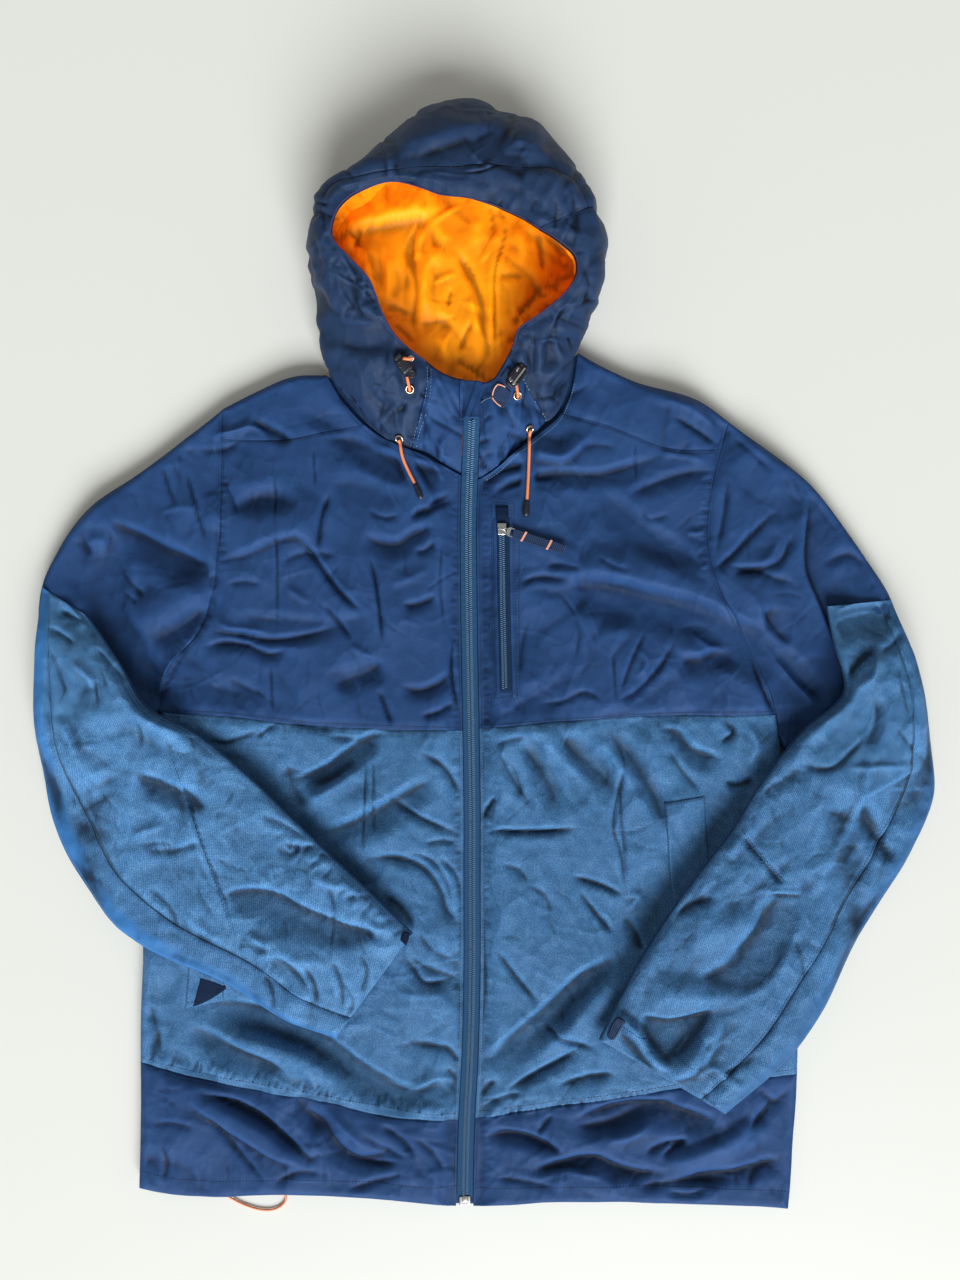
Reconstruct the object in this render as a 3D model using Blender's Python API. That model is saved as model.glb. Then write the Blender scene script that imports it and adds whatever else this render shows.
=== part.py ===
"""Hooded padded jacket lying face up and closed, sleeves folded forward over the fronts.

Lengths are in millimetres in the tables and become metres in the meshes. In the tables
x runs across the garment from the front zip (wearer's right is -x, the picture's left),
y runs up from the hem, z up from the surface the jacket lies on. Everything hangs on one
root empty, which carries the garment so that its box stands centred on the origin.
"""
import math

import bmesh
import bpy
import numpy as np
from mathutils import Matrix, Vector
from mathutils.bvhtree import BVHTree

MM = 0.001

# ---------------------------------------------------------------- driving sizes
WALL = 9.0            # padded panel: shell, wadding and lining together
BACK_TOP = 8.0        # the back panel fills z 0 to 8
FRONT_LOW = 8.4       # the front lies on it
CROWN = 2.0           # the wadding lifts the middle of a front panel by this much
SEAM_GAP = 0.34       # between two pieces that are sewn together
SEAM_DIP = 2.4        # how far the wadding is pinched at a seam
FOLD_R = 9.0          # rounding where a panel turns under at a side
ZIP_HALF = 8.0        # half the width of the two zip tapes
SLEEVE_BASE = 24.2    # underside of a forearm where it lies on the body
SLEEVE_HALF = 9.0     # half the thickness of the flattened forearm
HOOD_WALL = 5.0
LINING = 1.5
LINING_GAP = 2.8
CENTRE = (16.27, 517.58)   # middle of the garment's box, table frame (x, y)

# ---------------------------------------------------------------- outline tables
# zip line: y, x
ZIP_LINE = [(2, -5), (86, -3), (143, 0), (228, 2), (313, 2), (388, 2), (455, 1),
            (577, -1), (672, -1), (700, 0), (723, 1), (747, 2), (780, 4)]
# side seams: y, x
SIDE_L = [(20, -313), (140, -311), (250, -310), (388, -303), (480, -292)]
SIDE_R = [(-2, 301), (29, 304), (127, 310), (160, 311), (293, 308), (388, 300), (480, 288)]
HEM_L = [(-12, 5), (-111, 13), (-174, 15), (-284, 17), (-313, 24)]
HEM_R = [(4, 5), (59, 7), (190, 8), (285, 4), (301, 3)]
BAND_L = [(-9, 86), (-68, 91), (-127, 103), (-194, 115), (-267, 129), (-311, 142)]
BAND_R = [(8, 88), (80, 101), (167, 112), (226, 122), (310, 131)]
CHEST_L = [(-7, 454), (-96, 457), (-159, 460), (-222, 468), (-292, 472)]
CHEST_R = [(9, 456), (85, 462), (176, 468), (289, 470)]
ARM_L = [(-292, 472), (-289, 499), (-277, 522), (-257, 545), (-244, 577), (-236, 629),
         (-234, 700), (-233, 758)]
ARM_R = [(289, 470), (275, 512), (259, 545), (234, 588), (224, 634), (227, 674),
         (236, 716), (244, 746)]
NECK_L = [(-8, 695), (-46, 714), (-69, 722), (-94, 737), (-119, 764), (-136, 791)]
NECK_R = [(8, 691), (24, 700), (44, 717), (65, 733), (85, 751), (97, 779), (102, 810)]
NECK_SPLIT_L = 0.63   # fraction of the neck seam that belongs to the front yoke
NECK_SPLIT_R = 0.62
SHOULDER_SEAM_L = [(-171, 729), (-234, 727)]
SHOULDER_SEAM_R = [(134, 739), (151, 732), (197, 717), (234, 704)]
FOLD_L = [(-136, 791), (-161, 790), (-199, 775), (-233, 758)]
FOLD_R_TOP = [(102, 810), (121, 799), (148, 786), (223, 761), (244, 746)]
NECK_BACK = [(-131, 789), (-105, 776), (-60, 768), (-14, 766), (40, 770), (74, 782), (97, 806)]
# upper arm: outer edge from the shoulder to the elbow and on under the forearm
ARM_OUT_L = [(-233, 758), (-256, 740), (-311, 699), (-357, 666), (-387, 628), (-405, 590),
             (-406, 545), (-391, 492)]
ARM_END_L = [(-353, 437), (-376, 460), (-391, 492)]
ARM_LOW_L = [(-292, 472), (-324, 449), (-353, 437)]
ARM_OUT_R = [(244, 746), (283, 720), (324, 684), (370, 624), (399, 577), (410, 528), (397, 470)]
ARM_END_R = [(366, 424), (386, 442), (397, 470)]
ARM_LOW_R = [(289, 470), (328, 441), (366, 424)]

# forearm sections from the elbow to the cuff: inner x, inner y, outer x, outer y
FOREARM_L = [(-361, 564, -401, 589), (-326, 520, -403, 526), (-299, 478, -404, 451),
             (-258, 456, -394, 368), (-210, 418, -368, 315), (-168, 378, -307, 259),
             (-120, 332, -223, 220), (-86, 300, -167, 186), (-53, 268, -124, 171)]
FOREARM_R = [(335, 571, 395, 577), (340, 535, 411, 530), (347, 493, 426, 469),
             (309, 456, 439, 395), (270, 407, 418, 342), (244, 365, 384, 286),
             (208, 318, 345, 225), (161, 249, 296, 153), (120, 170, 237, 101)]
UNDER_FROM = 0.80     # the under-sleeve takes the outer fifth of the forearm's top

# largest folds of the front: x0, y0, x1, y1, half width, height (negative is a trough)
FOLDS = [
    (-232, 192, -84, 112, 13, -2.2),
    (-84, 112, -16, 104, 10, -1.6),
    (-262, 176, -152, 116, 12, 2.0),
    (-262, 106, -150, 34, 12, 2.2),
    (-160, 88, -112, 40, 10, 1.8),
    (140, 196, 24, 122, 12, -2.2),
    (128, 214, 30, 150, 14, 1.8),
    (60, 60, 180, 22, 12, 2.0),
    (-200, 650, -120, 560, 15, 2.4),
    (-60, 640, -20, 560, 13, -1.8),
    (160, 690, 90, 610, 15, 2.2),
    (150, 560, 225, 520, 13, -2.0),
    (-215, 545, -140, 520, 13, 2.0),
    (60, 400, 24, 330, 12, -1.8),
    (-40, 380, -100, 300, 13, 1.8),
]

# hood, seen from above about HOOD_C: bearing, then radius and height of the rim, the brow,
# the side and the foot of its outer surface
HOOD_C = (-14.0, 870.0)
HOOD = [
    # bearing  rim      brow      side      foot
    (205.0, 73, 65, 100, 62, 135, 28, 130, 0),
    (213.0, 74, 62, 100, 59, 135, 26, 142, 14),
    (221.0, 75, 59, 100, 55, 130, 32, 145, 14),
    (230.0, 76, 56, 100, 50, 128, 32, 147.5, 15),
    (240.0, 77, 51, 100, 45, 130, 28, 152.5, 15),
    (250.0, 79, 47, 102, 41, 132, 27, 156, 15),
    (260.0, 84, 43, 105, 38, 132, 26, 157, 15),
    (271.5, 89, 39, 110, 34, 142, 23, 173, 13),
    (277.0, 91, 38, 112, 33, 146, 22, 179, 13),
    (283.0, 95, 37, 115, 32, 146, 22, 172, 14),
    (291.0, 97, 39, 115, 34, 140, 24, 161, 15),
    (300.0, 90, 45, 110, 39, 134, 27, 154.5, 15),
    (310.0, 83, 51, 105, 44, 131, 29, 150.5, 15),
    (321.0, 76, 58, 100, 52, 124, 33, 139, 15),
    (332.0, 83, 63, 104, 58, 121, 33, 128, 14),
    (341.0, 92, 68, 110, 62, 127, 30, 121, 0),
    (350.0, 103, 73, 117, 68, 130, 35, 122, 0),
    (359.0, 111, 78, 123, 72, 132, 38, 124, 0),
    (366.0, 109, 80, 125, 75, 134, 40, 126, 0),
    (374.0, 97, 84, 126, 76, 140, 42, 132, 0),
    (384.0, 83, 86, 131, 80, 141, 44, 133, 0),
    (395.0, 74, 87, 135, 84, 147, 46, 138, 0),
    (404.0, 68, 88, 124, 90, 153, 45, 144, 0),
    (414.0, 64, 89, 106, 94, 157, 41, 148, 0),
    (425.0, 61, 90, 95, 97, 162, 36, 152, 0),
    (440.0, 60, 90, 87, 98, 163, 34, 153, 0),
    (451.0, 60, 90, 84, 98, 163, 34, 153, 0),
    (463.0, 64, 90, 87, 97, 155, 36, 146, 0),
    (475.0, 76, 90, 93, 95, 141, 40, 133, 0),
    (486.0, 91, 89, 101, 92, 134, 44, 127, 0),
    (496.0, 101, 87, 113, 89, 132, 50, 126, 0),
    (506.0, 112, 84, 132, 78, 141, 52, 133, 0),
    (517.0, 116, 81, 130, 78, 141, 45, 133, 0),
    (526.0, 111, 79, 123, 75, 139, 41, 131, 0),
    (533.0, 94, 76, 112, 73, 134, 39, 127, 0),
    (543.0, 78, 72, 105, 69, 132, 36, 126, 0),
    (555.0, 73, 68, 101, 65, 133, 32, 127, 0),
    (565.0, 73, 65, 100, 62, 135, 28, 130, 0),
]
CROWN_FROM, CROWN_TO = 384.0, 517.0      # bearings between the hood's two side seams
COLLAR_L_AT, COLLAR_R_AT = 255.0, 305.0  # seams between the collar and the hood's sides

# ---------------------------------------------------------------- curves and patches


class Curve:
    """Smooth curve through a short table of points, taken by fraction of its length."""

    def __init__(self, points):
        self.p = np.array(points, float)
        step = np.sqrt(((self.p[1:] - self.p[:-1]) ** 2).sum(1))
        self.s = np.concatenate([[0.0], np.cumsum(step)])
        n = len(self.p)
        self.m = np.zeros_like(self.p)
        for i in range(1, n - 1):
            a, b = step[i - 1], step[i]
            self.m[i] = ((self.p[i] - self.p[i - 1]) / a * b + (self.p[i + 1] - self.p[i]) / b * a) / (a + b)
        self.m[0] = (self.p[1] - self.p[0]) / step[0]
        self.m[-1] = (self.p[-1] - self.p[-2]) / step[-1]

    def __call__(self, t):
        x = min(max(t, 0.0), 1.0) * self.s[-1]
        i = int(min(max(np.searchsorted(self.s, x, side="right") - 1, 0), len(self.p) - 2))
        h = self.s[i + 1] - self.s[i]
        u = (x - self.s[i]) / h
        return ((2 * u**3 - 3 * u**2 + 1) * self.p[i] + (u**3 - 2 * u**2 + u) * h * self.m[i]
                + (3 * u**2 - 2 * u**3) * self.p[i + 1] + (u**3 - u**2) * h * self.m[i + 1])


class Graph:
    """Smooth value read from a table of (key, value, ...) rows, by key."""

    def __init__(self, rows):
        rows = np.array(rows, float)
        self.k, self.v = rows[:, 0], rows[:, 1:]
        n = len(self.k)
        d = (self.v[1:] - self.v[:-1]) / (self.k[1:] - self.k[:-1])[:, None]
        self.m = np.zeros_like(self.v)
        for i in range(1, n - 1):
            a, b = self.k[i] - self.k[i - 1], self.k[i + 1] - self.k[i]
            self.m[i] = (d[i - 1] * b + d[i] * a) / (a + b)
        self.m[0], self.m[-1] = d[0], d[-1]

    def __call__(self, key):
        key = min(max(key, self.k[0]), self.k[-1])
        i = int(min(max(np.searchsorted(self.k, key, side="right") - 1, 0), len(self.k) - 2))
        h = self.k[i + 1] - self.k[i]
        u = (key - self.k[i]) / h
        out = ((2 * u**3 - 3 * u**2 + 1) * self.v[i] + (u**3 - 2 * u**2 + u) * h * self.m[i]
               + (3 * u**2 - 2 * u**3) * self.v[i + 1] + (u**3 - u**2) * h * self.m[i + 1])
        return out if len(out) > 1 else float(out[0])


def part_of(curve, a, b):
    return lambda t: curve(a + (b - a) * t)


def chain(first, second, split):
    """One edge made of two curves that meet at the fraction split."""
    return lambda t: first(t / split) if t < split else second((t - split) / (1 - split))


def upright(graph, y0, y1, shift=0.0):
    """Edge that climbs from y0 to y1 along a side or zip table."""
    return lambda t: np.array([graph(y0 + (y1 - y0) * t) + shift, y0 + (y1 - y0) * t])


def coons(bottom, top, left, right):
    c00, c10, c01, c11 = bottom(0), bottom(1), top(0), top(1)

    def plan(u, v):
        return ((1 - v) * bottom(u) + v * top(u) + (1 - u) * left(v) + u * right(v)
                - ((1 - u) * (1 - v) * c00 + u * (1 - v) * c10 + (1 - u) * v * c01 + u * v * c11))
    return plan


def grid(plan, us, vs, gap=SEAM_GAP / 2):
    """Plan points of a panel, its border drawn in by half a seam gap."""
    g = np.array([[plan(u, v) for u in us] for v in vs])
    mid = g.reshape(-1, 2).mean(0)
    moved = g.copy()

    def draw_in(line, put):
        t = np.gradient(line, axis=0)
        n = np.stack([-t[:, 1], t[:, 0]], 1)
        n /= np.maximum(np.linalg.norm(n, axis=1), 1e-9)[:, None]
        flip = np.sign(((mid - line) * n).sum(1).sum())
        put(n * flip * gap)
    draw_in(g[0], lambda d: moved[0].__iadd__(d))
    draw_in(g[-1], lambda d: moved[-1].__iadd__(d))
    draw_in(g[:, 0], lambda d: moved[:, 0].__iadd__(d))
    draw_in(g[:, -1], lambda d: moved[:, -1].__iadd__(d))
    return moved


def to_edges(g):
    """For every grid point, the distance along the grid to each of the four edges."""
    du = np.linalg.norm(np.diff(g, axis=1), axis=2)
    dv = np.linalg.norm(np.diff(g, axis=0), axis=2)
    left = np.concatenate([np.zeros((g.shape[0], 1)), np.cumsum(du, 1)], 1)
    low = np.concatenate([np.zeros((1, g.shape[1])), np.cumsum(dv, 0)], 0)
    return {"left": left, "right": left[:, -1:] - left, "low": low, "high": low[-1:, :] - low}


def quarter(d, r):
    k = 1 - np.clip(d / r, 0, 1)
    return np.sqrt(np.maximum(1 - k * k, 0))


def ease(x):
    x = np.clip(x, 0, 1)
    return x * x * (3 - 2 * x)


def edge_share(kind, d, full):
    """Share of the full thickness left at distance d from an edge of this kind."""
    if kind == "fold":
        return (1.4 + (full - 1.4) * quarter(d, FOLD_R)) / full
    if kind == "seam":
        return 1 - SEAM_DIP / full * (1 - ease(d / 14))
    if kind == "zip":
        return (4.5 + (full - 4.5) * ease(d / 25)) / full
    if kind == "hem":
        return (5.0 + (full - 5.0) * quarter(d, 7)) / full
    return np.ones_like(d)


def folds_at(g):
    z = np.zeros(g.shape[:2])
    for x0, y0, x1, y1, half, height in FOLDS:
        a, b = np.array([x0, y0]), np.array([x1, y1])
        ab = b - a
        t = ((g - a) @ ab) / (ab @ ab)
        off = np.linalg.norm(g - (a + np.clip(t, 0, 1)[..., None] * ab), axis=2)
        z += height * np.exp(-(off / half) ** 2) * np.sin(np.pi * np.clip(t, 0.02, 0.98)) ** 0.5
    return z


# ---------------------------------------------------------------- meshes
root = None
objects = {}


def material(name, colour, roughness, metallic=0.0, sheen=0.0):
    m = bpy.data.materials.get(name) or bpy.data.materials.new(name)
    m.use_nodes = True
    b = m.node_tree.nodes["Principled BSDF"]
    b.inputs["Base Color"].default_value = (*colour, 1)
    b.inputs["Roughness"].default_value = roughness
    b.inputs["Metallic"].default_value = metallic
    b.inputs["Sheen Weight"].default_value = sheen
    return m


def add_object(name, data, mat):
    ob = bpy.data.objects.new(name, data)
    bpy.context.scene.collection.objects.link(ob)
    ob.data.materials.append(mat)
    ob.parent = root
    objects[name] = ob
    return ob


def mesh_from(name, verts, faces, mat, smooth=True):
    me = bpy.data.meshes.new(name)
    me.from_pydata([tuple(float(c) * MM for c in v) for v in verts], [], faces)
    me.update()
    ob = add_object(name, me, mat)
    if smooth:
        me.shade_smooth()
        me.set_sharp_from_angle(angle=math.radians(40))
    return ob


def wall(name, low, high, mat, flat=()):
    """Closed wall between two grids of points of the same shape, [row][column][xyz].

    A side named in flat lies in one plane and is closed with a single face.
    """
    nv, nu = low.shape[:2]
    mid_v, mid_u = nv // 2, nu // 2
    a = low[min(mid_v + 1, nv - 1), mid_u] - low[mid_v - 1, mid_u]
    b = low[mid_v, min(mid_u + 1, nu - 1)] - low[mid_v, mid_u - 1]
    n = np.cross(b, a)
    flip = float(np.dot(n, high[mid_v, mid_u] - low[mid_v, mid_u])) < 0
    verts = np.concatenate([low.reshape(-1, 3), high.reshape(-1, 3)])
    off = nv * nu

    def at(j, i, top):
        return j * nu + i + (off if top else 0)
    faces = []
    border = ([(0, i) for i in range(nu)] + [(j, nu - 1) for j in range(1, nv)]
              + [(nv - 1, i) for i in range(nu - 2, -1, -1)] + [(j, 0) for j in range(nv - 2, 0, -1)])
    for j in range(nv - 1):
        for i in range(nu - 1):
            if "high" not in flat:
                faces.append([at(j, i, 1), at(j, i + 1, 1), at(j + 1, i + 1, 1), at(j + 1, i, 1)])
            if "low" not in flat:
                faces.append([at(j, i, 0), at(j + 1, i, 0), at(j + 1, i + 1, 0), at(j, i + 1, 0)])
    if "high" in flat:
        faces.append([at(j, i, 1) for j, i in border])
    if "low" in flat:
        faces.append([at(j, i, 0) for j, i in border][::-1])
    for i in range(nu - 1):
        faces.append([at(0, i, 0), at(0, i + 1, 0), at(0, i + 1, 1), at(0, i, 1)])
        faces.append([at(nv - 1, i, 0), at(nv - 1, i, 1), at(nv - 1, i + 1, 1), at(nv - 1, i + 1, 0)])
    for j in range(nv - 1):
        faces.append([at(j, 0, 0), at(j, 0, 1), at(j + 1, 0, 1), at(j + 1, 0, 0)])
        faces.append([at(j, nu - 1, 0), at(j + 1, nu - 1, 0), at(j + 1, nu - 1, 1), at(j, nu - 1, 1)])
    if flip:
        faces = [f[::-1] for f in faces]
    used = sorted({k for f in faces for k in f})
    place = {k: q for q, k in enumerate(used)}
    return mesh_from(name, verts[used], [[place[k] for k in f] for f in faces], mat)


def with_z(g, z):
    return np.concatenate([g, np.broadcast_to(z, g.shape[:2])[..., None]], axis=2)


def front_panel(name, plan, us, vs, edges, mat, crown=CROWN, folds=True):
    """Padded panel of the upper layer: flat under, rounded and pinched at its edges."""
    g = grid(plan, us, vs)
    d = to_edges(g)
    full = WALL + crown
    share = np.ones(g.shape[:2])
    for side, kind in edges.items():
        share = np.minimum(share, edge_share(kind, d[side], full))
    near = np.minimum.reduce([d[s] for s in edges] or [d["low"] + 99])
    z = FRONT_LOW + full * share
    if folds:
        z = z + folds_at(g) * ease(near / 22)
    return wall(name, with_z(g, FRONT_LOW), with_z(g, z), mat, flat=("low",))


def back_panel(name, plan, us, vs, round_sides, mat):
    """Panel that the jacket lies on: flat under, turning up a little at its free sides."""
    g = grid(plan, us, vs)
    d = to_edges(g)
    up = np.zeros(g.shape[:2])
    for side in round_sides:
        up = np.maximum(up, 6.0 * (1 - quarter(d[side], 8)))
    return wall(name, with_z(g, up), with_z(g, BACK_TOP), mat, flat=("high",) if round_sides else ("low", "high"))


def slab(name, outline, z0, z1, mat):
    pts = np.array(outline, float)
    area = 0.5 * np.sum(pts[:, 0] * np.roll(pts[:, 1], -1) - np.roll(pts[:, 0], -1) * pts[:, 1])
    if area < 0:
        pts = pts[::-1]
    n = len(pts)
    verts = [(x, y, z0) for x, y in pts] + [(x, y, z1) for x, y in pts]
    faces = [list(range(n))[::-1], [n + i for i in range(n)]]
    faces += [[i, (i + 1) % n, n + (i + 1) % n, n + i] for i in range(n)]
    return mesh_from(name, verts, faces, mat)


def surface_of(names):
    """Highest point of the named pieces' faceted surfaces over a plan point."""
    trees = []
    for n in names:
        me = objects[n].data
        me.calc_loop_triangles()
        vs = [v.co.copy() for v in me.vertices]
        trees.append(BVHTree.FromPolygons(vs, [tuple(t.vertices) for t in me.loop_triangles]))

    def z(x, y):
        best = None
        for t in trees:
            hit = t.ray_cast(Vector((x * MM, y * MM, 0.5)), Vector((0, 0, -1)))
            if hit[0] is not None:
                best = max(best or -1, hit[0].z / MM)
        return best if best is not None else 0.0
    return z


def patch_on(name, plan, us, vs, on, thick, mat, gap=0.5):
    """Thin piece lying on panels: their points moved out, one gap up and then its thickness."""
    g = np.array([[plan(u, v) for u in us] for v in vs])
    z = np.array([[on(*p) for p in row] for row in g])
    # a facet edge may pass between two points, so each takes the highest value near it
    e = 3.0
    for dx, dy in ((e, 0), (-e, 0), (0, e), (0, -e)):
        z = np.maximum(z, np.array([[on(p[0] + dx, p[1] + dy) for p in row] for row in g]) - 0.15)
    low = z + gap
    return wall(name, with_z(g, low), with_z(g, low + thick), mat)


def quad_plan(p00, p10, p11, p01):
    p00, p10, p11, p01 = (np.array(p, float) for p in (p00, p10, p11, p01))
    return lambda u, v: (1 - v) * ((1 - u) * p00 + u * p10) + v * ((1 - u) * p01 + u * p11)


def strip_plan(line, width):
    """Plan of a strip of constant width along a curve; u runs across it, v along it."""
    def plan(u, v):
        p, a, b = line(v), line(max(v - 0.01, 0)), line(min(v + 0.01, 1))
        t = (b - a) / np.linalg.norm(b - a)
        return p[:2] + np.array([t[1], -t[0]])[:2] * width * (u - 0.5)
    return plan


# ---------------------------------------------------------------- pieces
for ob in list(bpy.data.objects):
    bpy.data.objects.remove(ob, do_unlink=True)
root = bpy.data.objects.new("garment", None)
root.location = (-CENTRE[0] * MM, -CENTRE[1] * MM, 0)
bpy.context.scene.collection.objects.link(root)
bpy.context.view_layer.update()

NAVY = material("navy_shell", (0.022, 0.045, 0.14), 0.55, sheen=0.2)
HEATHER = material("heather_shell", (0.035, 0.12, 0.30), 0.6, sheen=0.3)
BLUE = material("plain_blue_shell", (0.03, 0.12, 0.33), 0.55, sheen=0.2)
ORANGE = material("orange_lining", (0.95, 0.24, 0.01), 0.4)
TAPE = material("zip_tape", (0.02, 0.05, 0.12), 0.7)
COIL = material("zip_coil", (0.03, 0.07, 0.14), 0.4)
SILVER = material("zip_metal", (0.7, 0.7, 0.68), 0.3, 1.0)
COPPER = material("eyelet_metal", (0.85, 0.68, 0.55), 0.3, 1.0)
BLACK = material("lock_plastic", (0.01, 0.012, 0.02), 0.35)
CORD = material("cord_coral", (0.9, 0.25, 0.08), 0.6)
WEB = material("webbing", (0.02, 0.03, 0.09), 0.7)

zip_x = Graph(ZIP_LINE)
side_l, side_r = Graph(SIDE_L), Graph(SIDE_R)
US = [0, 0.03, 0.085, 0.2, 0.32, 0.44, 0.56, 0.68, 0.8, 0.91, 0.97, 1.0]
V_LOWER = [0, 0.04, 0.12, 0.22, 0.32, 0.42, 0.52, 0.62, 0.72, 0.84, 0.95, 1.0]
V_BAND = [0, 0.08, 0.3, 0.6, 0.86, 1.0]
V_YOKE = [0, 0.06, 0.16, 0.28, 0.4, 0.52, 0.64, 0.77, 0.92, 1.0]
V_STRIP = [0, 0.3, 0.8, 1.0]
ARM_SPLIT = 0.9      # the forward shoulder seam meets the armhole here
V_ARM_BACK = [0, 0.03, 0.108, 0.27, 0.513, 0.756, 0.9, 0.975, 1.0]

outline = {}
for s in ("L", "R"):
    left = s == "L"
    hem, band, chest = Curve(HEM_L if left else HEM_R), Curve(BAND_L if left else BAND_R), Curve(CHEST_L if left else CHEST_R)
    arm = Curve(ARM_L if left else ARM_R)
    neck = Curve(NECK_L if left else NECK_R)
    split = NECK_SPLIT_L if left else NECK_SPLIT_R
    corner = neck(split)
    seam = Curve([tuple(corner)] + (SHOULDER_SEAM_L if left else SHOULDER_SEAM_R)[:-1] + [tuple(arm(ARM_SPLIT))])
    fold = Curve(FOLD_L if left else FOLD_R_TOP)
    side = side_l if left else side_r
    sh = -ZIP_HALF if left else ZIP_HALF
    # the zip edge and the side edge of each panel run between the same seams
    y_hem, y_band, y_chest, y_neck = hem(0)[1], band(0)[1], chest(0)[1], neck(0)[1]
    fix = [lambda t, c=c, q=q: c(t) + (1 - t) * (np.array([zip_x(q) + sh, q]) - c(0))
           for c, q in ((hem, y_hem), (band, y_band), (chest, y_chest), (neck, y_neck))]
    hem_e, band_e, chest_e, neck_e = fix
    top_e = chain(part_of(neck_e, 0, split), seam, 0.44)
    y_side = [hem(1)[1], band(1)[1], chest(1)[1]]
    arm_e = part_of(arm, 0, ARM_SPLIT)
    front_panel("hem_band_" + s, coons(hem_e, band_e, upright(zip_x, y_hem, y_band, sh),
                lambda t: (1 - t) * hem(1) + t * band(1)), US, V_BAND,
                {"low": "hem", "high": "seam", "left": "zip", "right": "fold"}, NAVY)
    lower_side = upright(side, y_side[1], y_side[2])
    front_panel("front_lower_" + s, coons(band_e, chest_e, upright(zip_x, y_band, y_chest, sh),
                lambda t: lower_side(t) + (1 - t) * (band(1) - lower_side(0)) + t * (chest(1) - lower_side(1))),
                US, V_LOWER, {"low": "seam", "high": "seam", "left": "zip", "right": "fold"}, HEATHER)
    front_panel("front_yoke_" + s, coons(chest_e, top_e, upright(zip_x, y_chest, y_neck, sh), arm_e),
                US, V_YOKE,
                {"low": "seam", "high": "seam", "left": "zip", "right": "seam"}, NAVY)
    front_panel("shoulder_yoke_" + s, coons(seam, fold, part_of(neck, split, 1), part_of(arm, ARM_SPLIT, 1)),
                [(u - 0.44) / 0.56 for u in US if u > 0.43], V_STRIP,
                {"low": "seam", "high": "fold", "left": "seam", "right": "seam"}, NAVY, crown=1.0, folds=False)
    # upper arm: the same armhole stations as the yokes, so the seam keeps its gap
    out, end, low = (Curve(t) for t in ((ARM_OUT_L, ARM_END_L, ARM_LOW_L) if left else (ARM_OUT_R, ARM_END_R, ARM_LOW_R)))
    v_arm = sorted(set([round(v * ARM_SPLIT, 9) for v in V_YOKE] + [round(ARM_SPLIT + (1 - ARM_SPLIT) * v, 9) for v in V_STRIP]))
    arm_plan = coons(low, out, arm, end)
    front_panel("upper_arm_top_" + s, arm_plan, [0, 0.08, 0.22, 0.4, 0.6, 0.8, 0.94, 1.0], v_arm,
                {"left": "seam", "high": "fold", "low": "fold", "right": "fold"}, NAVY, crown=1.5, folds=False)
    back_panel("upper_arm_under_" + s, arm_plan, [0, 0.25, 0.5, 0.75, 0.94, 1.0], V_ARM_BACK, ("high", "low"), NAVY)
    outline[s] = dict(hem=hem, band=band, chest=chest, arm=arm, fold=fold, side=side, y=y_side, out=out, end=end, low=low)

# back panels run from side to side
L, R = outline["L"], outline["R"]
U_BACK = [0, 0.012, 0.03, 0.14, 0.21, 0.28, 0.33, 0.4, 0.5, 0.6, 0.67, 0.72, 0.79, 0.86, 0.97, 0.988, 1.0]


def across(a, b):
    """Edge from the left table's far end to the right table's far end."""
    return lambda t: a(1 - 2 * t) if t < 0.5 else b(2 * t - 1)


def side_edge(o, i):
    """Side seam between two cross seams, ending exactly on both."""
    (y0, y1), (a, b) = (o["y"][i], o["y"][i + 1]), ((o["hem"], o["band"]), (o["band"], o["chest"]))[i]

    def edge(t):
        y = y0 + (y1 - y0) * t
        return (np.array([o["side"](y), y]) + (1 - t) * (a(1) - np.array([o["side"](y0), y0]))
                + t * (b(1) - np.array([o["side"](y1), y1])))
    return edge


back_panel("back_hem", coons(across(L["hem"], R["hem"]), across(L["band"], R["band"]),
           side_edge(L, 0), side_edge(R, 0)), U_BACK, [0, 0.5, 1], ("left", "right"), NAVY)
back_panel("back_lower", coons(across(L["band"], R["band"]), across(L["chest"], R["chest"]),
           side_edge(L, 1), side_edge(R, 1)), U_BACK, [0, 0.25, 0.5, 0.75, 1], ("left", "right"), HEATHER)
neck_back = Curve(NECK_BACK)
NECK_A, NECK_B = 0.28, 0.72    # where the back neck seam begins and ends on the yoke's top edge


def back_top(t):
    if t < NECK_A:
        return L["fold"](1 - t / NECK_A)
    if t > NECK_B:
        return R["fold"]((t - NECK_B) / (1 - NECK_B))
    k = (t - NECK_A) / (NECK_B - NECK_A)
    return neck_back(k) + (1 - k) ** 4 * (L["fold"](0) - neck_back(0)) + k ** 4 * (R["fold"](0) - neck_back(1))


back_panel("back_yoke", coons(across(L["chest"], R["chest"]), back_top, L["arm"], R["arm"]),
           U_BACK, V_ARM_BACK, (), NAVY)

# ---------------------------------------------------------------- forearms


def loop_of(curves, n=24):
    return np.concatenate([[c(t) for t in np.linspace(0, 1, n, endpoint=False)] for c in curves])


def rev(c):
    return lambda t: c(1 - t)


BODY = {s: [loop_of([rev(o["hem"]), lambda t, s=s: np.array([0.0, 5 + 690 * t]), neck_loop, o["fold"],
                     rev(o["arm"]), rev(side_edge(o, 1)), rev(side_edge(o, 0))]),
            loop_of([o["low"], o["end"], rev(o["out"]), rev(o["arm"])])]
        for s, o in outline.items() for neck_loop in [Curve(NECK_L if s == "L" else NECK_R)]}


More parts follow.
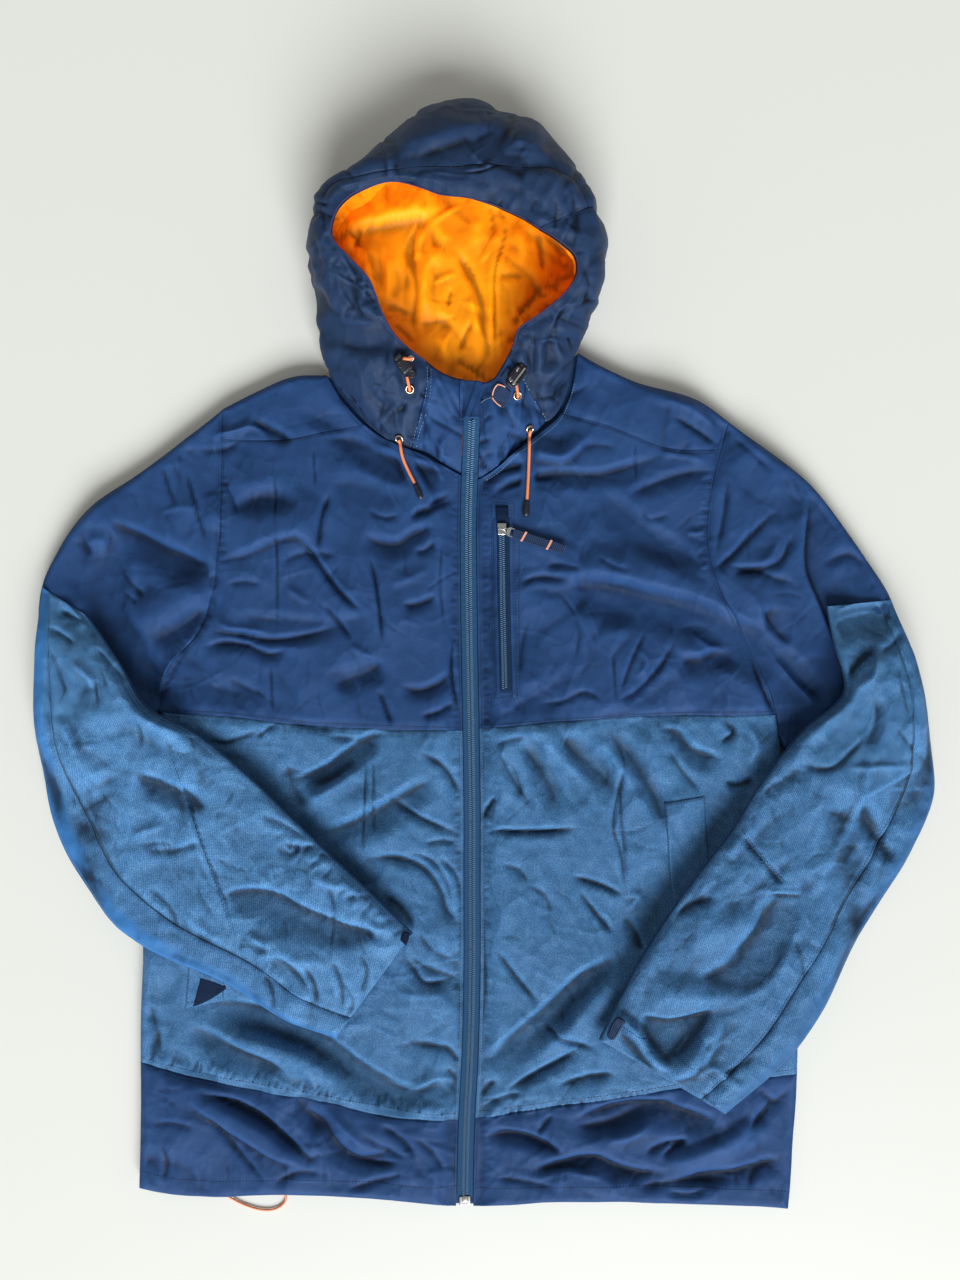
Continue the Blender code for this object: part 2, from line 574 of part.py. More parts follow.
def off_loop(p, loop):
    """Distance from plan point p to the area inside a loop."""
    a, b = loop, np.roll(loop, -1, axis=0)
    ab = b - a
    t = np.clip(((p - a) * ab).sum(1) / np.maximum((ab ** 2).sum(1), 1e-9), 0, 1)
    d = np.linalg.norm(p - (a + t[:, None] * ab), axis=1).min()
    hit = ((a[:, 1] > p[1]) != (b[:, 1] > p[1]))
    x = a[:, 0] + (p[1] - a[:, 1]) / np.where(np.abs(ab[:, 1]) < 1e-9, 1e-9, ab[:, 1]) * ab[:, 0]
    return 0.0 if (hit & (p[0] < x)).sum() % 2 else d


def sleeve_base(s, p):
    """Height a forearm rests at: on the body and upper arm, then down to the surface outside."""
    off = min(off_loop(p, lp) for lp in BODY[s])
    return SLEEVE_BASE * (1 - float(ease((off - 14) / 46)))


V_SLEEVE = [0, 0.04, 0.12, 0.22, 0.33, 0.45, 0.57, 0.69, 0.81, 0.94, 1.0]
for s, rows in (("L", FOREARM_L), ("R", FOREARM_R)):
    inner, outer = Curve([r[:2] for r in rows]), Curve([r[2:] for r in rows])

    def plan(u, v):
        return (1 - u) * inner(v) + u * outer(v)
    cut = UNDER_FROM
    u_in, u_out = [0, 0.025, 0.08, 0.2, 0.4, 0.6, 0.74], [0.88, 0.95, 0.985, 1.0]
    for part in ("top", "under"):
        us = u_in + [cut - 0.0012] if part == "top" else u_in + [cut - 0.0012, cut + 0.0012] + u_out
        g = np.array([[plan(u, v) for u in us] for v in V_SLEEVE])
        whole = to_edges(np.array([[plan(u, v) for u in u_in + [cut] + u_out] for v in V_SLEEVE]))
        width = whole["left"][:, -1:]
        d = to_edges(g)
        d_in = width * np.array(us)[None, :]
        d_edge = np.minimum(d_in, width - d_in)
        half = 1.3 + (SLEEVE_HALF - 1.3) * quarter(d_edge, np.minimum(14.0, 0.45 * width))
        half = np.minimum(half, 3.0 + (SLEEVE_HALF - 3.0) * quarter(d["low"], 16))
        half = np.minimum(half, 5.5 + (SLEEVE_HALF - 5.5) * quarter(d["high"], 9))
        crown = 2.0 * np.sin(np.pi * np.clip(np.array(us), 0, 1))[None, :] * ease(np.minimum(d["low"], d["high"]) / 40)
        base = np.array([[sleeve_base(s, p) for p in row] for row in g])
        mid = base + SLEEVE_HALF
        if part == "top":
            wall("forearm_top_" + s, with_z(g, mid + 0.2), with_z(g, mid + half + crown), HEATHER)
        else:
            outside = np.array([u > cut for u in us])[None, :]
            wall("forearm_under_" + s, with_z(g, mid - half),
                 with_z(g, np.where(outside, mid + half + crown, mid - 0.2)), BLUE)

# ---------------------------------------------------------------- hood and collar
hood = Graph(HOOD)
CX, CY = HOOD_C


def wrap(b):
    return b - 360 if b > HOOD[-1][0] else b


def section(b):
    r = hood(wrap(b))
    return Curve([r[0:2], r[2:4], r[4:6], r[6:8]])


def hood_rz(b, t, depth, cache={}):
    key = round(b, 6)
    if key not in cache:
        cache[key] = section(b)
    c = cache[key]
    p, a, e = c(t), c(max(t - 0.01, 0)), c(min(t + 0.01, 1))
    tan = (e - a) / np.linalg.norm(e - a)
    n = np.array([tan[1], -tan[0]])
    on_floor = 1 - float(ease(c(1)[1] / 6))
    k = on_floor * float(ease((t - 0.8) / 0.2))
    n = n * (1 - k) + np.array([-1.0, 0]) * k
    return p + n / np.linalg.norm(n) * depth


def hood_point(b, t, depth=0.0):
    r, z = hood_rz(b, t, depth)
    a = math.radians(b)
    return np.array([CX + r * math.cos(a), CY + r * math.sin(a), max(z, 0.0)])


def brow_t(b):
    c = section(b)
    return c.s[1] / c.s[-1]


def hood_z(x, y):
    """Height of the hood's or collar's outer surface over a plan point in front of the neck."""
    b, r = math.degrees(math.atan2(y - CY, x - CX)) % 360, math.hypot(x - CX, y - CY)
    lo, hi = 0.0, 1.0
    for _ in range(30):
        m = (lo + hi) / 2
        if hood_rz(b, m, 0)[0] < r:
            lo = m
        else:
            hi = m
    return float(hood_rz(b, lo, 0)[1])


def zip_bearing(t, shift):
    """Bearing at which the zip's edge crosses row t of the collar."""
    b = 277.0
    for _ in range(12):
        r = hood_rz(b, t, 0)[0]
        y = CY + r * math.sin(math.radians(b))
        b = math.degrees(math.atan2(y - CY, zip_x(y) + shift - CX)) % 360
    return b


def hood_sheet(name, b0, b1, nb, t0, t1, rows, depth, mat, cluster=False):
    """Piece of the hood: between two bearings and two rows of the section, with its depth."""
    grids = []
    for dep in (depth[1], depth[0]):
        g = []
        for q in rows:
            line = []
            for i in range(nb + 1):
                k = i / nb
                tq = q
                start = b0(tq) if callable(b0) else b0
                stop = b1(tq) if callable(b1) else b1
                b = start + (stop - start) * k
                ta, tb = (t0(b) if callable(t0) else t0), (t1(b) if callable(t1) else t1)
                t = ta + (tb - ta) * q
                r = hood_rz(b, t, 0)[0]
                b += math.degrees(SEAM_GAP / 2 / r) * (1 if i == 0 else -1 if i == nb else 0)
                line.append(hood_point(b, t, dep))
            g.append(line)
        grids.append(np.array(g))
    return wall(name, grids[0], grids[1], mat)


def level_t(b, depth, z):
    """Row at which the surface at this depth comes down to height z."""
    t = 0.25
    while t < 1 and hood_rz(b, t, depth)[1] > z:
        t += 0.01
    return min(t, 1.0)


ROWS = [0, 0.12, 0.27, 0.42, 0.56, 0.7, 0.85, 1.0]
seam_t = 0.003
hood_sheet("hood_brim", CROWN_FROM, CROWN_TO, 15, 0.0, lambda b: brow_t(b) - seam_t, [0, 0.33, 0.67, 1], (0, 4.0), NAVY)
hood_sheet("hood_crown", CROWN_FROM, CROWN_TO, 15, lambda b: brow_t(b) + seam_t, 1.0, ROWS,
           (0, HOOD_WALL), NAVY)
hood_sheet("hood_side_L", CROWN_TO, COLLAR_L_AT + 360, 11, 0.0, 1.0, ROWS, (0, HOOD_WALL), NAVY)
hood_sheet("hood_side_R", COLLAR_R_AT, CROWN_FROM, 9, 0.0, 1.0, ROWS, (0, HOOD_WALL), NAVY)
hood_sheet("collar_L", COLLAR_L_AT, lambda t: zip_bearing(t, -ZIP_HALF), 4, 0.0, 1.0, ROWS, (0, HOOD_WALL), NAVY)
hood_sheet("collar_R", lambda t: zip_bearing(t, ZIP_HALF), COLLAR_R_AT, 4, 0.0, 1.0, ROWS, (0, HOOD_WALL), NAVY)
L_IN, L_OUT = HOOD_WALL + LINING_GAP, HOOD_WALL + LINING_GAP + LINING
L_ROWS = [0, 0.2, 0.4, 0.6, 0.8, 1.0]


def lining_end(b):
    return level_t(b, L_OUT, 12.6)


hood_sheet("lining_L", CROWN_TO, 277.0 + 360, 13, 0.05, lining_end, L_ROWS, (L_IN, L_OUT), ORANGE)
hood_sheet("lining_R", 277.0, CROWN_FROM, 11, 0.05, lining_end, L_ROWS, (L_IN, L_OUT), ORANGE)
hood_sheet("lining_top", CROWN_FROM, CROWN_TO, 15, 0.07, lining_end, L_ROWS, (L_IN, L_OUT), ORANGE)
arc = np.arange(341.0, 565.5, 8.0)
back_edge = [hood_point(b, 1.0, 0)[:2] for b in arc]
c2 = np.array(HOOD_C)
back_edge = [c2 + (p - c2) * (1 - (HOOD_WALL + 1.5) / np.linalg.norm(p - c2)) for p in back_edge]
neck_line = [back_top(u) + np.array([0, 0.5]) for u in (0.33, 0.4, 0.5, 0.6, 0.67)]
slab("hood_back", neck_line + back_edge, 0.0, BACK_TOP, NAVY)
ring = []
for b in np.arange(205.0, 564.9, 10.0):
    t = level_t(b, HOOD_WALL + 1.0, 11.4)
    r = hood_rz(b, t, HOOD_WALL + 1.0)[0] - 2.2
    ring.append((CX + r * math.cos(math.radians(b)), CY + r * math.sin(math.radians(b))))
slab("lining_back", ring, BACK_TOP + 0.4, BACK_TOP + 2.4, ORANGE)

# ---------------------------------------------------------------- front zip


def tape_z(y):
    """Underside of the zip tape: flat on the body, then up the collar under its edges."""
    k = float(ease((y - 640) / 75))
    return 8.8 * (1 - k) + (k * (hood_z(zip_x(y), max(y, 700)) - 4.0) if k > 0 else 0)


ys_tape = [13, 60, 120, 180, 240, 300, 360, 420, 480, 540, 600, 640, 660, 680, 695, 710, 725, 740, 755, 768]
for s, sg in (("L", -1), ("R", 1)):
    xs = [0.25, 4.0, ZIP_HALF - 0.45]
    low = np.array([[(zip_x(y) + sg * x, y, tape_z(y)) for x in xs] for y in ys_tape])
    wall("zip_tape_" + s, low, low + np.array([0, 0, 1.2]), TAPE)
ys = [y for y in ys_tape if y <= 745]
low = np.array([[(zip_x(y) + x, y, tape_z(y) + 1.5 + (0.4 if abs(x) > 1.5 else 0)) for x in (-2.5, -1.4, 0, 1.4, 2.5)] for y in ys])
wall("zip_chain", low, np.array([[(zip_x(y) + x, y, tape_z(y) + 3.3 - (0.7 if abs(x) > 1.5 else 0))
                                  for x in (-2.5, -1.4, 0, 1.4, 2.5)] for y in ys]), COIL)


def block(name, origin, ex, ez, size, mat, bevel=0.5):
    """Bevelled block; size is length along ex, width, height; origin is the middle of its underside."""
    ex, ez = Vector(ex).normalized(), Vector(ez).normalized()
    ey = ez.cross(ex).normalized()
    ex = ey.cross(ez).normalized()
    bm = bmesh.new()
    bmesh.ops.create_cube(bm, size=1.0)
    m = Matrix((ex, ey, ez)).transposed().to_4x4()
    m.translation = Vector(origin) * MM
    for v in bm.verts:
        v.co = Vector((v.co.x * size[0], v.co.y * size[1], (v.co.z + 0.5) * size[2])) * MM
    bmesh.ops.bevel(bm, geom=list(bm.edges), offset=bevel * MM, segments=1, affect="EDGES", profile=0.5)
    bm.transform(m)
    me = bpy.data.meshes.new(name)
    bm.to_mesh(me)
    bm.free()
    me.shade_smooth()
    me.set_sharp_from_angle(angle=math.radians(35))
    return add_object(name, me, mat)


block("zip_box", (zip_x(7), 7.2, BACK_TOP + 0.5), (1, 0, 0), (0, 0, 1), (9.0, 9.6, 4.2), SILVER, 0.8)
slope = (hood_z(2.5, 758) - hood_z(2.5, 748)) / 10
block("zip_slider", (zip_x(752), 752, tape_z(752) + 1.7), (1, 0, 0), (0, -slope, 1), (8.0, 9.0, 3.6), TAPE, 0.7)


def sheet_on_hood(name, plan, us, vs, lift, thick, mat):
    g = np.array([[plan(u, v) for u in us] for v in vs])
    low = np.array([[hood_z(*p) for p in row] for row in g]) + lift(us, vs)
    return wall(name, with_z(g, low), with_z(g, low + thick), mat)


sheet_on_hood("zip_garage", quad_plan((-9, 744), (13, 744), (15, 775), (-8, 775)), [0, 0.2, 0.4, 0.6, 0.8, 1], [0, 0.25, 0.5, 0.75, 1],
              lambda us, vs: np.array([[1.2 + 3.6 * math.sin(math.pi * u) for u in us] for v in vs]), 1.6, NAVY)
sheet_on_hood("zip_pull_tab", quad_plan((19, 763), (32, 752), (40, 768), (25, 777)), [0, 0.33, 0.67, 1], [0, 0.5, 1],
              lambda us, vs: np.full((len(vs), len(us)), 1.3), 1.4, WEB)

# ---------------------------------------------------------------- hood cord: eyelets, locks, cords


def seat(x, y, on):
    """Point and normal of the surface under a small trim."""
    e = 4.0
    n = Vector((-(on(x + e, y) - on(x - e, y)) / (2 * e), -(on(x, y + e) - on(x, y - e)) / (2 * e), 1)).normalized()
    return Vector((x, y, on(x, y))), n


def turned(name, origin, normal, profile, mat, n=12):
    """Ring turned about a normal; profile is a closed loop of (radius, height)."""
    ez = Vector(normal).normalized()
    ex = ez.orthogonal().normalized()
    ey = ez.cross(ex)
    verts, faces, k = [], [], len(profile)
    for i in range(n):
        a = 2 * math.pi * i / n
        d = ex * math.cos(a) + ey * math.sin(a)
        verts += [Vector(origin) + d * r + ez * h for r, h in profile]
    for i in range(n):
        j = (i + 1) % n
        faces += [[i * k + q, j * k + q, j * k + (q + 1) % k, i * k + (q + 1) % k] for q in range(k)]
    return mesh_from(name, verts, faces, mat)


def pin(name, path, radii, mat, n=12):
    """Round solid along a path with a radius at each point, closed by flat ends."""
    path = [Vector(p) for p in path]
    verts, faces = [], []
    for i, p in enumerate(path):
        t = (path[min(i + 1, len(path) - 1)] - path[max(i - 1, 0)]).normalized()
        ex = t.cross(Vector((0, 0, 1))).normalized()
        ey = ex.cross(t)
        for q in range(n):
            a = 2 * math.pi * q / n
            verts.append(p + (ex * math.cos(a) + ey * math.sin(a)) * radii[i])
    for i in range(len(path) - 1):
        faces += [[i * n + q, i * n + (q + 1) % n, (i + 1) * n + (q + 1) % n, (i + 1) * n + q] for q in range(n)]
    faces += [list(range(n))[::-1], [(len(path) - 1) * n + q for q in range(n)]]
    ob = mesh_from(name, verts, faces, mat)
    bm = bmesh.new()
    bm.from_mesh(ob.data)
    if bm.calc_volume(signed=True) < 0:
        bmesh.ops.reverse_faces(bm, faces=list(bm.faces))
    bm.to_mesh(ob.data)
    bm.free()
    return ob


def cord(name, path, diameter, mat):
    """Tube along a smooth route, a point every few millimetres."""
    route = Curve(path)
    n = max(int(route.s[-1] / (2.4 * max(diameter, 2.2))), 5)
    cu = bpy.data.curves.new(name, "CURVE")
    cu.dimensions = "3D"
    cu.bevel_depth = diameter / 2 * MM
    cu.bevel_resolution = 2
    cu.use_fill_caps = True
    sp = cu.splines.new("POLY")
    sp.points.add(n)
    for i in range(n + 1):
        p = route(i / n) * MM
        sp.points[i].co = (p[0], p[1], p[2], 1)
    return add_object(name, cu, mat)


EYELET = [(2.3, 0.0), (4.2, 0.0), (4.2, 0.6), (3.3, 1.2), (2.3, 0.7)]
CORD_D = 2.9
hood_and_yoke_z = surface_of(["hood_side_L", "collar_L", "collar_R", "hood_side_R", "front_yoke_L", "front_yoke_R",
                              "shoulder_yoke_L", "shoulder_yoke_R"])
TRIMS = {  # eyelet by the cord's way in, eyelet under the lock, lock, lock's long direction
    "L": ((-66, 728), (-55, 770), (-59, 789), (-0.62, 0.78)),
    "R": ((56, 737), (44, 765), (42, 782), (0.60, 0.80)),
}
LOCK = (24.0, 12.5, 9.0)
for s, (low_eye, up_eye, lock, way) in TRIMS.items():
    for kind, (x, y) in (("lower", low_eye), ("upper", up_eye)):
        p, n = seat(x, y, hood_z)
        turned("eyelet_%s_%s" % (kind, s), p + n * 0.7, n, EYELET, COPPER)
    p, n = seat(*lock, hood_z)
    block("cord_lock_" + s, p + n * 1.3, (way[0], way[1], 0), n, LOCK, BLACK, 2.6)
    pe, ne = seat(*up_eye, hood_z)
    a = pe + ne * 4.0
    w = Vector((lock[0] - up_eye[0], lock[1] - up_eye[1], 0))
    b = Vector((up_eye[0], up_eye[1], 0)) + w.normalized() * (w.length - LOCK[0] / 2 - 1.2)
    b.z = hood_z(b.x, b.y) + 4.0
    pin("lock_cord_" + s, [a - w.normalized() * 0.5, a * 0.5 + b * 0.5 + Vector((0, 0, 0.5)), b], [CORD_D / 2] * 3, CORD, 8)

HOOD_CORD = {  # route in plan after the eyelet, and the black end's two points
    "L": ([(-66, 728), (-63, 711), (-57, 697), (-51.5, 686.4)], [(-51.0, 685.3), (-45.6, 672.4)]),
    "R": ([(56, 737), (55.6, 715), (54.8, 692), (53.6, 671)], [(53.5, 670.0), (52.4, 655.0)]),
}


def clear_z(x, y, r):
    return max(hood_and_yoke_z(x + dx, y + dy) for dx in (-r, 0, r) for dy in (-r, 0, r))


for s, (route, tip) in HOOD_CORD.items():
    p, n = seat(*route[0], hood_z)
    pts = [tuple(p + n * (CORD_D / 2 + 2.3))]
    line = Curve(route)
    for k in (0.18, 0.34, 0.5, 0.66, 0.82, 1.0):
        q = line(k)
        pts.append((q[0], q[1], clear_z(q[0], q[1], 2.5) + CORD_D / 2 + (0.9 if k > 0.2 else 1.5)))
    cord("hood_cord_" + s, pts, CORD_D, CORD)
    end = Vector(pts[-1])
    a, b = Vector((*tip[0], end.z)), Vector((*tip[1], clear_z(*tip[1], 3) + 3.0))
    a = end + (Vector((*tip[0], end.z)) - end).normalized() * 0.4
    pin("cord_end_" + s, [a, a.lerp(b, 0.15), a.lerp(b, 0.6), a.lerp(b, 0.9), b], [1.9, 2.2, 2.4, 2.0, 1.2], BLACK, 10)

HEM_CORD = [(-237, 13.2, 3.4), (-229, 8.0, 1.6), (-219, 2.5, 1.05), (-208, -1.8, 1.05), (-197, -4.2, 1.05), (-187, -3.6, 1.05),
            (-179, 0.6, 1.05), (-175.5, 6.0, 1.5), (-177, 13.2, 3.4)]
cord("hem_cord_L", HEM_CORD, 1.8, CORD)

# ---------------------------------------------------------------- chest zip and hand pockets
yoke_z = surface_of(["front_yoke_R"])
CHEST_LINE = Curve([(31, 651), (32, 577), (34, 490)])
T10 = [0, 0.07, 0.14, 0.21, 0.29, 0.36, 0.43, 0.5, 0.57, 0.64, 0.71, 0.79, 0.86, 0.93, 1.0]
patch_on("chest_zip_tape", strip_plan(CHEST_LINE, -12.5), [0, 0.5, 1], T10, yoke_z, 1.2, TAPE)
patch_on("chest_zip_garage", quad_plan((24.5, 652), (36.5, 652), (36.0, 665), (24.0, 665)), [0, 0.5, 1], [0, 0.5, 1], yoke_z, 1.3, NAVY)
tape_top = surface_of(["chest_zip_tape"])
for s, corners in (("R", ((195, 235), (232, 242), (221, 393), (183, 387))), ("L", ((-268, 193), (-232, 199), (-216, 346), (-252, 340)))):
    on = surface_of(["front_lower_" + s])
    patch_on("pocket_welt_" + s, quad_plan(*corners), [0, 0.25, 0.5, 0.75, 1], [i / 12 for i in range(13)], on, 1.0, HEATHER)

# chest zip's slider with its bridge, and the pull that hangs in it
SLIDER = (30.0, 643.0)
PULL_WAY = Vector((math.cos(math.radians(-18)), math.sin(math.radians(-18)), 0))
PULL_SIDE = Vector((-PULL_WAY.y, PULL_WAY.x, 0))
body_low = max(tape_top(SLIDER[0] + dx, SLIDER[1] + dy) for dx in (-3, 0, 3) for dy in (-5, 0, 5)) + 0.4
AXIS_Z = body_low + 2.6 + 1.25
axis = Vector((SLIDER[0], SLIDER[1], AXIS_Z))
slider = block("chest_slider", (SLIDER[0], SLIDER[1], body_low), (0, 1, 0), (0, 0, 1), (10.0, 7.2, 2.6), SILVER, 0.5)
outer = [(-3.8, -2.2), (-3.8, 1.5), (-3.0, 2.3), (3.0, 2.3), (3.8, 1.5), (3.8, -2.2)]
inner = [(-2.6, -2.2), (-2.6, 0.9), (-2.3, 1.1), (2.3, 1.1), (2.6, 0.9), (2.6, -2.2)]


def bridge_side(line, off):
    return [axis + PULL_WAY * a + Vector((0, 0, h)) + PULL_SIDE * off for a, h in line]


n_out = len(outer)
verts = bridge_side(outer, -0.6) + bridge_side(inner, -0.6) + bridge_side(outer, 0.6) + bridge_side(inner, 0.6)
faces = []
for i in range(n_out - 1):
    o0, i0, o1, i1 = i, n_out + i, 2 * n_out + i, 3 * n_out + i
    faces += [[o0, i0, i0 + 1, o0 + 1], [o1, o1 + 1, i1 + 1, i1], [o0, o0 + 1, o1 + 1, o1], [i0, i1, i1 + 1, i0 + 1]]
faces += [[0, 2 * n_out, 3 * n_out, n_out], [n_out - 1, 2 * n_out - 1, 4 * n_out - 1, 3 * n_out - 1]]
bridge = mesh_from("slider_bridge", verts, faces, SILVER, smooth=False)
bm = bmesh.new()
bm.from_mesh(bridge.data)
bmesh.ops.recalc_face_normals(bm, faces=list(bm.faces))
bm.to_mesh(bridge.data)
bm.free()
bridge.hide_render = True
bridge.display_type = "WIRE"
join = slider.modifiers.new("bridge", "BOOLEAN")
join.operation, join.solver, join.object = "UNION", "EXACT", bridge

# the pull slopes down from the bridge until its webbing tab lies on the yoke
TAB_END = 62.0
far = axis + PULL_WAY * TAB_END
drop = (yoke_z(far.x, far.y) + 2.4 - AXIS_Z) / TAB_END
pull_dir = (PULL_WAY + Vector((0, 0, drop))).normalized()
pull_up = pull_dir.cross(PULL_SIDE).normalized()
if pull_up.z < 0:
    pull_up = -pull_up
hinge = bpy.data.objects.new("pull_hinge", None)
hinge.parent = root
hinge.location = axis * MM
bpy.context.scene.collection.objects.link(hinge)
HOLE, RIM_X, RIM_W = (0.7, 5.2, 1.4), (-0.7, 12.0), 2.9
mid = Vector(((HOLE[0] + HOLE[1]) / 2, 0))


def around(hx0, hx1, hw, n=16, power=4.0):
    """Rounded rectangle as a star of n points about the hole's middle."""
    pts = []
    for i in range(n):
        a = 2 * math.pi * i / n
        c, s_ = math.cos(a), math.sin(a)
        rx = (hx1 - mid.x) if c > 0 else (mid.x - hx0)
        k = (abs(c / rx) ** power + abs(s_ / hw) ** power) ** (-1 / power)
        pts.append((mid.x + c * k, s_ * k))
    return pts


loops = [(around(RIM_X[0], RIM_X[1], RIM_W), -0.6), (around(RIM_X[0], RIM_X[1], RIM_W), 0.6),
         (around(HOLE[0], HOLE[1], HOLE[2]), 0.6), (around(HOLE[0], HOLE[1], HOLE[2]), -0.6)]
verts = [pull_dir * a + PULL_SIDE * b + pull_up * h for loop, h in loops for a, b in loop]
faces = [[q * 16 + i, q * 16 + (i + 1) % 16, ((q + 1) % 4) * 16 + (i + 1) % 16, ((q + 1) % 4) * 16 + i] for q in range(4) for i in range(16)]
pull = mesh_from("chest_pull", verts, faces, SILVER)
TAB_W, TAB_T = 9.5, 1.8
verts = []
for a in (12.4, 13.4, 36.0, TAB_END - 1.0, TAB_END):
    w = TAB_W / 2 - (0.8 if a in (12.4, TAB_END) else 0)
    verts += [pull_dir * a + PULL_SIDE * y + pull_up * h for y, h in ((-w, -TAB_T / 2), (w, -TAB_T / 2), (w, TAB_T / 2), (-w, TAB_T / 2))]
faces = [[4 * i + q, 4 * i + (q + 1) % 4, 4 * i + 4 + (q + 1) % 4, 4 * i + 4 + q] for i in range(4) for q in range(4)]
faces += [[3, 2, 1, 0], [16, 17, 18, 19]]
tab = mesh_from("chest_pull_tab", verts, faces, WEB, smooth=False)
for ob in (pull, tab):
    ob.parent = hinge
    bm = bmesh.new()
    bm.from_mesh(ob.data)
    if bm.calc_volume(signed=True) < 0:
        bmesh.ops.reverse_faces(bm, faces=list(bm.faces))
    bm.to_mesh(ob.data)
    bm.free()

# small patch at the right cuff, on the sleeve's top
sleeve_top = surface_of(["forearm_top_R"])
c, along = np.array([134.5, 182.0]), np.array([41.0, 79.0]) / 89.0
cross = np.array([along[1], -along[0]])
patch_on("cuff_tab_R", quad_plan(c - along * 12 - cross * 4.5, c - along * 12 + cross * 4.5, c + along * 12 + cross * 4.5,
         c + along * 12 - cross * 4.5), [0, 0.5, 1], [0, 0.33, 0.67, 1], sleeve_top, 1.2, WEB)
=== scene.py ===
"""Looks of the padded jacket: every cloth piece as a fine creased shell on its solid's form.

Tables are in millimetres in the garment's own table frame (x from the front zip, y up from
the hem, z up from the surface it lies on), as in the construction. Creases are placed in the
reference view's frame, 960 by 1280, through seen(), which says where a point of the
garment is in that view.
"""
import math

import bmesh
import bpy
import numpy as np
from mathutils import Matrix, Vector
from mathutils.bvhtree import BVHTree


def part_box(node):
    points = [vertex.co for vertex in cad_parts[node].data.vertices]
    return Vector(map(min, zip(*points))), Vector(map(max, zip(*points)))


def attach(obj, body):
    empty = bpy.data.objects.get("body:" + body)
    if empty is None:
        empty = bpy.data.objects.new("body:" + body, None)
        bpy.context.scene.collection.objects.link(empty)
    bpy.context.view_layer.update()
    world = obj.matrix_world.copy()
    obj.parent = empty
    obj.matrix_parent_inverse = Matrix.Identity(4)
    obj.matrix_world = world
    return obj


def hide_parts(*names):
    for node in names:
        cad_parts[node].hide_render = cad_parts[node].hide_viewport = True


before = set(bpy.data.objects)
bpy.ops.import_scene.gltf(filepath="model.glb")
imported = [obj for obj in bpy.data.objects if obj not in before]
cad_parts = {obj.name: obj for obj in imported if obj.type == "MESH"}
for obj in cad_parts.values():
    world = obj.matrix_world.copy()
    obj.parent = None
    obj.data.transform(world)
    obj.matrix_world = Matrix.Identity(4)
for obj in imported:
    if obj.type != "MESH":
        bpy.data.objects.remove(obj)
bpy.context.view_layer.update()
BODY, PULL = "jacket", "pull"

MM = 0.001
CENTRE = (16.27, 517.58)
EYE = (9.55, 539.6, 1150.0)      # camera in the table frame
PX = 0.955                       # millimetres a pixel at the surface it lies on

# ---------------------------------------------------------------- sizes of the construction
WALL = 9.0
BACK_TOP = 8.0
FRONT_LOW = 8.4
CROWN = 2.0
SEAM_GAP = 0.3
FOLD_R = 9.0
ZIP_HALF = 8.0
SLEEVE_BASE = 24.2
SLEEVE_HALF = 9.0
HOOD_WALL = 5.0
LINING = 1.5
LINING_GAP = 2.8

ZIP_LINE = [(2, -5), (86, -3), (143, 0), (228, 2), (313, 2), (388, 2), (455, 1),
            (577, -1), (672, -1), (700, 0), (723, 1), (747, 2), (780, 4)]
SIDE_L = [(20, -313), (140, -311), (250, -310), (388, -303), (480, -292)]
SIDE_R = [(-2, 301), (29, 304), (127, 310), (160, 311), (293, 308), (388, 300), (480, 288)]
HEM_L = [(-12, 5), (-111, 13), (-174, 15), (-284, 17), (-313, 24)]
HEM_R = [(4, 5), (59, 7), (190, 8), (285, 4), (301, 3)]
BAND_L = [(-9, 86), (-68, 91), (-127, 103), (-194, 115), (-267, 129), (-311, 142)]
BAND_R = [(8, 88), (80, 101), (167, 112), (226, 122), (310, 131)]
CHEST_L = [(-7, 454), (-96, 457), (-159, 460), (-222, 468), (-292, 472)]
CHEST_R = [(9, 456), (85, 462), (176, 468), (289, 470)]
ARM_L = [(-292, 472), (-289, 499), (-277, 522), (-257, 545), (-244, 577), (-236, 629),
         (-234, 700), (-233, 758)]
ARM_R = [(289, 470), (275, 512), (259, 545), (234, 588), (224, 634), (227, 674),
         (236, 716), (244, 746)]
NECK_L = [(-8, 695), (-46, 714), (-69, 722), (-94, 737), (-119, 764), (-136, 791)]
NECK_R = [(8, 691), (24, 700), (44, 717), (65, 733), (85, 751), (97, 779), (102, 810)]
NECK_SPLIT_L = 0.63
NECK_SPLIT_R = 0.62
SHOULDER_SEAM_L = [(-171, 729), (-234, 727)]
SHOULDER_SEAM_R = [(134, 739), (151, 732), (197, 717), (234, 704)]
FOLD_L = [(-136, 791), (-161, 790), (-199, 775), (-233, 758)]
FOLD_R_TOP = [(102, 810), (121, 799), (148, 786), (223, 761), (244, 746)]
NECK_BACK = [(-131, 789), (-105, 776), (-60, 768), (-14, 766), (40, 770), (74, 782), (97, 806)]
ARM_OUT_L = [(-233, 758), (-256, 740), (-311, 699), (-357, 666), (-387, 628), (-405, 590),
             (-406, 545), (-391, 492)]
ARM_END_L = [(-353, 437), (-376, 460), (-391, 492)]
ARM_LOW_L = [(-292, 472), (-308, 451), (-329, 440), (-353, 437)]
ARM_OUT_R = [(244, 746), (283, 720), (324, 684), (370, 624), (399, 577), (410, 528), (397, 470)]
ARM_END_R = [(366, 424), (386, 442), (397, 470)]
ARM_LOW_R = [(289, 470), (294, 440), (318, 420), (366, 421)]
FOREARM_L = [(-361, 564, -401, 589), (-326, 520, -403, 526), (-299, 478, -404, 451),
             (-258, 456, -394, 368), (-210, 418, -368, 315), (-168, 378, -307, 259),
             (-120, 332, -223, 220), (-86, 300, -167, 186), (-53, 268, -124, 171)]
FOREARM_R = [(335, 571, 395, 577), (340, 535, 411, 530), (347, 493, 426, 469),
             (309, 456, 439, 395), (270, 407, 418, 342), (244, 365, 384, 286),
             (208, 318, 345, 225), (161, 249, 296, 153), (120, 170, 237, 101)]
UNDER_FROM = 0.80
HOOD_C = (-14.0, 870.0)
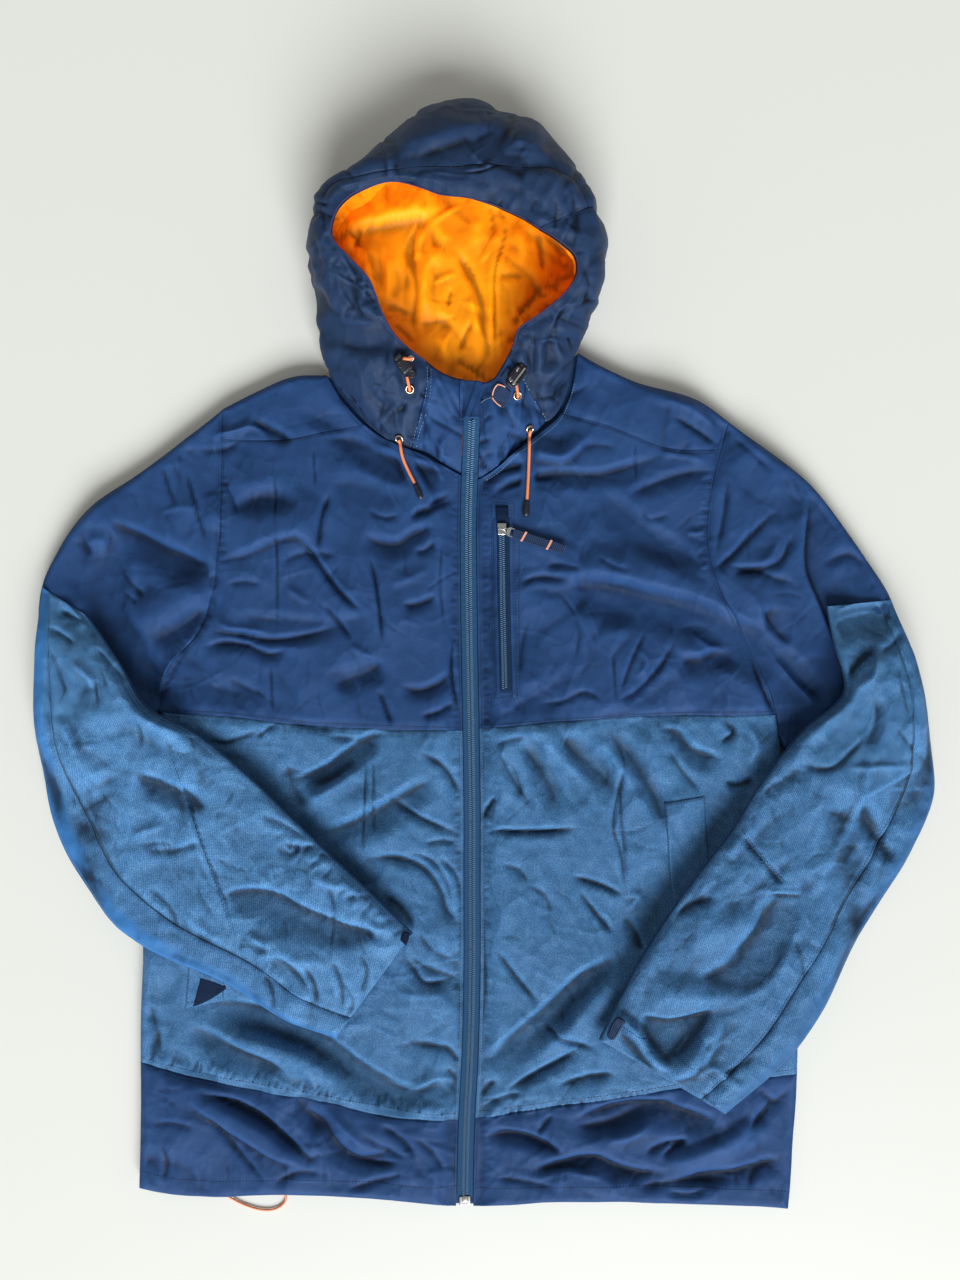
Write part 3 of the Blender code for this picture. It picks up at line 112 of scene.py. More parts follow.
HOOD = [
    # bearing  rim      brow      side      foot
    (205.0, 73, 65, 100, 62, 135, 28, 130, 0),
    (213.0, 74, 62, 100, 59, 135, 26, 142, 14),
    (221.0, 75, 59, 100, 55, 130, 32, 145, 14),
    (230.0, 76, 56, 100, 50, 128, 32, 147.5, 15),
    (240.0, 77, 51, 100, 45, 130, 28, 152.5, 15),
    (250.0, 79, 47, 102, 41, 132, 27, 156, 15),
    (260.0, 84, 43, 105, 38, 132, 26, 157, 15),
    (271.5, 89, 39, 110, 34, 142, 23, 173, 13),
    (277.0, 91, 38, 112, 33, 146, 22, 179, 13),
    (283.0, 95, 37, 115, 32, 146, 22, 172, 14),
    (291.0, 97, 39, 115, 34, 140, 24, 161, 15),
    (300.0, 90, 45, 110, 39, 134, 27, 154.5, 15),
    (310.0, 83, 51, 105, 44, 131, 29, 150.5, 15),
    (321.0, 76, 58, 100, 52, 124, 33, 139, 15),
    (332.0, 83, 63, 104, 58, 121, 33, 128, 14),
    (341.0, 92, 68, 110, 62, 127, 30, 121, 0),
    (350.0, 103, 73, 117, 68, 130, 35, 122, 0),
    (359.0, 111, 78, 123, 72, 132, 38, 124, 0),
    (366.0, 109, 80, 125, 75, 134, 40, 126, 0),
    (374.0, 97, 84, 126, 76, 140, 42, 132, 0),
    (384.0, 83, 86, 131, 80, 141, 44, 133, 0),
    (395.0, 74, 87, 135, 84, 147, 46, 138, 0),
    (404.0, 68, 88, 124, 90, 153, 45, 144, 0),
    (414.0, 64, 89, 106, 94, 157, 41, 148, 0),
    (425.0, 61, 90, 95, 97, 162, 36, 152, 0),
    (440.0, 60, 90, 87, 98, 163, 34, 153, 0),
    (451.0, 60, 90, 84, 98, 163, 34, 153, 0),
    (463.0, 64, 90, 87, 97, 155, 36, 146, 0),
    (475.0, 76, 90, 93, 95, 141, 40, 133, 0),
    (486.0, 91, 89, 101, 92, 134, 44, 127, 0),
    (496.0, 101, 87, 113, 89, 132, 50, 126, 0),
    (506.0, 112, 84, 132, 78, 141, 52, 133, 0),
    (517.0, 116, 81, 130, 78, 141, 45, 133, 0),
    (526.0, 111, 79, 123, 75, 139, 41, 131, 0),
    (533.0, 94, 76, 112, 73, 134, 39, 127, 0),
    (543.0, 78, 72, 105, 69, 132, 36, 126, 0),
    (555.0, 73, 68, 101, 65, 133, 32, 127, 0),
    (565.0, 73, 65, 100, 62, 135, 28, 130, 0),
]
CROWN_FROM, CROWN_TO = 384.0, 517.0
COLLAR_L_AT, COLLAR_R_AT = 255.0, 305.0

FINE = 1.95                      # spacing of the fine meshes, millimetres


# ---------------------------------------------------------------- curves, all taken on arrays
class Curve:
    def __init__(self, points):
        self.p = np.array(points, float)
        step = np.sqrt(((self.p[1:] - self.p[:-1]) ** 2).sum(1))
        self.s = np.concatenate([[0.0], np.cumsum(step)])
        self.m = np.zeros_like(self.p)
        for i in range(1, len(self.p) - 1):
            a, b = step[i - 1], step[i]
            self.m[i] = ((self.p[i] - self.p[i - 1]) / a * b + (self.p[i + 1] - self.p[i]) / b * a) / (a + b)
        self.m[0] = (self.p[1] - self.p[0]) / step[0]
        self.m[-1] = (self.p[-1] - self.p[-2]) / step[-1]

    def __call__(self, t):
        x = np.clip(np.atleast_1d(np.asarray(t, float)), 0, 1) * self.s[-1]
        i = np.clip(np.searchsorted(self.s, x, side="right") - 1, 0, len(self.p) - 2)
        h = (self.s[i + 1] - self.s[i])[:, None]
        u = (x - self.s[i])[:, None] / h
        return ((2 * u**3 - 3 * u**2 + 1) * self.p[i] + (u**3 - 2 * u**2 + u) * h * self.m[i]
                + (3 * u**2 - 2 * u**3) * self.p[i + 1] + (u**3 - u**2) * h * self.m[i + 1])


class Graph:
    def __init__(self, rows):
        rows = np.array(rows, float)
        self.k, self.v = rows[:, 0], rows[:, 1:]
        n = len(self.k)
        d = (self.v[1:] - self.v[:-1]) / (self.k[1:] - self.k[:-1])[:, None]
        self.m = np.zeros_like(self.v)
        for i in range(1, n - 1):
            a, b = self.k[i] - self.k[i - 1], self.k[i + 1] - self.k[i]
            self.m[i] = (d[i - 1] * b + d[i] * a) / (a + b)
        self.m[0], self.m[-1] = d[0], d[-1]

    def __call__(self, key):
        key = np.clip(np.asarray(key, float), self.k[0], self.k[-1])
        flat = key.ravel()
        i = np.clip(np.searchsorted(self.k, flat, side="right") - 1, 0, len(self.k) - 2)
        h = (self.k[i + 1] - self.k[i])[:, None]
        u = (flat - self.k[i])[:, None] / h
        out = ((2 * u**3 - 3 * u**2 + 1) * self.v[i] + (u**3 - 2 * u**2 + u) * h * self.m[i]
               + (3 * u**2 - 2 * u**3) * self.v[i + 1] + (u**3 - u**2) * h * self.m[i + 1])
        return out.reshape(key.shape) if out.shape[1] == 1 else out.reshape(key.shape + (out.shape[1],))


def part_of(curve, a, b):
    return lambda t: curve(a + (b - a) * np.atleast_1d(t))


def chain(first, second, split):
    def edge(t):
        t = np.atleast_1d(t)
        return np.where((t < split)[:, None], first(np.minimum(t / split, 1)), second(np.maximum((t - split) / (1 - split), 0)))
    return edge


def upright(graph, y0, y1, shift=0.0):
    def edge(t):
        y = y0 + (y1 - y0) * np.atleast_1d(t)
        return np.stack([graph(y) + shift, y], 1)
    return edge


def coons(bottom, top, left, right):
    """Plan grid between four edges, on arrays of u and v: [v][u][xy]."""
    c00, c10, c01, c11 = bottom(0)[0], bottom(1)[0], top(0)[0], top(1)[0]

    def plan(us, vs):
        u, v = np.asarray(us, float)[None, :, None], np.asarray(vs, float)[:, None, None]
        return ((1 - v) * bottom(us)[None] + v * top(us)[None] + (1 - u) * left(vs)[:, None] + u * right(vs)[:, None]
                - ((1 - u) * (1 - v) * c00 + u * (1 - v) * c10 + (1 - u) * v * c01 + u * v * c11))
    return plan


def run(edge, n=40):
    return float(np.linalg.norm(np.diff(edge(np.linspace(0, 1, n)), axis=0), axis=1).sum())


def stations(length, step=FINE, near=(0.3, 0.9, 1.9)):
    """Fractions along an edge: every step, and closer by its two ends."""
    n = max(int(round(length / step)), 4)
    t = np.linspace(0, 1, n + 1)
    e = np.array(near) / length
    return np.unique(np.round(np.concatenate([t, e, 1 - e]), 7))


def draw_in(g, gap=SEAM_GAP / 2):
    mid = g.reshape(-1, 2).mean(0)
    moved = g.copy()
    for get, put in ((g[0], moved[0]), (g[-1], moved[-1]), (g[:, 0], moved[:, 0]), (g[:, -1], moved[:, -1])):
        t = np.gradient(get, axis=0)
        n = np.stack([-t[:, 1], t[:, 0]], 1)
        n /= np.maximum(np.linalg.norm(n, axis=1), 1e-9)[:, None]
        put += n * np.sign(((mid - get) * n).sum(1).sum()) * gap
    return moved


def to_edges(g):
    du = np.linalg.norm(np.diff(g, axis=1), axis=2)
    dv = np.linalg.norm(np.diff(g, axis=0), axis=2)
    left = np.concatenate([np.zeros((g.shape[0], 1)), np.cumsum(du, 1)], 1)
    low = np.concatenate([np.zeros((1, g.shape[1])), np.cumsum(dv, 0)], 0)
    return {"left": left, "right": left[:, -1:] - left, "low": low, "high": low[-1:, :] - low}


def quarter(d, r):
    k = 1 - np.clip(d / r, 0, 1)
    return np.sqrt(np.maximum(1 - k * k, 0))


def ease(x):
    x = np.clip(x, 0, 1)
    return x * x * (3 - 2 * x)


def seen(x, y, z):
    """Where a table-frame point is in the reference view's 960 by 1280 frame."""
    k = PX * (1 - z / EYE[2])
    return 480 + (x - EYE[0]) / k, 640 - (y - EYE[1]) / k


def at(px, py, z=14.0):
    """Table-frame plan point at height z under a point of the reference view."""
    k = PX * (1 - z / EYE[2])
    return EYE[0] + (px - 480) * k, EYE[1] + (640 - py) * k


# ---------------------------------------------------------------- crease fields
REACH = 1.3


class Field:
    """Height over the reference frame, in millimetres, on a raster of STEP units."""
    STEP = 1.0

    def __init__(self):
        self.w, self.h = int(1000 / self.STEP), int(1320 / self.STEP)
        self.a = np.zeros((self.h, self.w), np.float32)

    def stroke(self, points, height, left, right, crest=1.2, ends=0.3, power=1.5):
        """Ridge (or trough, if negative) along a smooth line; left and right are how far it runs out
        on either side of the line as it is walked, crest how round its top is, ends the share of
        its length over which it dies away."""
        c = Curve(points)
        n = max(int(c.s[-1] / 3.5), 8)
        t = np.linspace(0, 1, n)
        p = c(t)
        reach = max(left, right) * REACH + 2
        x0, x1 = p[:, 0].min() - reach, p[:, 0].max() + reach
        y0, y1 = p[:, 1].min() - reach, p[:, 1].max() + reach
        i0, i1 = max(int(x0 / self.STEP), 0), min(int(x1 / self.STEP) + 2, self.w)
        j0, j1 = max(int(y0 / self.STEP), 0), min(int(y1 / self.STEP) + 2, self.h)
        if i1 <= i0 or j1 <= j0:
            return
        X, Y = np.meshgrid(np.arange(i0, i1) * self.STEP, np.arange(j0, j1) * self.STEP)
        best = np.full(X.shape, 1e9)
        side = np.zeros(X.shape)
        tt = np.zeros(X.shape)
        for k in range(n - 1):
            a, b = p[k], p[k + 1]
            ab = b - a
            q = np.clip(((X - a[0]) * ab[0] + (Y - a[1]) * ab[1]) / (ab @ ab + 1e-9), 0, 1)
            dx, dy = X - a[0] - q * ab[0], Y - a[1] - q * ab[1]
            d = dx * dx + dy * dy
            m = d < best
            best = np.where(m, d, best)
            side = np.where(m, ab[0] * (Y - a[1]) - ab[1] * (X - a[0]), side)
            tt = np.where(m, (k + q) / (n - 1), tt)
        d = np.sqrt(best)
        thin = float(np.clip((16 - max(left, right)) / 8, 0, 1))
        height, crest, power = height * (1 - 0.36 * thin), crest * (1 - 0.4 * thin), power + 1.0 * thin
        wide = np.where(side > 0, right, left)
        wide = wide * np.where(wide > 9, REACH, 1.15)
        fall = np.clip((np.sqrt(d * d + crest * crest) - crest) / wide, 0, 1)
        broad = 0.65 * np.clip((wide - 12) / 16, 0, 1)
        f = (1 - broad) * (1 - fall) ** power + broad * (1 - ease(fall))
        taper = ease(tt / ends) * ease((1 - tt) / ends) if ends > 0 else 1.0
        self.a[j0:j1, i0:i1] += (height * f * taper).astype(np.float32)

    def small(self, x, y, angle, length, height, wide, narrow):
        """One short straight crease, steeper on one side."""
        reach = 0.5 * length + max(wide, narrow)
        i0, i1 = max(int((x - reach) / self.STEP), 0), min(int((x + reach) / self.STEP) + 2, self.w)
        j0, j1 = max(int((y - reach) / self.STEP), 0), min(int((y + reach) / self.STEP) + 2, self.h)
        if i1 <= i0 + 1 or j1 <= j0 + 1:
            return
        X, Y = np.meshgrid(np.arange(i0, i1) * self.STEP - x, np.arange(j0, j1) * self.STEP - y)
        c, s = math.cos(angle), math.sin(angle)
        a, d = X * c + Y * s, -X * s + Y * c
        d = d + 0.04 * length * np.sin(a * 5.0 / length + x)
        w = np.where(d > 0, wide, narrow)
        along = np.clip(1 - np.abs(a) / (0.5 * length), 0, 1)
        f = np.clip(1 - (np.sqrt(d * d + 0.5) - 0.707) / w, 0, 1) ** 1.6
        self.a[j0:j1, i0:i1] += (height * f * ease(along * 1.6)).astype(np.float32)

    def __call__(self, px, py):
        x, y = np.clip(px / self.STEP, 0, self.w - 1.001), np.clip(py / self.STEP, 0, self.h - 1.001)
        i, j = x.astype(int), y.astype(int)
        u, v = x - i, y - j
        a = self.a
        return ((1 - v) * ((1 - u) * a[j, i] + u * a[j, i + 1]) + v * ((1 - u) * a[j + 1, i] + u * a[j + 1, i + 1]))


def value_noise(seed, shape, cells, octaves=3, gain=0.5):
    """Smooth noise on a raster, about -1 to 1."""
    rng = np.random.default_rng(seed)
    out = np.zeros(shape)
    amp = 1.0
    for o in range(octaves):
        n = (max(int(cells[0] * 2**o), 2), max(int(cells[1] * 2**o), 2))
        g = rng.uniform(-1, 1, (n[0] + 3, n[1] + 3))
        y, x = np.linspace(0, n[0], shape[0]), np.linspace(0, n[1], shape[1])
        j, i = y.astype(int), x.astype(int)
        v, u = ease(y - j)[:, None], ease(x - i)[None, :]
        out += amp * ((1 - v) * ((1 - u) * g[j][:, i] + u * g[j][:, i + 1]) + v * ((1 - u) * g[j + 1][:, i] + u * g[j + 1][:, i + 1]))
        amp *= gain
    return out


def crumple(field, seed, box, count, lengths, heights, widths, way=None, spread=1.6):
    """Many small creases, lying mostly along a way (degrees) or anyhow, over a box of the frame."""
    rng = np.random.default_rng(seed)
    for _ in range(count):
        x, y = rng.uniform(box[0], box[2]), rng.uniform(box[1], box[3])
        a = rng.uniform(0, math.pi) if way is None else math.radians(way) + rng.normal(0, spread * 0.3)
        L = rng.uniform(*lengths) * (1 + rng.random() ** 3)
        h = rng.uniform(*heights) * (1 if rng.random() < 0.5 else -1)
        w = rng.uniform(*widths)
        field.small(x, y, a, L, h, w, w * rng.uniform(0.25, 0.9))


def facets(field, seed, box, count, size, slope, stretch=(1.4, 3.2), way=None, spread=0.5, soft=1):
    """Cloth crumpled into flat facets with straight ridges and valleys between them: the upper
    envelope of many low, long, turned pyramids, patchy as real crumpling is."""
    rng = np.random.default_rng(seed)
    env = np.full(field.a.shape, -1e3, np.float32)
    for _ in range(count):
        x, y = rng.uniform(box[0], box[2]), rng.uniform(box[1], box[3])
        a = rng.uniform(0, math.pi) if way is None else math.radians(way) + rng.normal(0, spread)
        w = rng.uniform(*size)
        k = rng.uniform(*stretch)
        s1 = slope * rng.uniform(0.5, 1.5)
        top = s1 * w * rng.uniform(0.5, 1.0)
        R = w * k * 1.6
        i0, i1 = max(int((x - R) / field.STEP), 0), min(int((x + R) / field.STEP) + 2, field.w)
        j0, j1 = max(int((y - R) / field.STEP), 0), min(int((y + R) / field.STEP) + 2, field.h)
        if i1 <= i0 + 1 or j1 <= j0 + 1:
            continue
        X, Y = np.meshgrid(np.arange(i0, i1) * field.STEP - x, np.arange(j0, j1) * field.STEP - y)
        c, s = math.cos(a), math.sin(a)
        u, v = X * c + Y * s, -X * s + Y * c
        q = rng.uniform(0.5, 1.6)
        f = top - s1 * np.maximum(np.abs(u) / k, np.where(v > 0, v * q, -v / q))
        env[j0:j1, i0:i1] = np.maximum(env[j0:j1, i0:i1], f)
    env = np.maximum(env, -slope * size[1])
    for _ in range(soft):
        env = 0.25 * (np.roll(env, 1, 0) + np.roll(env, -1, 0) + np.roll(env, 1, 1) + np.roll(env, -1, 1)) * 0.8 + env * 0.2
    m = (np.arange(field.h)[:, None] * field.STEP > box[1]) & (np.arange(field.h)[:, None] * field.STEP < box[3])
    n = (np.arange(field.w)[None, :] * field.STEP > box[0]) & (np.arange(field.w)[None, :] * field.STEP < box[2])
    inside = (m & n).astype(np.float32)
    r = max(int(10 / field.STEP), 1)
    for ax in (0, 1):
        c = np.cumsum(inside, axis=ax)
        inside = (np.roll(c, -r, ax) - np.roll(c, r, ax)) / (2 * r)
    inside = np.clip(inside, 0, 1)
    patchy = np.clip(0.75 + 0.6 * value_noise(seed + 500, env.shape, (9, 7), 2), 0.15, 1.5)
    mean = float(env[inside > 0.5].mean())
    field.a += ((env - mean) * inside * patchy).astype(np.float32)


def pucker(field, seed, line, pitch, reach, height, side=0, width=(2.0, 4.5)):
    """Short creases drawn up across a seam; side is 1 or -1 for one side of it, 0 for both."""
    rng = np.random.default_rng(seed)
    c = Curve(line)
    s = 0.0
    while s < c.s[-1]:
        t = s / c.s[-1]
        p, q = c(t)[0], c(min(t + 0.01, 1))[0] if t < 0.99 else c(1)[0]
        if t >= 0.99:
            p, q = c(0.98)[0], c(1)[0]
        a = math.atan2(q[1] - p[1], q[0] - p[0]) + math.pi / 2 + rng.normal(0, 0.25)
        L = rng.uniform(0.5, 1.3) * reach
        k = side if side else rng.choice([-1, 1])
        off = 0.32 * L * k
        h = height * rng.uniform(0.4, 1.2) * (1 if rng.random() < 0.7 else -1)
        w = rng.uniform(*width)
        field.small(p[0] + math.cos(a) * off, p[1] + math.sin(a) * off, a, L, h, w, w * rng.uniform(0.5, 1))
        s += pitch * rng.uniform(0.5, 1.5)


front_f, fore_f, hood_f, lining_f, back_f = Field(), Field(), Field(), Field(), Field()

# STROKES-BEGIN
DEEP = 4.2
# creases, each read in a window of the reference frame (left, top, enlargement):
# line, height (less than 0 is a trough), reach to the left and right as the line is walked, roundness
WIN_A, WIN_B, WIN_C, WIN_D = (20, 380, 3.409), (460, 380, 3.2), (130, 700, 3.046), (460, 700, 3.046)
CHEST_LEFT = [
    ([(290, 480), (400, 530), (520, 590), (600, 622), (668, 642)], -3.4, 6, 24, 1.0),
    ([(235, 500), (300, 590), (288, 700), (290, 800), (340, 900), (430, 1040), (470, 1110)], -5.0, 20, 17, 2.5),
    ([(215, 560), (262, 548), (305, 560)], 2.0, 10, 14, 1.0),
    ([(330, 640), (380, 700), (425, 745)], -1.8, 5, 7, 0.8),
    ([(340, 720), (375, 745), (400, 765)], -1.2, 4, 5, 0.8),
    ([(340, 860), (450, 795), (560, 745), (655, 700)], 2.2, 18, 14, 5.0),
    ([(420, 905), (500, 870), (580, 820), (650, 750)], -2.4, 10, 14, 1.5),
    ([(560, 915), (520, 960), (490, 1020), (470, 1090)], 2.0, 5, 10, 0.8),
    ([(330, 930), (420, 960), (470, 1010)], -1.6, 8, 9, 1.0),
    ([(690, 600), (790, 560), (880, 520), (945, 512), (1010, 560)], 3.0, 32, 8, 1.0),
    ([(700, 470), (760, 425), (850, 400), (940, 420)], -1.2, 14, 18, 2.0),
    ([(945, 522), (1010, 610), (1090, 720), (1172, 802)], -2.8, 5, 9, 0.7),
    ([(925, 500), (1000, 585), (1080, 690), (1160, 780)], 1.2, 8, 5, 1.5),
    ([(1030, 760), (1085, 825), (1132, 884)], -1.7, 4, 7, 0.7),
    ([(1188, 580), (1212, 700), (1236, 905)], -1.9, 6, 4, 0.7),
    ([(1062, 370), (1032, 450), (1014, 590)], -1.7, 8, 5, 0.9),
    ([(862, 250), (870, 440), (876, 650), (872, 880)], -0.8, 3, 3, 0.5),
    ([(1000, 225), (1006, 370)], -0.7, 3, 3, 0.5),
    ([(852, 960), (862, 1140)], -0.9, 3, 4, 0.5),
    ([(630, 858), (740, 868), (850, 886), (980, 870), (1112, 832)], -2.2, 6, 10, 0.8),
    ([(615, 915), (700, 896), (770, 905), (850, 935), (930, 915)], -2.0, 5, 11, 0.9),
    ([(650, 800), (700, 840), (780, 850), (850, 862)], 1.0, 7, 5, 1.0),
    ([(700, 1010), (790, 1060), (850, 1080)], -0.9, 8, 10, 1.5),
    ([(1322, 480), (1395, 425), (1470, 385)], -2.2, 6, 10, 0.9),
    ([(1165, 520), (1220, 555), (1290, 560), (1345, 525), (1425, 500)], -2.2, 8, 14, 1.2),
    ([(1340, 590), (1380, 580), (1420, 550)], -1.4, 7, 9, 1.2),
    ([(1295, 770), (1350, 765), (1425, 735)], -1.6, 5, 11, 1.2),
    ([(1250, 700), (1320, 680), (1400, 640)], 1.0, 10, 8, 2.0),
    ([(1060, 1050), (1130, 1022), (1210, 985), (1245, 955)], -2.0, 8, 15, 1.2),
    ([(1218, 1050), (1240, 1110), (1268, 1182)], -1.9, 8, 4, 0.7),
    ([(1290, 1040), (1350, 1060), (1420, 1040), (1490, 985)], -1.9, 7, 12, 1.0),
    ([(1360, 1150), (1430, 1130), (1490, 1095)], -1.5, 6, 9, 0.9),
    ([(1478, 880), (1470, 985), (1500, 1150)], -1.8, 3, 5, 0.7),
    ([(1440, 520), (1432, 700), (1450, 860)], -0.8, 4, 4, 0.7),
    ([(1010, 205), (1120, 208), (1250, 268), (1370, 302), (1480, 322)], -3.2, 7, 18, 1.5),
    ([(1380, 250), (1420, 300), (1450, 350)], 1.2, 7, 6, 1.0),
    ([(780, 135), (860, 172), (935, 212)], -2.2, 7, 12, 0.9),
    ([(640, 195), (730, 175), (800, 160), (850, 205)], 1.6, 9, 7, 0.9),
    ([(600, 240), (700, 235), (760, 200)], -1.1, 6, 9, 1.0),
    ([(480, 290), (520, 400), (540, 440)], -0.9, 6, 5, 0.8),
    ([(560, 300), (590, 400), (640, 570)], -1.0, 6, 5, 0.8),
    ([(470, 455), (560, 435), (610, 440)], 0.9, 6, 6, 0.9),
    ([(690, 330), (730, 420), (745, 470)], -0.9, 5, 6, 0.8),
    ([(880, 640), (940, 600), (1010, 590), (1100, 610)], -1.0, 7, 9, 1.0),
    ([(1180, 440), (1240, 470), (1300, 460)], -1.0, 6, 8, 0.9),
    ([(900, 700), (960, 745), (1000, 760)], 0.8, 7, 7, 1.0),
    ([(1120, 900), (1170, 935), (1215, 945)], 1.0, 8, 6, 1.0),
    ([(700, 700), (760, 690), (830, 700)], -0.8, 6, 8, 1.0),
]
CHEST_RIGHT = [
    ([(70, 300), (140, 252), (230, 233), (330, 246), (390, 200), (445, 158)], 2.4, 14, 7, 0.9),
    ([(60, 345), (125, 292), (240, 262)], -2.4, 5, 10, 0.9),
    ([(60, 210), (110, 190), (170, 195)], -1.6, 6, 8, 0.9),
    ([(90, 130), (130, 110), (200, 140)], -1.6, 6, 10, 0.9),
    ([(60, 402), (160, 335), (300, 302), (450, 302), (560, 272), (665, 240)], -2.2, 7, 14, 1.1),
    ([(110, 372), (220, 332), (330, 322)], 1.0, 6, 8, 1.2),
    ([(425, 325), (520, 420), (620, 500), (720, 562), (800, 602)], -2.4, 10, 20, 2.0),
    ([(520, 380), (630, 330), (720, 300), (830, 292)], -1.4, 8, 12, 1.2),
    ([(560, 180), (566, 330)], -0.7, 3, 3, 0.5),
    ([(670, 110), (760, 160), (835, 212)], -1.6, 8, 8, 1.0),
    ([(600, 60), (700, 80), (780, 120), (840, 170)], 1.2, 12, 7, 1.5),
    ([(620, 230), (700, 240), (800, 262)], 1.0, 7, 7, 1.0),
    ([(210, 728), (320, 680), (420, 668), (530, 690), (640, 712), (760, 752), (860, 800), (960, 860), (1060, 930), (1150, 1030)], -4.2, 14, 30, 2.0),
    ([(330, 560), (460, 600), (600, 640), (760, 690), (830, 720)], 1.4, 22, 16, 6.0),
    ([(185, 655), (245, 632), (360, 642)], -1.6, 6, 9, 0.9),
    ([(260, 600), (330, 590), (400, 612)], -1.0, 6, 8, 1.0),
    ([(430, 560), (500, 600), (560, 610)], -0.9, 6, 7, 1.0),
    ([(1130, 355), (1120, 470), (1120, 600), (1178, 740), (1238, 890)], -3.6, 26, 5, 0.9),
    ([(1105, 380), (1100, 500), (1085, 560)], 1.2, 6, 10, 1.5),
    ([(1012, 420), (930, 500), (850, 580), (800, 612)], -1.9, 8, 5, 0.8),
    ([(1085, 470), (1010, 590), (935, 605), (840, 592)], -1.5, 9, 5, 0.9),
    ([(1030, 500), (1000, 560), (940, 600)], 1.0, 5, 7, 0.9),
    ([(850, 640), (930, 610), (1020, 640), (1085, 655)], -1.4, 8, 12, 1.2),
    ([(960, 720), (1000, 780), (1060, 850)], -1.6, 12, 8, 1.5),
    ([(900, 660), (950, 720), (980, 800)], 1.6, 10, 10, 2.0),
    ([(600, 790), (550, 900), (510, 1010)], -1.1, 6, 4, 0.8),
    ([(700, 820), (630, 930), (560, 1000), (480, 1038)], -1.4, 8, 5, 0.8),
    ([(490, 860), (495, 960), (500, 1040)], -0.8, 4, 4, 0.6),
    ([(730, 800), (800, 850), (880, 870)], 1.3, 8, 10, 1.0),
    ([(690, 895), (765, 900), (850, 885), (895, 925)], -2.6, 8, 18, 1.2),
    ([(690, 800), (770, 790), (830, 820), (850, 870)], -1.2, 6, 9, 1.0),
    ([(930, 822), (958, 960), (1012, 1085)], -2.6, 6, 6, 0.8),
    ([(940, 800), (1010, 890), (1090, 990), (1150, 1070)], 1.6, 9, 9, 1.5),
    ([(1010, 860), (1100, 960), (1180, 1050)], -2.0, 12, 8, 1.5),
    ([(240, 1040), (330, 1030), (400, 1000), (470, 1040)], -1.0, 6, 8, 0.9),
    ([(220, 760), (200, 850), (190, 960)], -0.7, 5, 5, 1.0),
    ([(350, 740), (380, 800), (370, 900)], -0.7, 6, 6, 1.2),
    ([(560, 850), (600, 900), (560, 960)], 0.8, 6, 6, 1.0),
    ([(1160, 600), (1240, 560), (1330, 610)], -1.2, 8, 10, 1.2),
    ([(870, 180), (930, 230), (1000, 300)], -0.9, 8, 6, 1.2),
    ([(860, 300), (850, 420), (820, 560)], -1.3, 8, 5, 0.9),
    ([(720, 480), (760, 490), (795, 470)], 1.2, 6, 6, 0.8),
    ([(580, 390), (600, 440), (680, 430)], -1.0, 6, 8, 1.0),
]
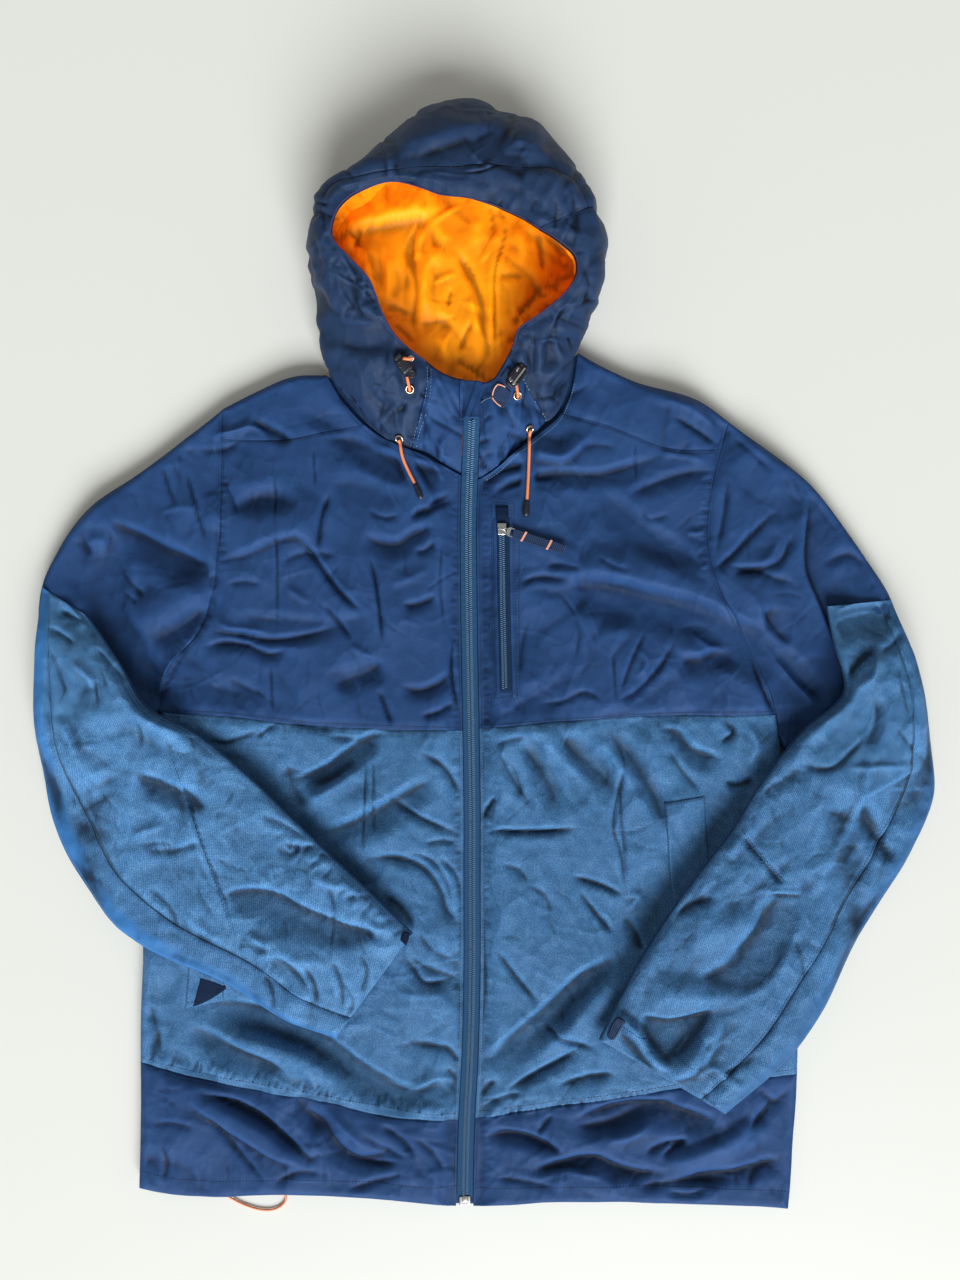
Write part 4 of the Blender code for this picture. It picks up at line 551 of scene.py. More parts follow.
LOWER_LEFT = [
    ([(480, 255), (600, 210), (680, 150), (745, 112), (795, 108)], -3.8, 6, 16, 0.9),
    ([(530, 318), (620, 262), (720, 198)], 2.0, 9, 12, 1.5),
    ([(560, 420), (650, 392), (720, 362), (800, 318), (890, 262), (940, 235)], -3.0, 9, 20, 1.2),
    ([(768, 288), (860, 345), (1000, 412)], -2.0, 5, 9, 0.7),
    ([(880, 158), (950, 200), (1008, 292)], -2.0, 6, 9, 0.8),
    ([(722, 165), (712, 330), (702, 500)], -1.0, 3, 3, 0.5),
    ([(742, 172), (741, 420)], -0.9, 3, 3, 0.5),
    ([(590, 110), (700, 125), (760, 150)], -1.2, 5, 7, 0.8),
    ([(380, 120), (410, 95), (450, 70)], -1.2, 5, 7, 0.8),
    ([(230, 110), (280, 130), (330, 118), (400, 90)], -1.3, 6, 8, 0.9),
    ([(700, 492), (800, 480), (890, 510), (940, 572), (970, 650), (1012, 692)], -2.4, 6, 11, 0.8),
    ([(830, 462), (920, 490), (958, 545), (985, 640)], -1.7, 5, 7, 0.7),
    ([(890, 440), (950, 430), (1005, 440)], -1.2, 5, 6, 0.8),
    ([(760, 590), (830, 640), (868, 705)], -1.6, 10, 12, 1.5),
    ([(930, 470), (990, 530), (1008, 610)], -1.3, 5, 5, 0.8),
    ([(840, 780), (900, 862), (990, 852)], -1.7, 6, 10, 1.0),
    ([(870, 700), (920, 760), (990, 800)], -1.2, 7, 8, 1.2),
    ([(800, 880), (880, 900), (960, 890)], 0.9, 9, 9, 2.0),
    ([(150, 905), (240, 925), (400, 955), (540, 1012), (640, 1080), (740, 1150), (850, 1198), (905, 1192), (945, 1160), (1005, 1150)], -4.2, 8, 24, 1.0),
    ([(260, 1012), (400, 1050), (520, 1090), (640, 1150), (740, 1200)], 2.2, 12, 16, 4.0),
    ([(160, 985), (250, 1042), (360, 1092), (490, 1140)], -3.0, 9, 17, 1.2),
    ([(90, 1000), (70, 1060), (60, 1120)], -1.2, 8, 8, 1.5),
    ([(830, 1212), (880, 1180), (930, 1158), (1005, 1160)], 1.4, 8, 9, 1.0),
    ([(950, 1050), (980, 1080), (1008, 1100)], -1.6, 5, 5, 0.7),
    ([(860, 1050), (930, 1060), (1000, 1075)], -1.3, 6, 8, 0.9),
    ([(160, 1200), (300, 1290), (430, 1370), (545, 1426)], 3.4, 18, 6, 0.8),
    ([(170, 1186), (280, 1215), (400, 1270), (490, 1345), (560, 1400), (592, 1366)], -2.6, 5, 12, 0.8),
    ([(500, 1240), (582, 1290), (640, 1370), (700, 1402), (762, 1390), (805, 1345)], -2.6, 9, 14, 1.0),
    ([(600, 1250), (680, 1330), (730, 1370)], 1.3, 9, 8, 1.5),
    ([(190, 1195), (330, 1372), (430, 1490)], -1.2, 5, 8, 0.8),
    ([(760, 1290), (830, 1340), (870, 1400)], -1.7, 6, 8, 0.9),
    ([(860, 1330), (920, 1380), (960, 1450)], -1.1, 6, 7, 0.9),
    ([(60, 1300), (120, 1290), (200, 1310)], -0.9, 6, 8, 1.0),
    ([(90, 1330), (110, 1420), (100, 1480)], -0.9, 6, 6, 1.0),
    ([(430, 1480), (520, 1440), (600, 1450)], -1.2, 6, 8, 1.0),
    ([(650, 1500), (740, 1470), (850, 1440)], -1.1, 6, 8, 1.0),
]
LOWER_RIGHT = [
    ([(165, 118), (230, 190), (270, 260), (300, 340)], -2.0, 14, 12, 1.8),
    ([(285, 95), (360, 165), (430, 230), (490, 292)], -2.6, 14, 12, 1.8),
    ([(440, 88), (520, 170), (590, 290), (640, 410)], -2.6, 14, 12, 1.8),
    ([(225, 100), (310, 170), (380, 250)], 1.4, 12, 10, 3.0),
    ([(380, 90), (460, 160), (540, 280)], 1.4, 12, 10, 3.0),
    ([(600, 92), (652, 98), (705, 150), (805, 186)], -2.6, 6, 15, 0.9),
    ([(800, 55), (832, 100), (790, 132)], -1.8, 8, 7, 0.9),
    ([(860, 60), (900, 130), (880, 200)], 1.5, 9, 9, 1.5),
    ([(800, 250), (850, 260), (900, 240)], -1.8, 7, 9, 1.0),
    ([(620, 130), (680, 220), (740, 290)], -1.3, 8, 9, 1.2),
    ([(66, 416), (100, 401), (180, 400), (275, 398), (372, 391)], -2.2, 4, 9, 0.7),
    ([(64, 362), (85, 330), (112, 290)], -2.0, 5, 5, 0.7),
    ([(100, 140), (150, 122), (205, 112)], -1.3, 6, 7, 0.8),
    ([(150, 180), (180, 250), (190, 300)], -0.9, 6, 6, 1.0),
    ([(505, 175), (490, 250), (470, 400), (490, 470), (502, 600)], -1.1, 4, 4, 0.6),
    ([(330, 535), (440, 568), (505, 602)], -2.2, 5, 8, 0.7),
    ([(498, 600), (545, 600), (500, 655)], 1.2, 6, 6, 0.8),
    ([(500, 660), (530, 705), (560, 775)], -3.0, 5, 10, 0.9),
    ([(380, 608), (420, 655), (465, 712)], -1.5, 4, 6, 0.8),
    ([(100, 750), (160, 830), (242, 932)], -1.9, 5, 6, 0.7),
    ([(240, 985), (315, 1032), (420, 1062)], -1.8, 6, 6, 0.8),
    ([(320, 870), (350, 930)], -1.1, 4, 4, 0.7),
    ([(490, 742), (470, 790), (380, 850), (260, 962), (150, 1055), (62, 1130)], -4.2, 20, 9, 1.3),
    ([(520, 800), (420, 900), (330, 1000), (220, 1080)], 1.6, 14, 12, 4.0),
    ([(375, 1048), (330, 1082), (225, 1142), (130, 1205)], -2.6, 10, 5, 0.8),
    ([(480, 1138), (380, 1150), (290, 1182)], -2.0, 10, 6, 0.9),
    ([(60, 1212), (85, 1180), (112, 1160)], -2.0, 5, 7, 0.8),
    ([(60, 1250), (140, 1210), (200, 1200)], -1.3, 5, 7, 0.9),
    ([(64, 560), (70, 700), (76, 860), (70, 1000)], -1.8, 3, 4, 0.6),
    ([(200, 560), (260, 600), (280, 660)], -0.8, 7, 7, 1.2),
    ([(120, 500), (180, 520), (210, 560)], -0.9, 6, 7, 1.0),
    ([(640, 480), (700, 440), (730, 380)], -1.0, 8, 8, 1.2),
    ([(55, 1338), (190, 1330), (262, 1358), (325, 1402)], -2.4, 5, 13, 0.8),
    ([(230, 1330), (262, 1290), (285, 1262)], -1.5, 7, 5, 0.8),
    ([(330, 1292), (430, 1252), (560, 1232), (700, 1262), (800, 1292)], -3.0, 6, 22, 1.2),
    ([(440, 1340), (520, 1330), (580, 1290)], 1.6, 10, 8, 1.2),
    ([(195, 1452), (300, 1418), (420, 1402), (490, 1432), (640, 1452)], -3.2, 7, 14, 0.9),
    ([(220, 1460), (320, 1440), (450, 1456)], 1.0, 6, 6, 0.9),
    ([(560, 1390), (610, 1360), (700, 1342)], -2.2, 6, 9, 0.8),
    ([(620, 1412), (700, 1392), (800, 1352), (930, 1270)], 2.4, 9, 16, 1.0),
    ([(640, 1470), (760, 1450), (880, 1430), (1000, 1400)], -2.4, 7, 14, 1.0),
    ([(830, 1340), (900, 1290), (960, 1210)], -2.0, 7, 10, 1.0),
    ([(880, 1500), (900, 1440), (960, 1400)], -1.4, 8, 7, 1.0),
    ([(620, 1500), (700, 1510), (760, 1490)], -1.5, 6, 8, 0.9),
    ([(100, 1460), (200, 1470), (300, 1490)], -1.1, 6, 8, 0.9),
    ([(880, 880), (960, 1120), (1010, 1140)], -0.6, 6, 6, 1.0),
]
SLEEVE_LEFT_TOP = [   # elbow of the left forearm, window A
    ([(70, 712), (140, 740), (205, 782)], -1.6, 5, 6, 0.8),
    ([(110, 782), (150, 800), (210, 835)], -1.6, 6, 8, 0.9),
    ([(78, 842), (130, 870), (182, 906)], -1.8, 5, 8, 0.7),
    ([(130, 740), (160, 790), (215, 850)], 1.6, 8, 8, 1.2),
    ([(90, 900), (130, 1000), (160, 1080)], -1.4, 9, 7, 1.5),
    ([(180, 960), (230, 1010), (250, 1060)], 1.6, 9, 9, 2.0),
    ([(190, 1100), (280, 1130), (400, 1128), (500, 1170), (600, 1250)], 3.4, 42, 18, 3.0),
    ([(240, 900), (300, 960), (380, 1040)], -1.6, 8, 10, 1.5),
    ([(130, 1140), (160, 1200), (195, 1290)], 1.7, 7, 9, 0.8),
    ([(90, 1100), (100, 1180), (120, 1290)], -1.0, 8, 8, 1.2),
]
SLEEVE_LEFT = [       # the rest of it, window C
    ([(140, 190), (200, 380), (250, 520), (290, 622), (332, 752)], -1.0, 2.5, 2.5, 0.4),
    ([(128, 190), (188, 380), (238, 520), (278, 622)], 0.7, 3, 6, 1.5),
    ([(262, 640), (300, 600), (370, 588), (440, 600), (520, 640), (640, 690), (770, 740)], -3.4, 6, 26, 1.0),
    ([(350, 720), (440, 742), (520, 790), (600, 800)], 1.8, 12, 9, 1.2),
    ([(10, 235), (60, 250), (140, 282), (240, 335)], -2.4, 8, 16, 1.2),
    ([(0, 160), (100, 200), (220, 260)], 1.2, 18, 14, 5.0),
    ([(30, 460), (130, 462), (235, 425)], -1.5, 7, 9, 1.0),
    ([(0, 420), (50, 400), (110, 380)], 1.0, 8, 8, 1.2),
    ([(380, 350), (460, 380), (560, 430)], -1.3, 8, 9, 1.5),
    ([(450, 440), (520, 450), (585, 440)], -1.9, 5, 8, 0.8),
    ([(540, 520), (600, 560), (690, 560)], 1.4, 9, 8, 1.2),
    ([(560, 480), (600, 470), (640, 500)], -1.6, 5, 7, 0.8),
    ([(600, 560), (620, 620), (615, 700)], -1.0, 5, 6, 0.8),
    ([(640, 600), (700, 600), (760, 590)], -1.2, 6, 8, 0.9),
    ([(700, 650), (740, 690), (790, 700)], 1.3, 7, 6, 0.9),
    ([(380, 800), (430, 770), (500, 800), (560, 840)], 2.0, 8, 10, 0.9),
    ([(400, 830), (430, 880), (440, 950)], -1.8, 7, 6, 0.8),
    ([(520, 800), (560, 860), (570, 930)], -1.4, 6, 6, 0.9),
    ([(610, 780), (640, 850), (650, 950)], -1.3, 6, 6, 0.9),
    ([(690, 760), (720, 820), (700, 900)], -1.0, 6, 6, 1.0),
    ([(160, 640), (220, 700), (300, 740)], 1.2, 8, 8, 1.2),
    ([(40, 560), (120, 640), (150, 700)], -1.0, 7, 7, 1.0),
]
SLEEVE_RIGHT_TOP = [  # elbow of the right forearm, window B
    ([(1205, 792), (1300, 768), (1402, 762)], -2.4, 5, 18, 0.8),
    ([(1215, 740), (1300, 708), (1390, 712)], 1.2, 7, 7, 1.2),
    ([(1232, 962), (1270, 915), (1310, 880), (1345, 878)], -2.6, 14, 6, 0.9),
    ([(1335, 860), (1320, 940), (1250, 1000)], 2.2, 10, 9, 1.0),
    ([(1345, 880), (1390, 850), (1440, 800)], -1.3, 8, 6, 0.9),
    ([(1310, 935), (1240, 1000), (1160, 1075), (1060, 1180)], 1.6, 16, 9, 3.0),
    ([(1330, 1000), (1340, 1080), (1300, 1190)], -1.2, 10, 10, 2.0),
    ([(1400, 900), (1420, 1000), (1440, 1100)], -1.0, 8, 6, 1.2),
]
SLEEVE_RIGHT = [      # the rest of it, window D
    ([(838, 388), (900, 462), (1002, 584)], -1.8, 4, 6, 0.6),
    ([(930, 590), (1000, 598), (1052, 600)], -1.4, 3, 5, 0.5),
    ([(925, 580), (1000, 588), (1052, 588)], 1.2, 4, 3, 0.6),
    ([(1000, 560), (960, 640), (900, 745), (820, 832), (690, 862)], -3.8, 34, 12, 2.0),
    ([(690, 760), (760, 715), (850, 680), (920, 620)], 1.6, 14, 16, 5.0),
    ([(560, 900), (680, 900), (820, 900), (900, 860)], 1.8, 16, 12, 3.5),
    ([(545, 962), (620, 985), (700, 975), (782, 948)], -3.8, 5, 36, 0.8),
    ([(792, 955), (765, 1050), (705, 1122), (620, 1152)], 2.6, 8, 20, 0.8),
    ([(472, 945), (540, 1010), (600, 1095), (650, 1140)], 2.6, 7, 11, 0.9),
    ([(480, 1010), (560, 1100), (610, 1160)], -2.2, 8, 9, 1.0),
    ([(590, 640), (640, 580), (700, 540)], -1.2, 10, 8, 1.5),
    ([(640, 660), (720, 620), (800, 600)], -1.2, 10, 8, 1.5),
    ([(900, 300), (980, 250), (1060, 200)], -1.2, 10, 10, 2.0),
    ([(800, 480), (860, 420), (900, 380)], 1.0, 10, 10, 2.0),
    ([(880, 900), (930, 860), (1000, 760)], -1.3, 8, 7, 1.0),
    ([(720, 1150), (740, 1080), (800, 1010)], -1.3, 7, 7, 0.9),
    ([(780, 1150), (850, 1120), (920, 1080)], -0.9, 7, 7, 1.0),
    ([(1000, 700), (1040, 780), (1050, 860)], -1.0, 7, 7, 1.0),
    ([(820, 520), (760, 640), (700, 720)], 0.9, 14, 14, 4.0),
]
# where the forearms press on the fronts, the deep hollows under the arms, and broad hollows of the yokes
for line, height, left, right, crest in (
        ([(296, 408), (330, 424), (366, 438), (404, 446)], -6.0, 16, 10, 2.0),
        ([(236, 516), (262, 500), (290, 506), (306, 520)], -4.6, 10, 22, 3.0),
        ([(318, 492), (350, 486), (390, 500), (412, 512)], -3.6, 10, 24, 3.0),
        ([(222, 618), (270, 620), (330, 624), (385, 614)], -4.0, 8, 18, 2.0),
        ([(168, 678), (210, 688), (262, 700)], -3.4, 10, 16, 3.0),
        ([(322, 678), (352, 672), (382, 660)], -3.8, 8, 16, 2.0),
        ([(412, 470), (440, 490), (458, 520)], -3.0, 16, 10, 3.0),
        ([(540, 420), (520, 446), (500, 470)], -4.5, 10, 14, 2.0),
        ([(640, 620), (600, 600), (560, 610)], -3.0, 12, 18, 3.0),
        ([(96, 520), (84, 560), (82, 610)], -6.0, 12, 16, 2.0),
        ([(130, 560), (165, 590), (190, 588)], -3.0, 12, 18, 3.0),
        ([(205, 730), (262, 790), (310, 840), (360, 885), (418, 940)], -8.0, 30, 14, 3.0),
        ([(785, 745), (735, 800), (690, 860), (640, 930), (600, 1005)], -8.5, 14, 32, 3.0),
        ([(120, 560), (128, 620), (152, 680), (185, 730)], -5.0, 26, 16, 3.0),
        ([(838, 600), (830, 650), (805, 690), (780, 730)], -5.0, 20, 30, 3.0),
        ([(400, 1020), (330, 1045), (240, 1010), (180, 960)], -2.4, 14, 12, 3.0)):
    front_f.stroke(line, height, left, right, crest)
for field, win, rows in ((front_f, WIN_A, CHEST_LEFT), (front_f, WIN_B, CHEST_RIGHT), (front_f, WIN_C, LOWER_LEFT), (front_f, WIN_D, LOWER_RIGHT),
                         (fore_f, WIN_A, SLEEVE_LEFT_TOP), (fore_f, WIN_C, SLEEVE_LEFT), (fore_f, WIN_B, SLEEVE_RIGHT_TOP), (fore_f, WIN_D, SLEEVE_RIGHT)):
    for line, height, left, right, crest in rows:
        field.stroke([(win[0] + x / win[2], win[1] + y / win[2]) for x, y in line], height * DEEP, left, right, crest)

WIN_G, WIN_H = (480, 700, 2.987), (125, 700, 2.986)
FOREARM_R_MORE = [
    ([(1080, 205), (1200, 200), (1330, 200)], 1.4, 5, 9, 0.7),
    ([(1130, 295), (1230, 245), (1330, 190)], 1.5, 9, 5, 0.7),
    ([(1240, 80), (1290, 140), (1335, 195)], -1.5, 6, 6, 0.8),
    ([(1130, 290), (1180, 400), (1250, 510)], -2.6, 10, 14, 1.0),
    ([(1165, 100), (1120, 150), (1050, 205), (940, 190)], -1.8, 8, 8, 0.9),
    ([(1170, 110), (1140, 290), (1060, 450), (990, 600)], 1.6, 10, 6, 1.0),
    ([(990, 600), (930, 740), (850, 850), (720, 930)], 1.6, 10, 8, 1.0),
    ([(700, 940), (640, 1060), (560, 1140)], 1.8, 8, 14, 1.0),
    ([(380, 925), (440, 960), (500, 1060), (560, 1120)], 2.0, 8, 6, 0.9),
    ([(640, 1140), (700, 1100), (760, 1150), (820, 1150)], 1.5, 6, 6, 0.9),
    ([(650, 1160), (700, 1220), (690, 1270)], -1.2, 5, 5, 0.8),
]
LOWER_R_MORE = [
    ([(390, 90), (430, 180), (420, 300), (430, 420), (440, 560)], -1.3, 4, 6, 0.7),
    ([(40, 130), (100, 240), (160, 330)], -1.4, 8, 8, 1.0),
    ([(290, 560), (340, 630), (400, 700)], -1.6, 4, 7, 0.7),
    ([(260, 1280), (380, 1270), (500, 1220), (620, 1180)], -2.2, 6, 14, 1.0),
    ([(540, 1370), (580, 1340), (620, 1310)], -2.2, 5, 8, 0.8),
    ([(10, 1290), (120, 1300), (260, 1360)], -1.8, 5, 10, 0.9),
    ([(440, 1470), (600, 1440), (760, 1440)], -1.6, 6, 8, 0.9),
    ([(830, 1160), (880, 1200), (930, 1160)], -1.4, 6, 8, 0.9),
    ([(700, 1350), (770, 1310), (830, 1260)], 2.0, 10, 7, 1.0),
]
LOWER_L_MORE = [
    ([(500, 1180), (560, 1250), (600, 1300)], -1.8, 12, 14, 1.5),
    ([(650, 1360), (740, 1385), (830, 1380)], -1.6, 5, 7, 0.8),
    ([(700, 1290), (780, 1340), (850, 1370)], -1.6, 5, 7, 0.8),
    ([(800, 1040), (880, 1030), (1000, 1050)], -1.2, 8, 12, 1.2),
    ([(960, 1100), (980, 1125), (1000, 1140)], -2.0, 4, 5, 0.7),
    ([(840, 760), (900, 800), (1000, 835)], -1.6, 6, 7, 0.9),
    ([(480, 60), (560, 80), (640, 90)], -1.2, 7, 9, 1.0),
    ([(480, 180), (500, 260), (540, 340)], -2.2, 14, 10, 1.5),
    ([(70, 900), (90, 1000), (110, 1080)], -1.6, 8, 8, 1.5),
]
FOREARM_L_MORE = [
    ([(610, 700), (700, 690), (760, 710)], -2.4, 8, 14, 1.0),
    ([(620, 580), (622, 660), (610, 770)], -0.9, 3, 4, 0.6),
    ([(340, 690), (420, 730), (520, 780)], 1.4, 6, 6, 0.9),
    ([(30, 440), (100, 430), (160, 440)], -1.2, 5, 7, 0.8),
    ([(440, 430), (480, 460), (560, 440)], -1.6, 5, 8, 0.8),
    ([(560, 450), (600, 480), (640, 470)], 1.4, 6, 6, 0.9),
    ([(440, 750), (500, 800), (560, 880)], -1.3, 7, 7, 0.9),
    ([(640, 830), (680, 900), (660, 960)], -1.2, 7, 7, 0.9),
]
for field, win, rows in ((fore_f, WIN_G, FOREARM_R_MORE), (front_f, WIN_G, LOWER_R_MORE), (front_f, WIN_H, LOWER_L_MORE), (fore_f, WIN_H, FOREARM_L_MORE)):
    for line, height, left, right, crest in rows:
        field.stroke([(win[0] + x / win[2], win[1] + y / win[2]) for x, y in line], height * 3.4, left, right, crest)

# puckers drawn up by the seams
pucker(front_f, 21, [(146, 1062), (200, 1072), (262, 1086), (330, 1098), (400, 1110), (460, 1118)], 4.0, 14, 1.5, side=-1, width=(1.6, 2.6))
pucker(front_f, 22, [(482, 1118), (540, 1112), (600, 1102), (650, 1094)], 4.2, 13, 1.3, side=-1, width=(1.6, 2.6))
for x, side, seed in ((460, 1, 23), (483, -1, 24)):
    pucker(front_f, seed, [(x, 430), (x, 700), (x + 1, 900), (x + 2, 1190)], 5.5, 12, 0.85, side=side, width=(1.6, 3.4))
pucker(front_f, 25, [(222, 470), (221, 520), (219, 560)], 5.0, 13, 0.9, side=-1, width=(1.8, 3.2))
pucker(front_f, 26, [(712, 470), (708, 520), (708, 572)], 4.6, 15, 1.1, side=1, width=(1.8, 3.2))
pucker(front_f, 27, [(219, 560), (203, 633), (178, 654), (160, 690)], 7.0, 14, 0.7, width=(2.0, 4.0))
pucker(front_f, 28, [(709, 572), (700, 610), (720, 660), (745, 690)], 7.0, 14, 0.7, width=(2.0, 4.0))
pucker(front_f, 29, [(165, 716), (260, 722), (360, 728), (460, 733)], 8.0, 14, 0.5, side=1, width=(2.0, 4.0))
pucker(front_f, 30, [(484, 732), (560, 724), (650, 716), (760, 706)], 8.0, 14, 0.5, side=1, width=(2.0, 4.0))
pucker(front_f, 31, [(145, 1160), (260, 1170), (360, 1175), (458, 1178)], 7.0, 14, 0.5, width=(2.0, 4.0))
pucker(front_f, 32, [(482, 1178), (600, 1180), (700, 1182), (780, 1186)], 7.0, 14, 0.6, width=(2.0, 4.0))
pucker(fore_f, 41, [(292, 838), (330, 868), (370, 900), (405, 930)], 7.5, 22, 1.5, side=1, width=(3.0, 6.0))
pucker(fore_f, 42, [(143, 897), (183, 923), (238, 950), (288, 986), (340, 1025)], 4.6, 11, 0.6, side=-1, width=(1.6, 2.8))
pucker(fore_f, 43, [(200, 770), (240, 800), (290, 836)], 13, 20, 0.9, side=1, width=(3.0, 6.0))
pucker(fore_f, 44, [(720, 1064), (740, 1034), (775, 1005), (808, 972)], 6.0, 12, 0.5, width=(2.0, 3.6))
pucker(fore_f, 45, [(612, 1025), (660, 950), (720, 850), (800, 745)], 18, 24, 0.8, side=1, width=(4.0, 8.0))

WIN_E, WIN_F = (290, 90, 4.127), (290, 340, 4.752)
HOOD_OUTSIDE = [
    ([(440, 262), (560, 200), (690, 140), (745, 100)], 2.6, 16, 12, 3.0),
    ([(520, 285), (640, 240), (760, 215), (860, 160)], -2.2, 10, 12, 3.0),
    ([(760, 300), (820, 240), (900, 170), (950, 130)], -2.4, 9, 12, 2.0),
    ([(820, 290), (900, 230), (1000, 190), (1080, 220)], 1.8, 12, 12, 3.0),
    ([(560, 110), (600, 160), (590, 220)], -1.8, 9, 9, 2.0),
    ([(330, 300), (400, 270), (470, 215)], -1.6, 8, 10, 1.5),
    ([(1150, 372), (1180, 500), (1200, 640)], -1.8, 8, 8, 1.5),
    ([(1215, 430), (1255, 560), (1270, 680)], 1.8, 8, 7, 1.2),
    ([(1195, 700), (1225, 800), (1200, 920)], -2.6, 10, 9, 1.5),
    ([(900, 360), (1000, 420), (1100, 500)], 0.9, 10, 10, 3.0),
    ([(640, 350), (760, 370), (840, 410)], -0.8, 8, 9, 2.0),
    ([(560, 350), (640, 400), (700, 430)], 0.9, 8, 8, 2.0),
    ([(400, 350), (450, 360), (560, 400)], -0.9, 6, 6, 1.2),
    ([(180, 395), (240, 420), (300, 400)], -1.0, 7, 7, 1.5),
    ([(120, 520), (110, 640), (130, 760)], -1.4, 9, 8, 2.0),
    ([(120, 800), (140, 900), (200, 950)], -1.2, 10, 9, 2.0),
    ([(118, 930), (220, 992), (330, 1002), (395, 958)], -4.2, 9, 22, 1.8),
    ([(240, 862), (300, 925), (378, 962)], -2.4, 6, 9, 1.0),
    ([(300, 820), (345, 870), (380, 930)], -1.8, 6, 6, 0.9),
    ([(270, 790), (330, 800), (352, 850)], 1.6, 6, 6, 1.0),
    ([(370, 1000), (400, 1060), (398, 1150)], -2.4, 7, 8, 1.2),
    ([(150, 1060), (230, 1080), (300, 1120)], 1.6, 12, 12, 3.0),
    ([(160, 1150), (250, 1196), (330, 1290), (390, 1370), (430, 1450)], 3.4, 9, 15, 1.0),
    ([(175, 1205), (235, 1290), (300, 1380)], -2.8, 8, 9, 1.0),
    ([(215, 1185), (260, 1260), (330, 1340)], -2.0, 6, 7, 0.9),
    ([(262, 1260), (300, 1300), (340, 1395)], 1.6, 6, 7, 1.0),
    ([(420, 1180), (450, 1240), (470, 1340)], -1.4, 8, 8, 1.2),
    ([(548, 1140), (600, 1200), (640, 1290), (720, 1400)], -2.4, 6, 7, 0.9),
    ([(600, 1150), (660, 1260), (700, 1340), (722, 1400)], -2.0, 6, 6, 0.9),
    ([(640, 1190), (690, 1270), (715, 1330)], 1.6, 6, 6, 1.0),
    ([(520, 1340), (560, 1400), (590, 1470)], -1.4, 6, 7, 0.9),
    ([(735, 1210), (728, 1300), (720, 1372)], -1.2, 5, 5, 0.8),
    ([(782, 1385), (815, 1350), (838, 1335)], -2.0, 4, 6, 0.7),
    ([(762, 1462), (800, 1448), (835, 1438)], -2.0, 4, 6, 0.7),
    ([(780, 1520), (830, 1500), (880, 1495)], -1.6, 5, 7, 0.8),
    ([(870, 1290), (880, 1330), (930, 1370)], -1.6, 6, 7, 0.9),
    ([(800, 1230), (850, 1270), (890, 1290)], 1.3, 6, 6, 0.9),
    ([(900, 1340), (930, 1420), (980, 1450)], -1.6, 8, 8, 1.0),
    ([(1010, 985), (1004, 1080), (996, 1180), (985, 1290), (992, 1390)], -5.2, 9, 14, 1.6),
    ([(1225, 1005), (1140, 1080), (1085, 1160), (1050, 1210)], 3.4, 12, 7, 0.9),
    ([(1060, 1240), (1100, 1170), (1180, 1090), (1250, 1070)], -2.6, 6, 9, 1.0),
    ([(1050, 1300), (1120, 1230), (1200, 1190)], -1.8, 8, 9, 1.2),
    ([(1040, 1120), (1060, 1040), (1110, 980)], -1.6, 8, 8, 1.2),
    ([(1090, 930), (1160, 960), (1225, 1000)], -1.8, 8, 8, 1.0),
    ([(1120, 880), (1190, 880), (1240, 860)], 1.2, 9, 9, 1.5),
    ([(950, 1010), (1000, 1020), (1010, 1060)], -1.6, 5, 6, 0.8),
    ([(940, 1060), (960, 1120), (950, 1200)], 1.4, 7, 7, 1.0),
    ([(1030, 1330), (1080, 1290), (1150, 1260)], 1.6, 9, 9, 1.2),
]
COLLAR_ON_YOKE = [
    ([(880, 620), (960, 560), (1080, 540), (1200, 560), (1300, 545)], 1.4, 8, 6, 0.9),
    ([(890, 500), (930, 470), (970, 460)], -1.6, 4, 6, 0.7),
    ([(880, 610), (900, 640), (980, 600)], -1.6, 5, 7, 0.8),
    ([(760, 615), (720, 590), (640, 560), (560, 520)], -1.6, 8, 6, 0.9),
    ([(780, 760), (700, 790), (620, 840)], -1.6, 7, 6, 0.8),
    ([(1220, 180), (1260, 230), (1340, 250), (1440, 200)], -2.2, 8, 10, 1.0),
    ([(1200, 330), (1300, 330), (1400, 380), (1520, 420)], -1.2, 8, 10, 1.2),
    ([(1380, 520), (1450, 500), (1560, 520)], -1.4, 7, 9, 1.0),
]
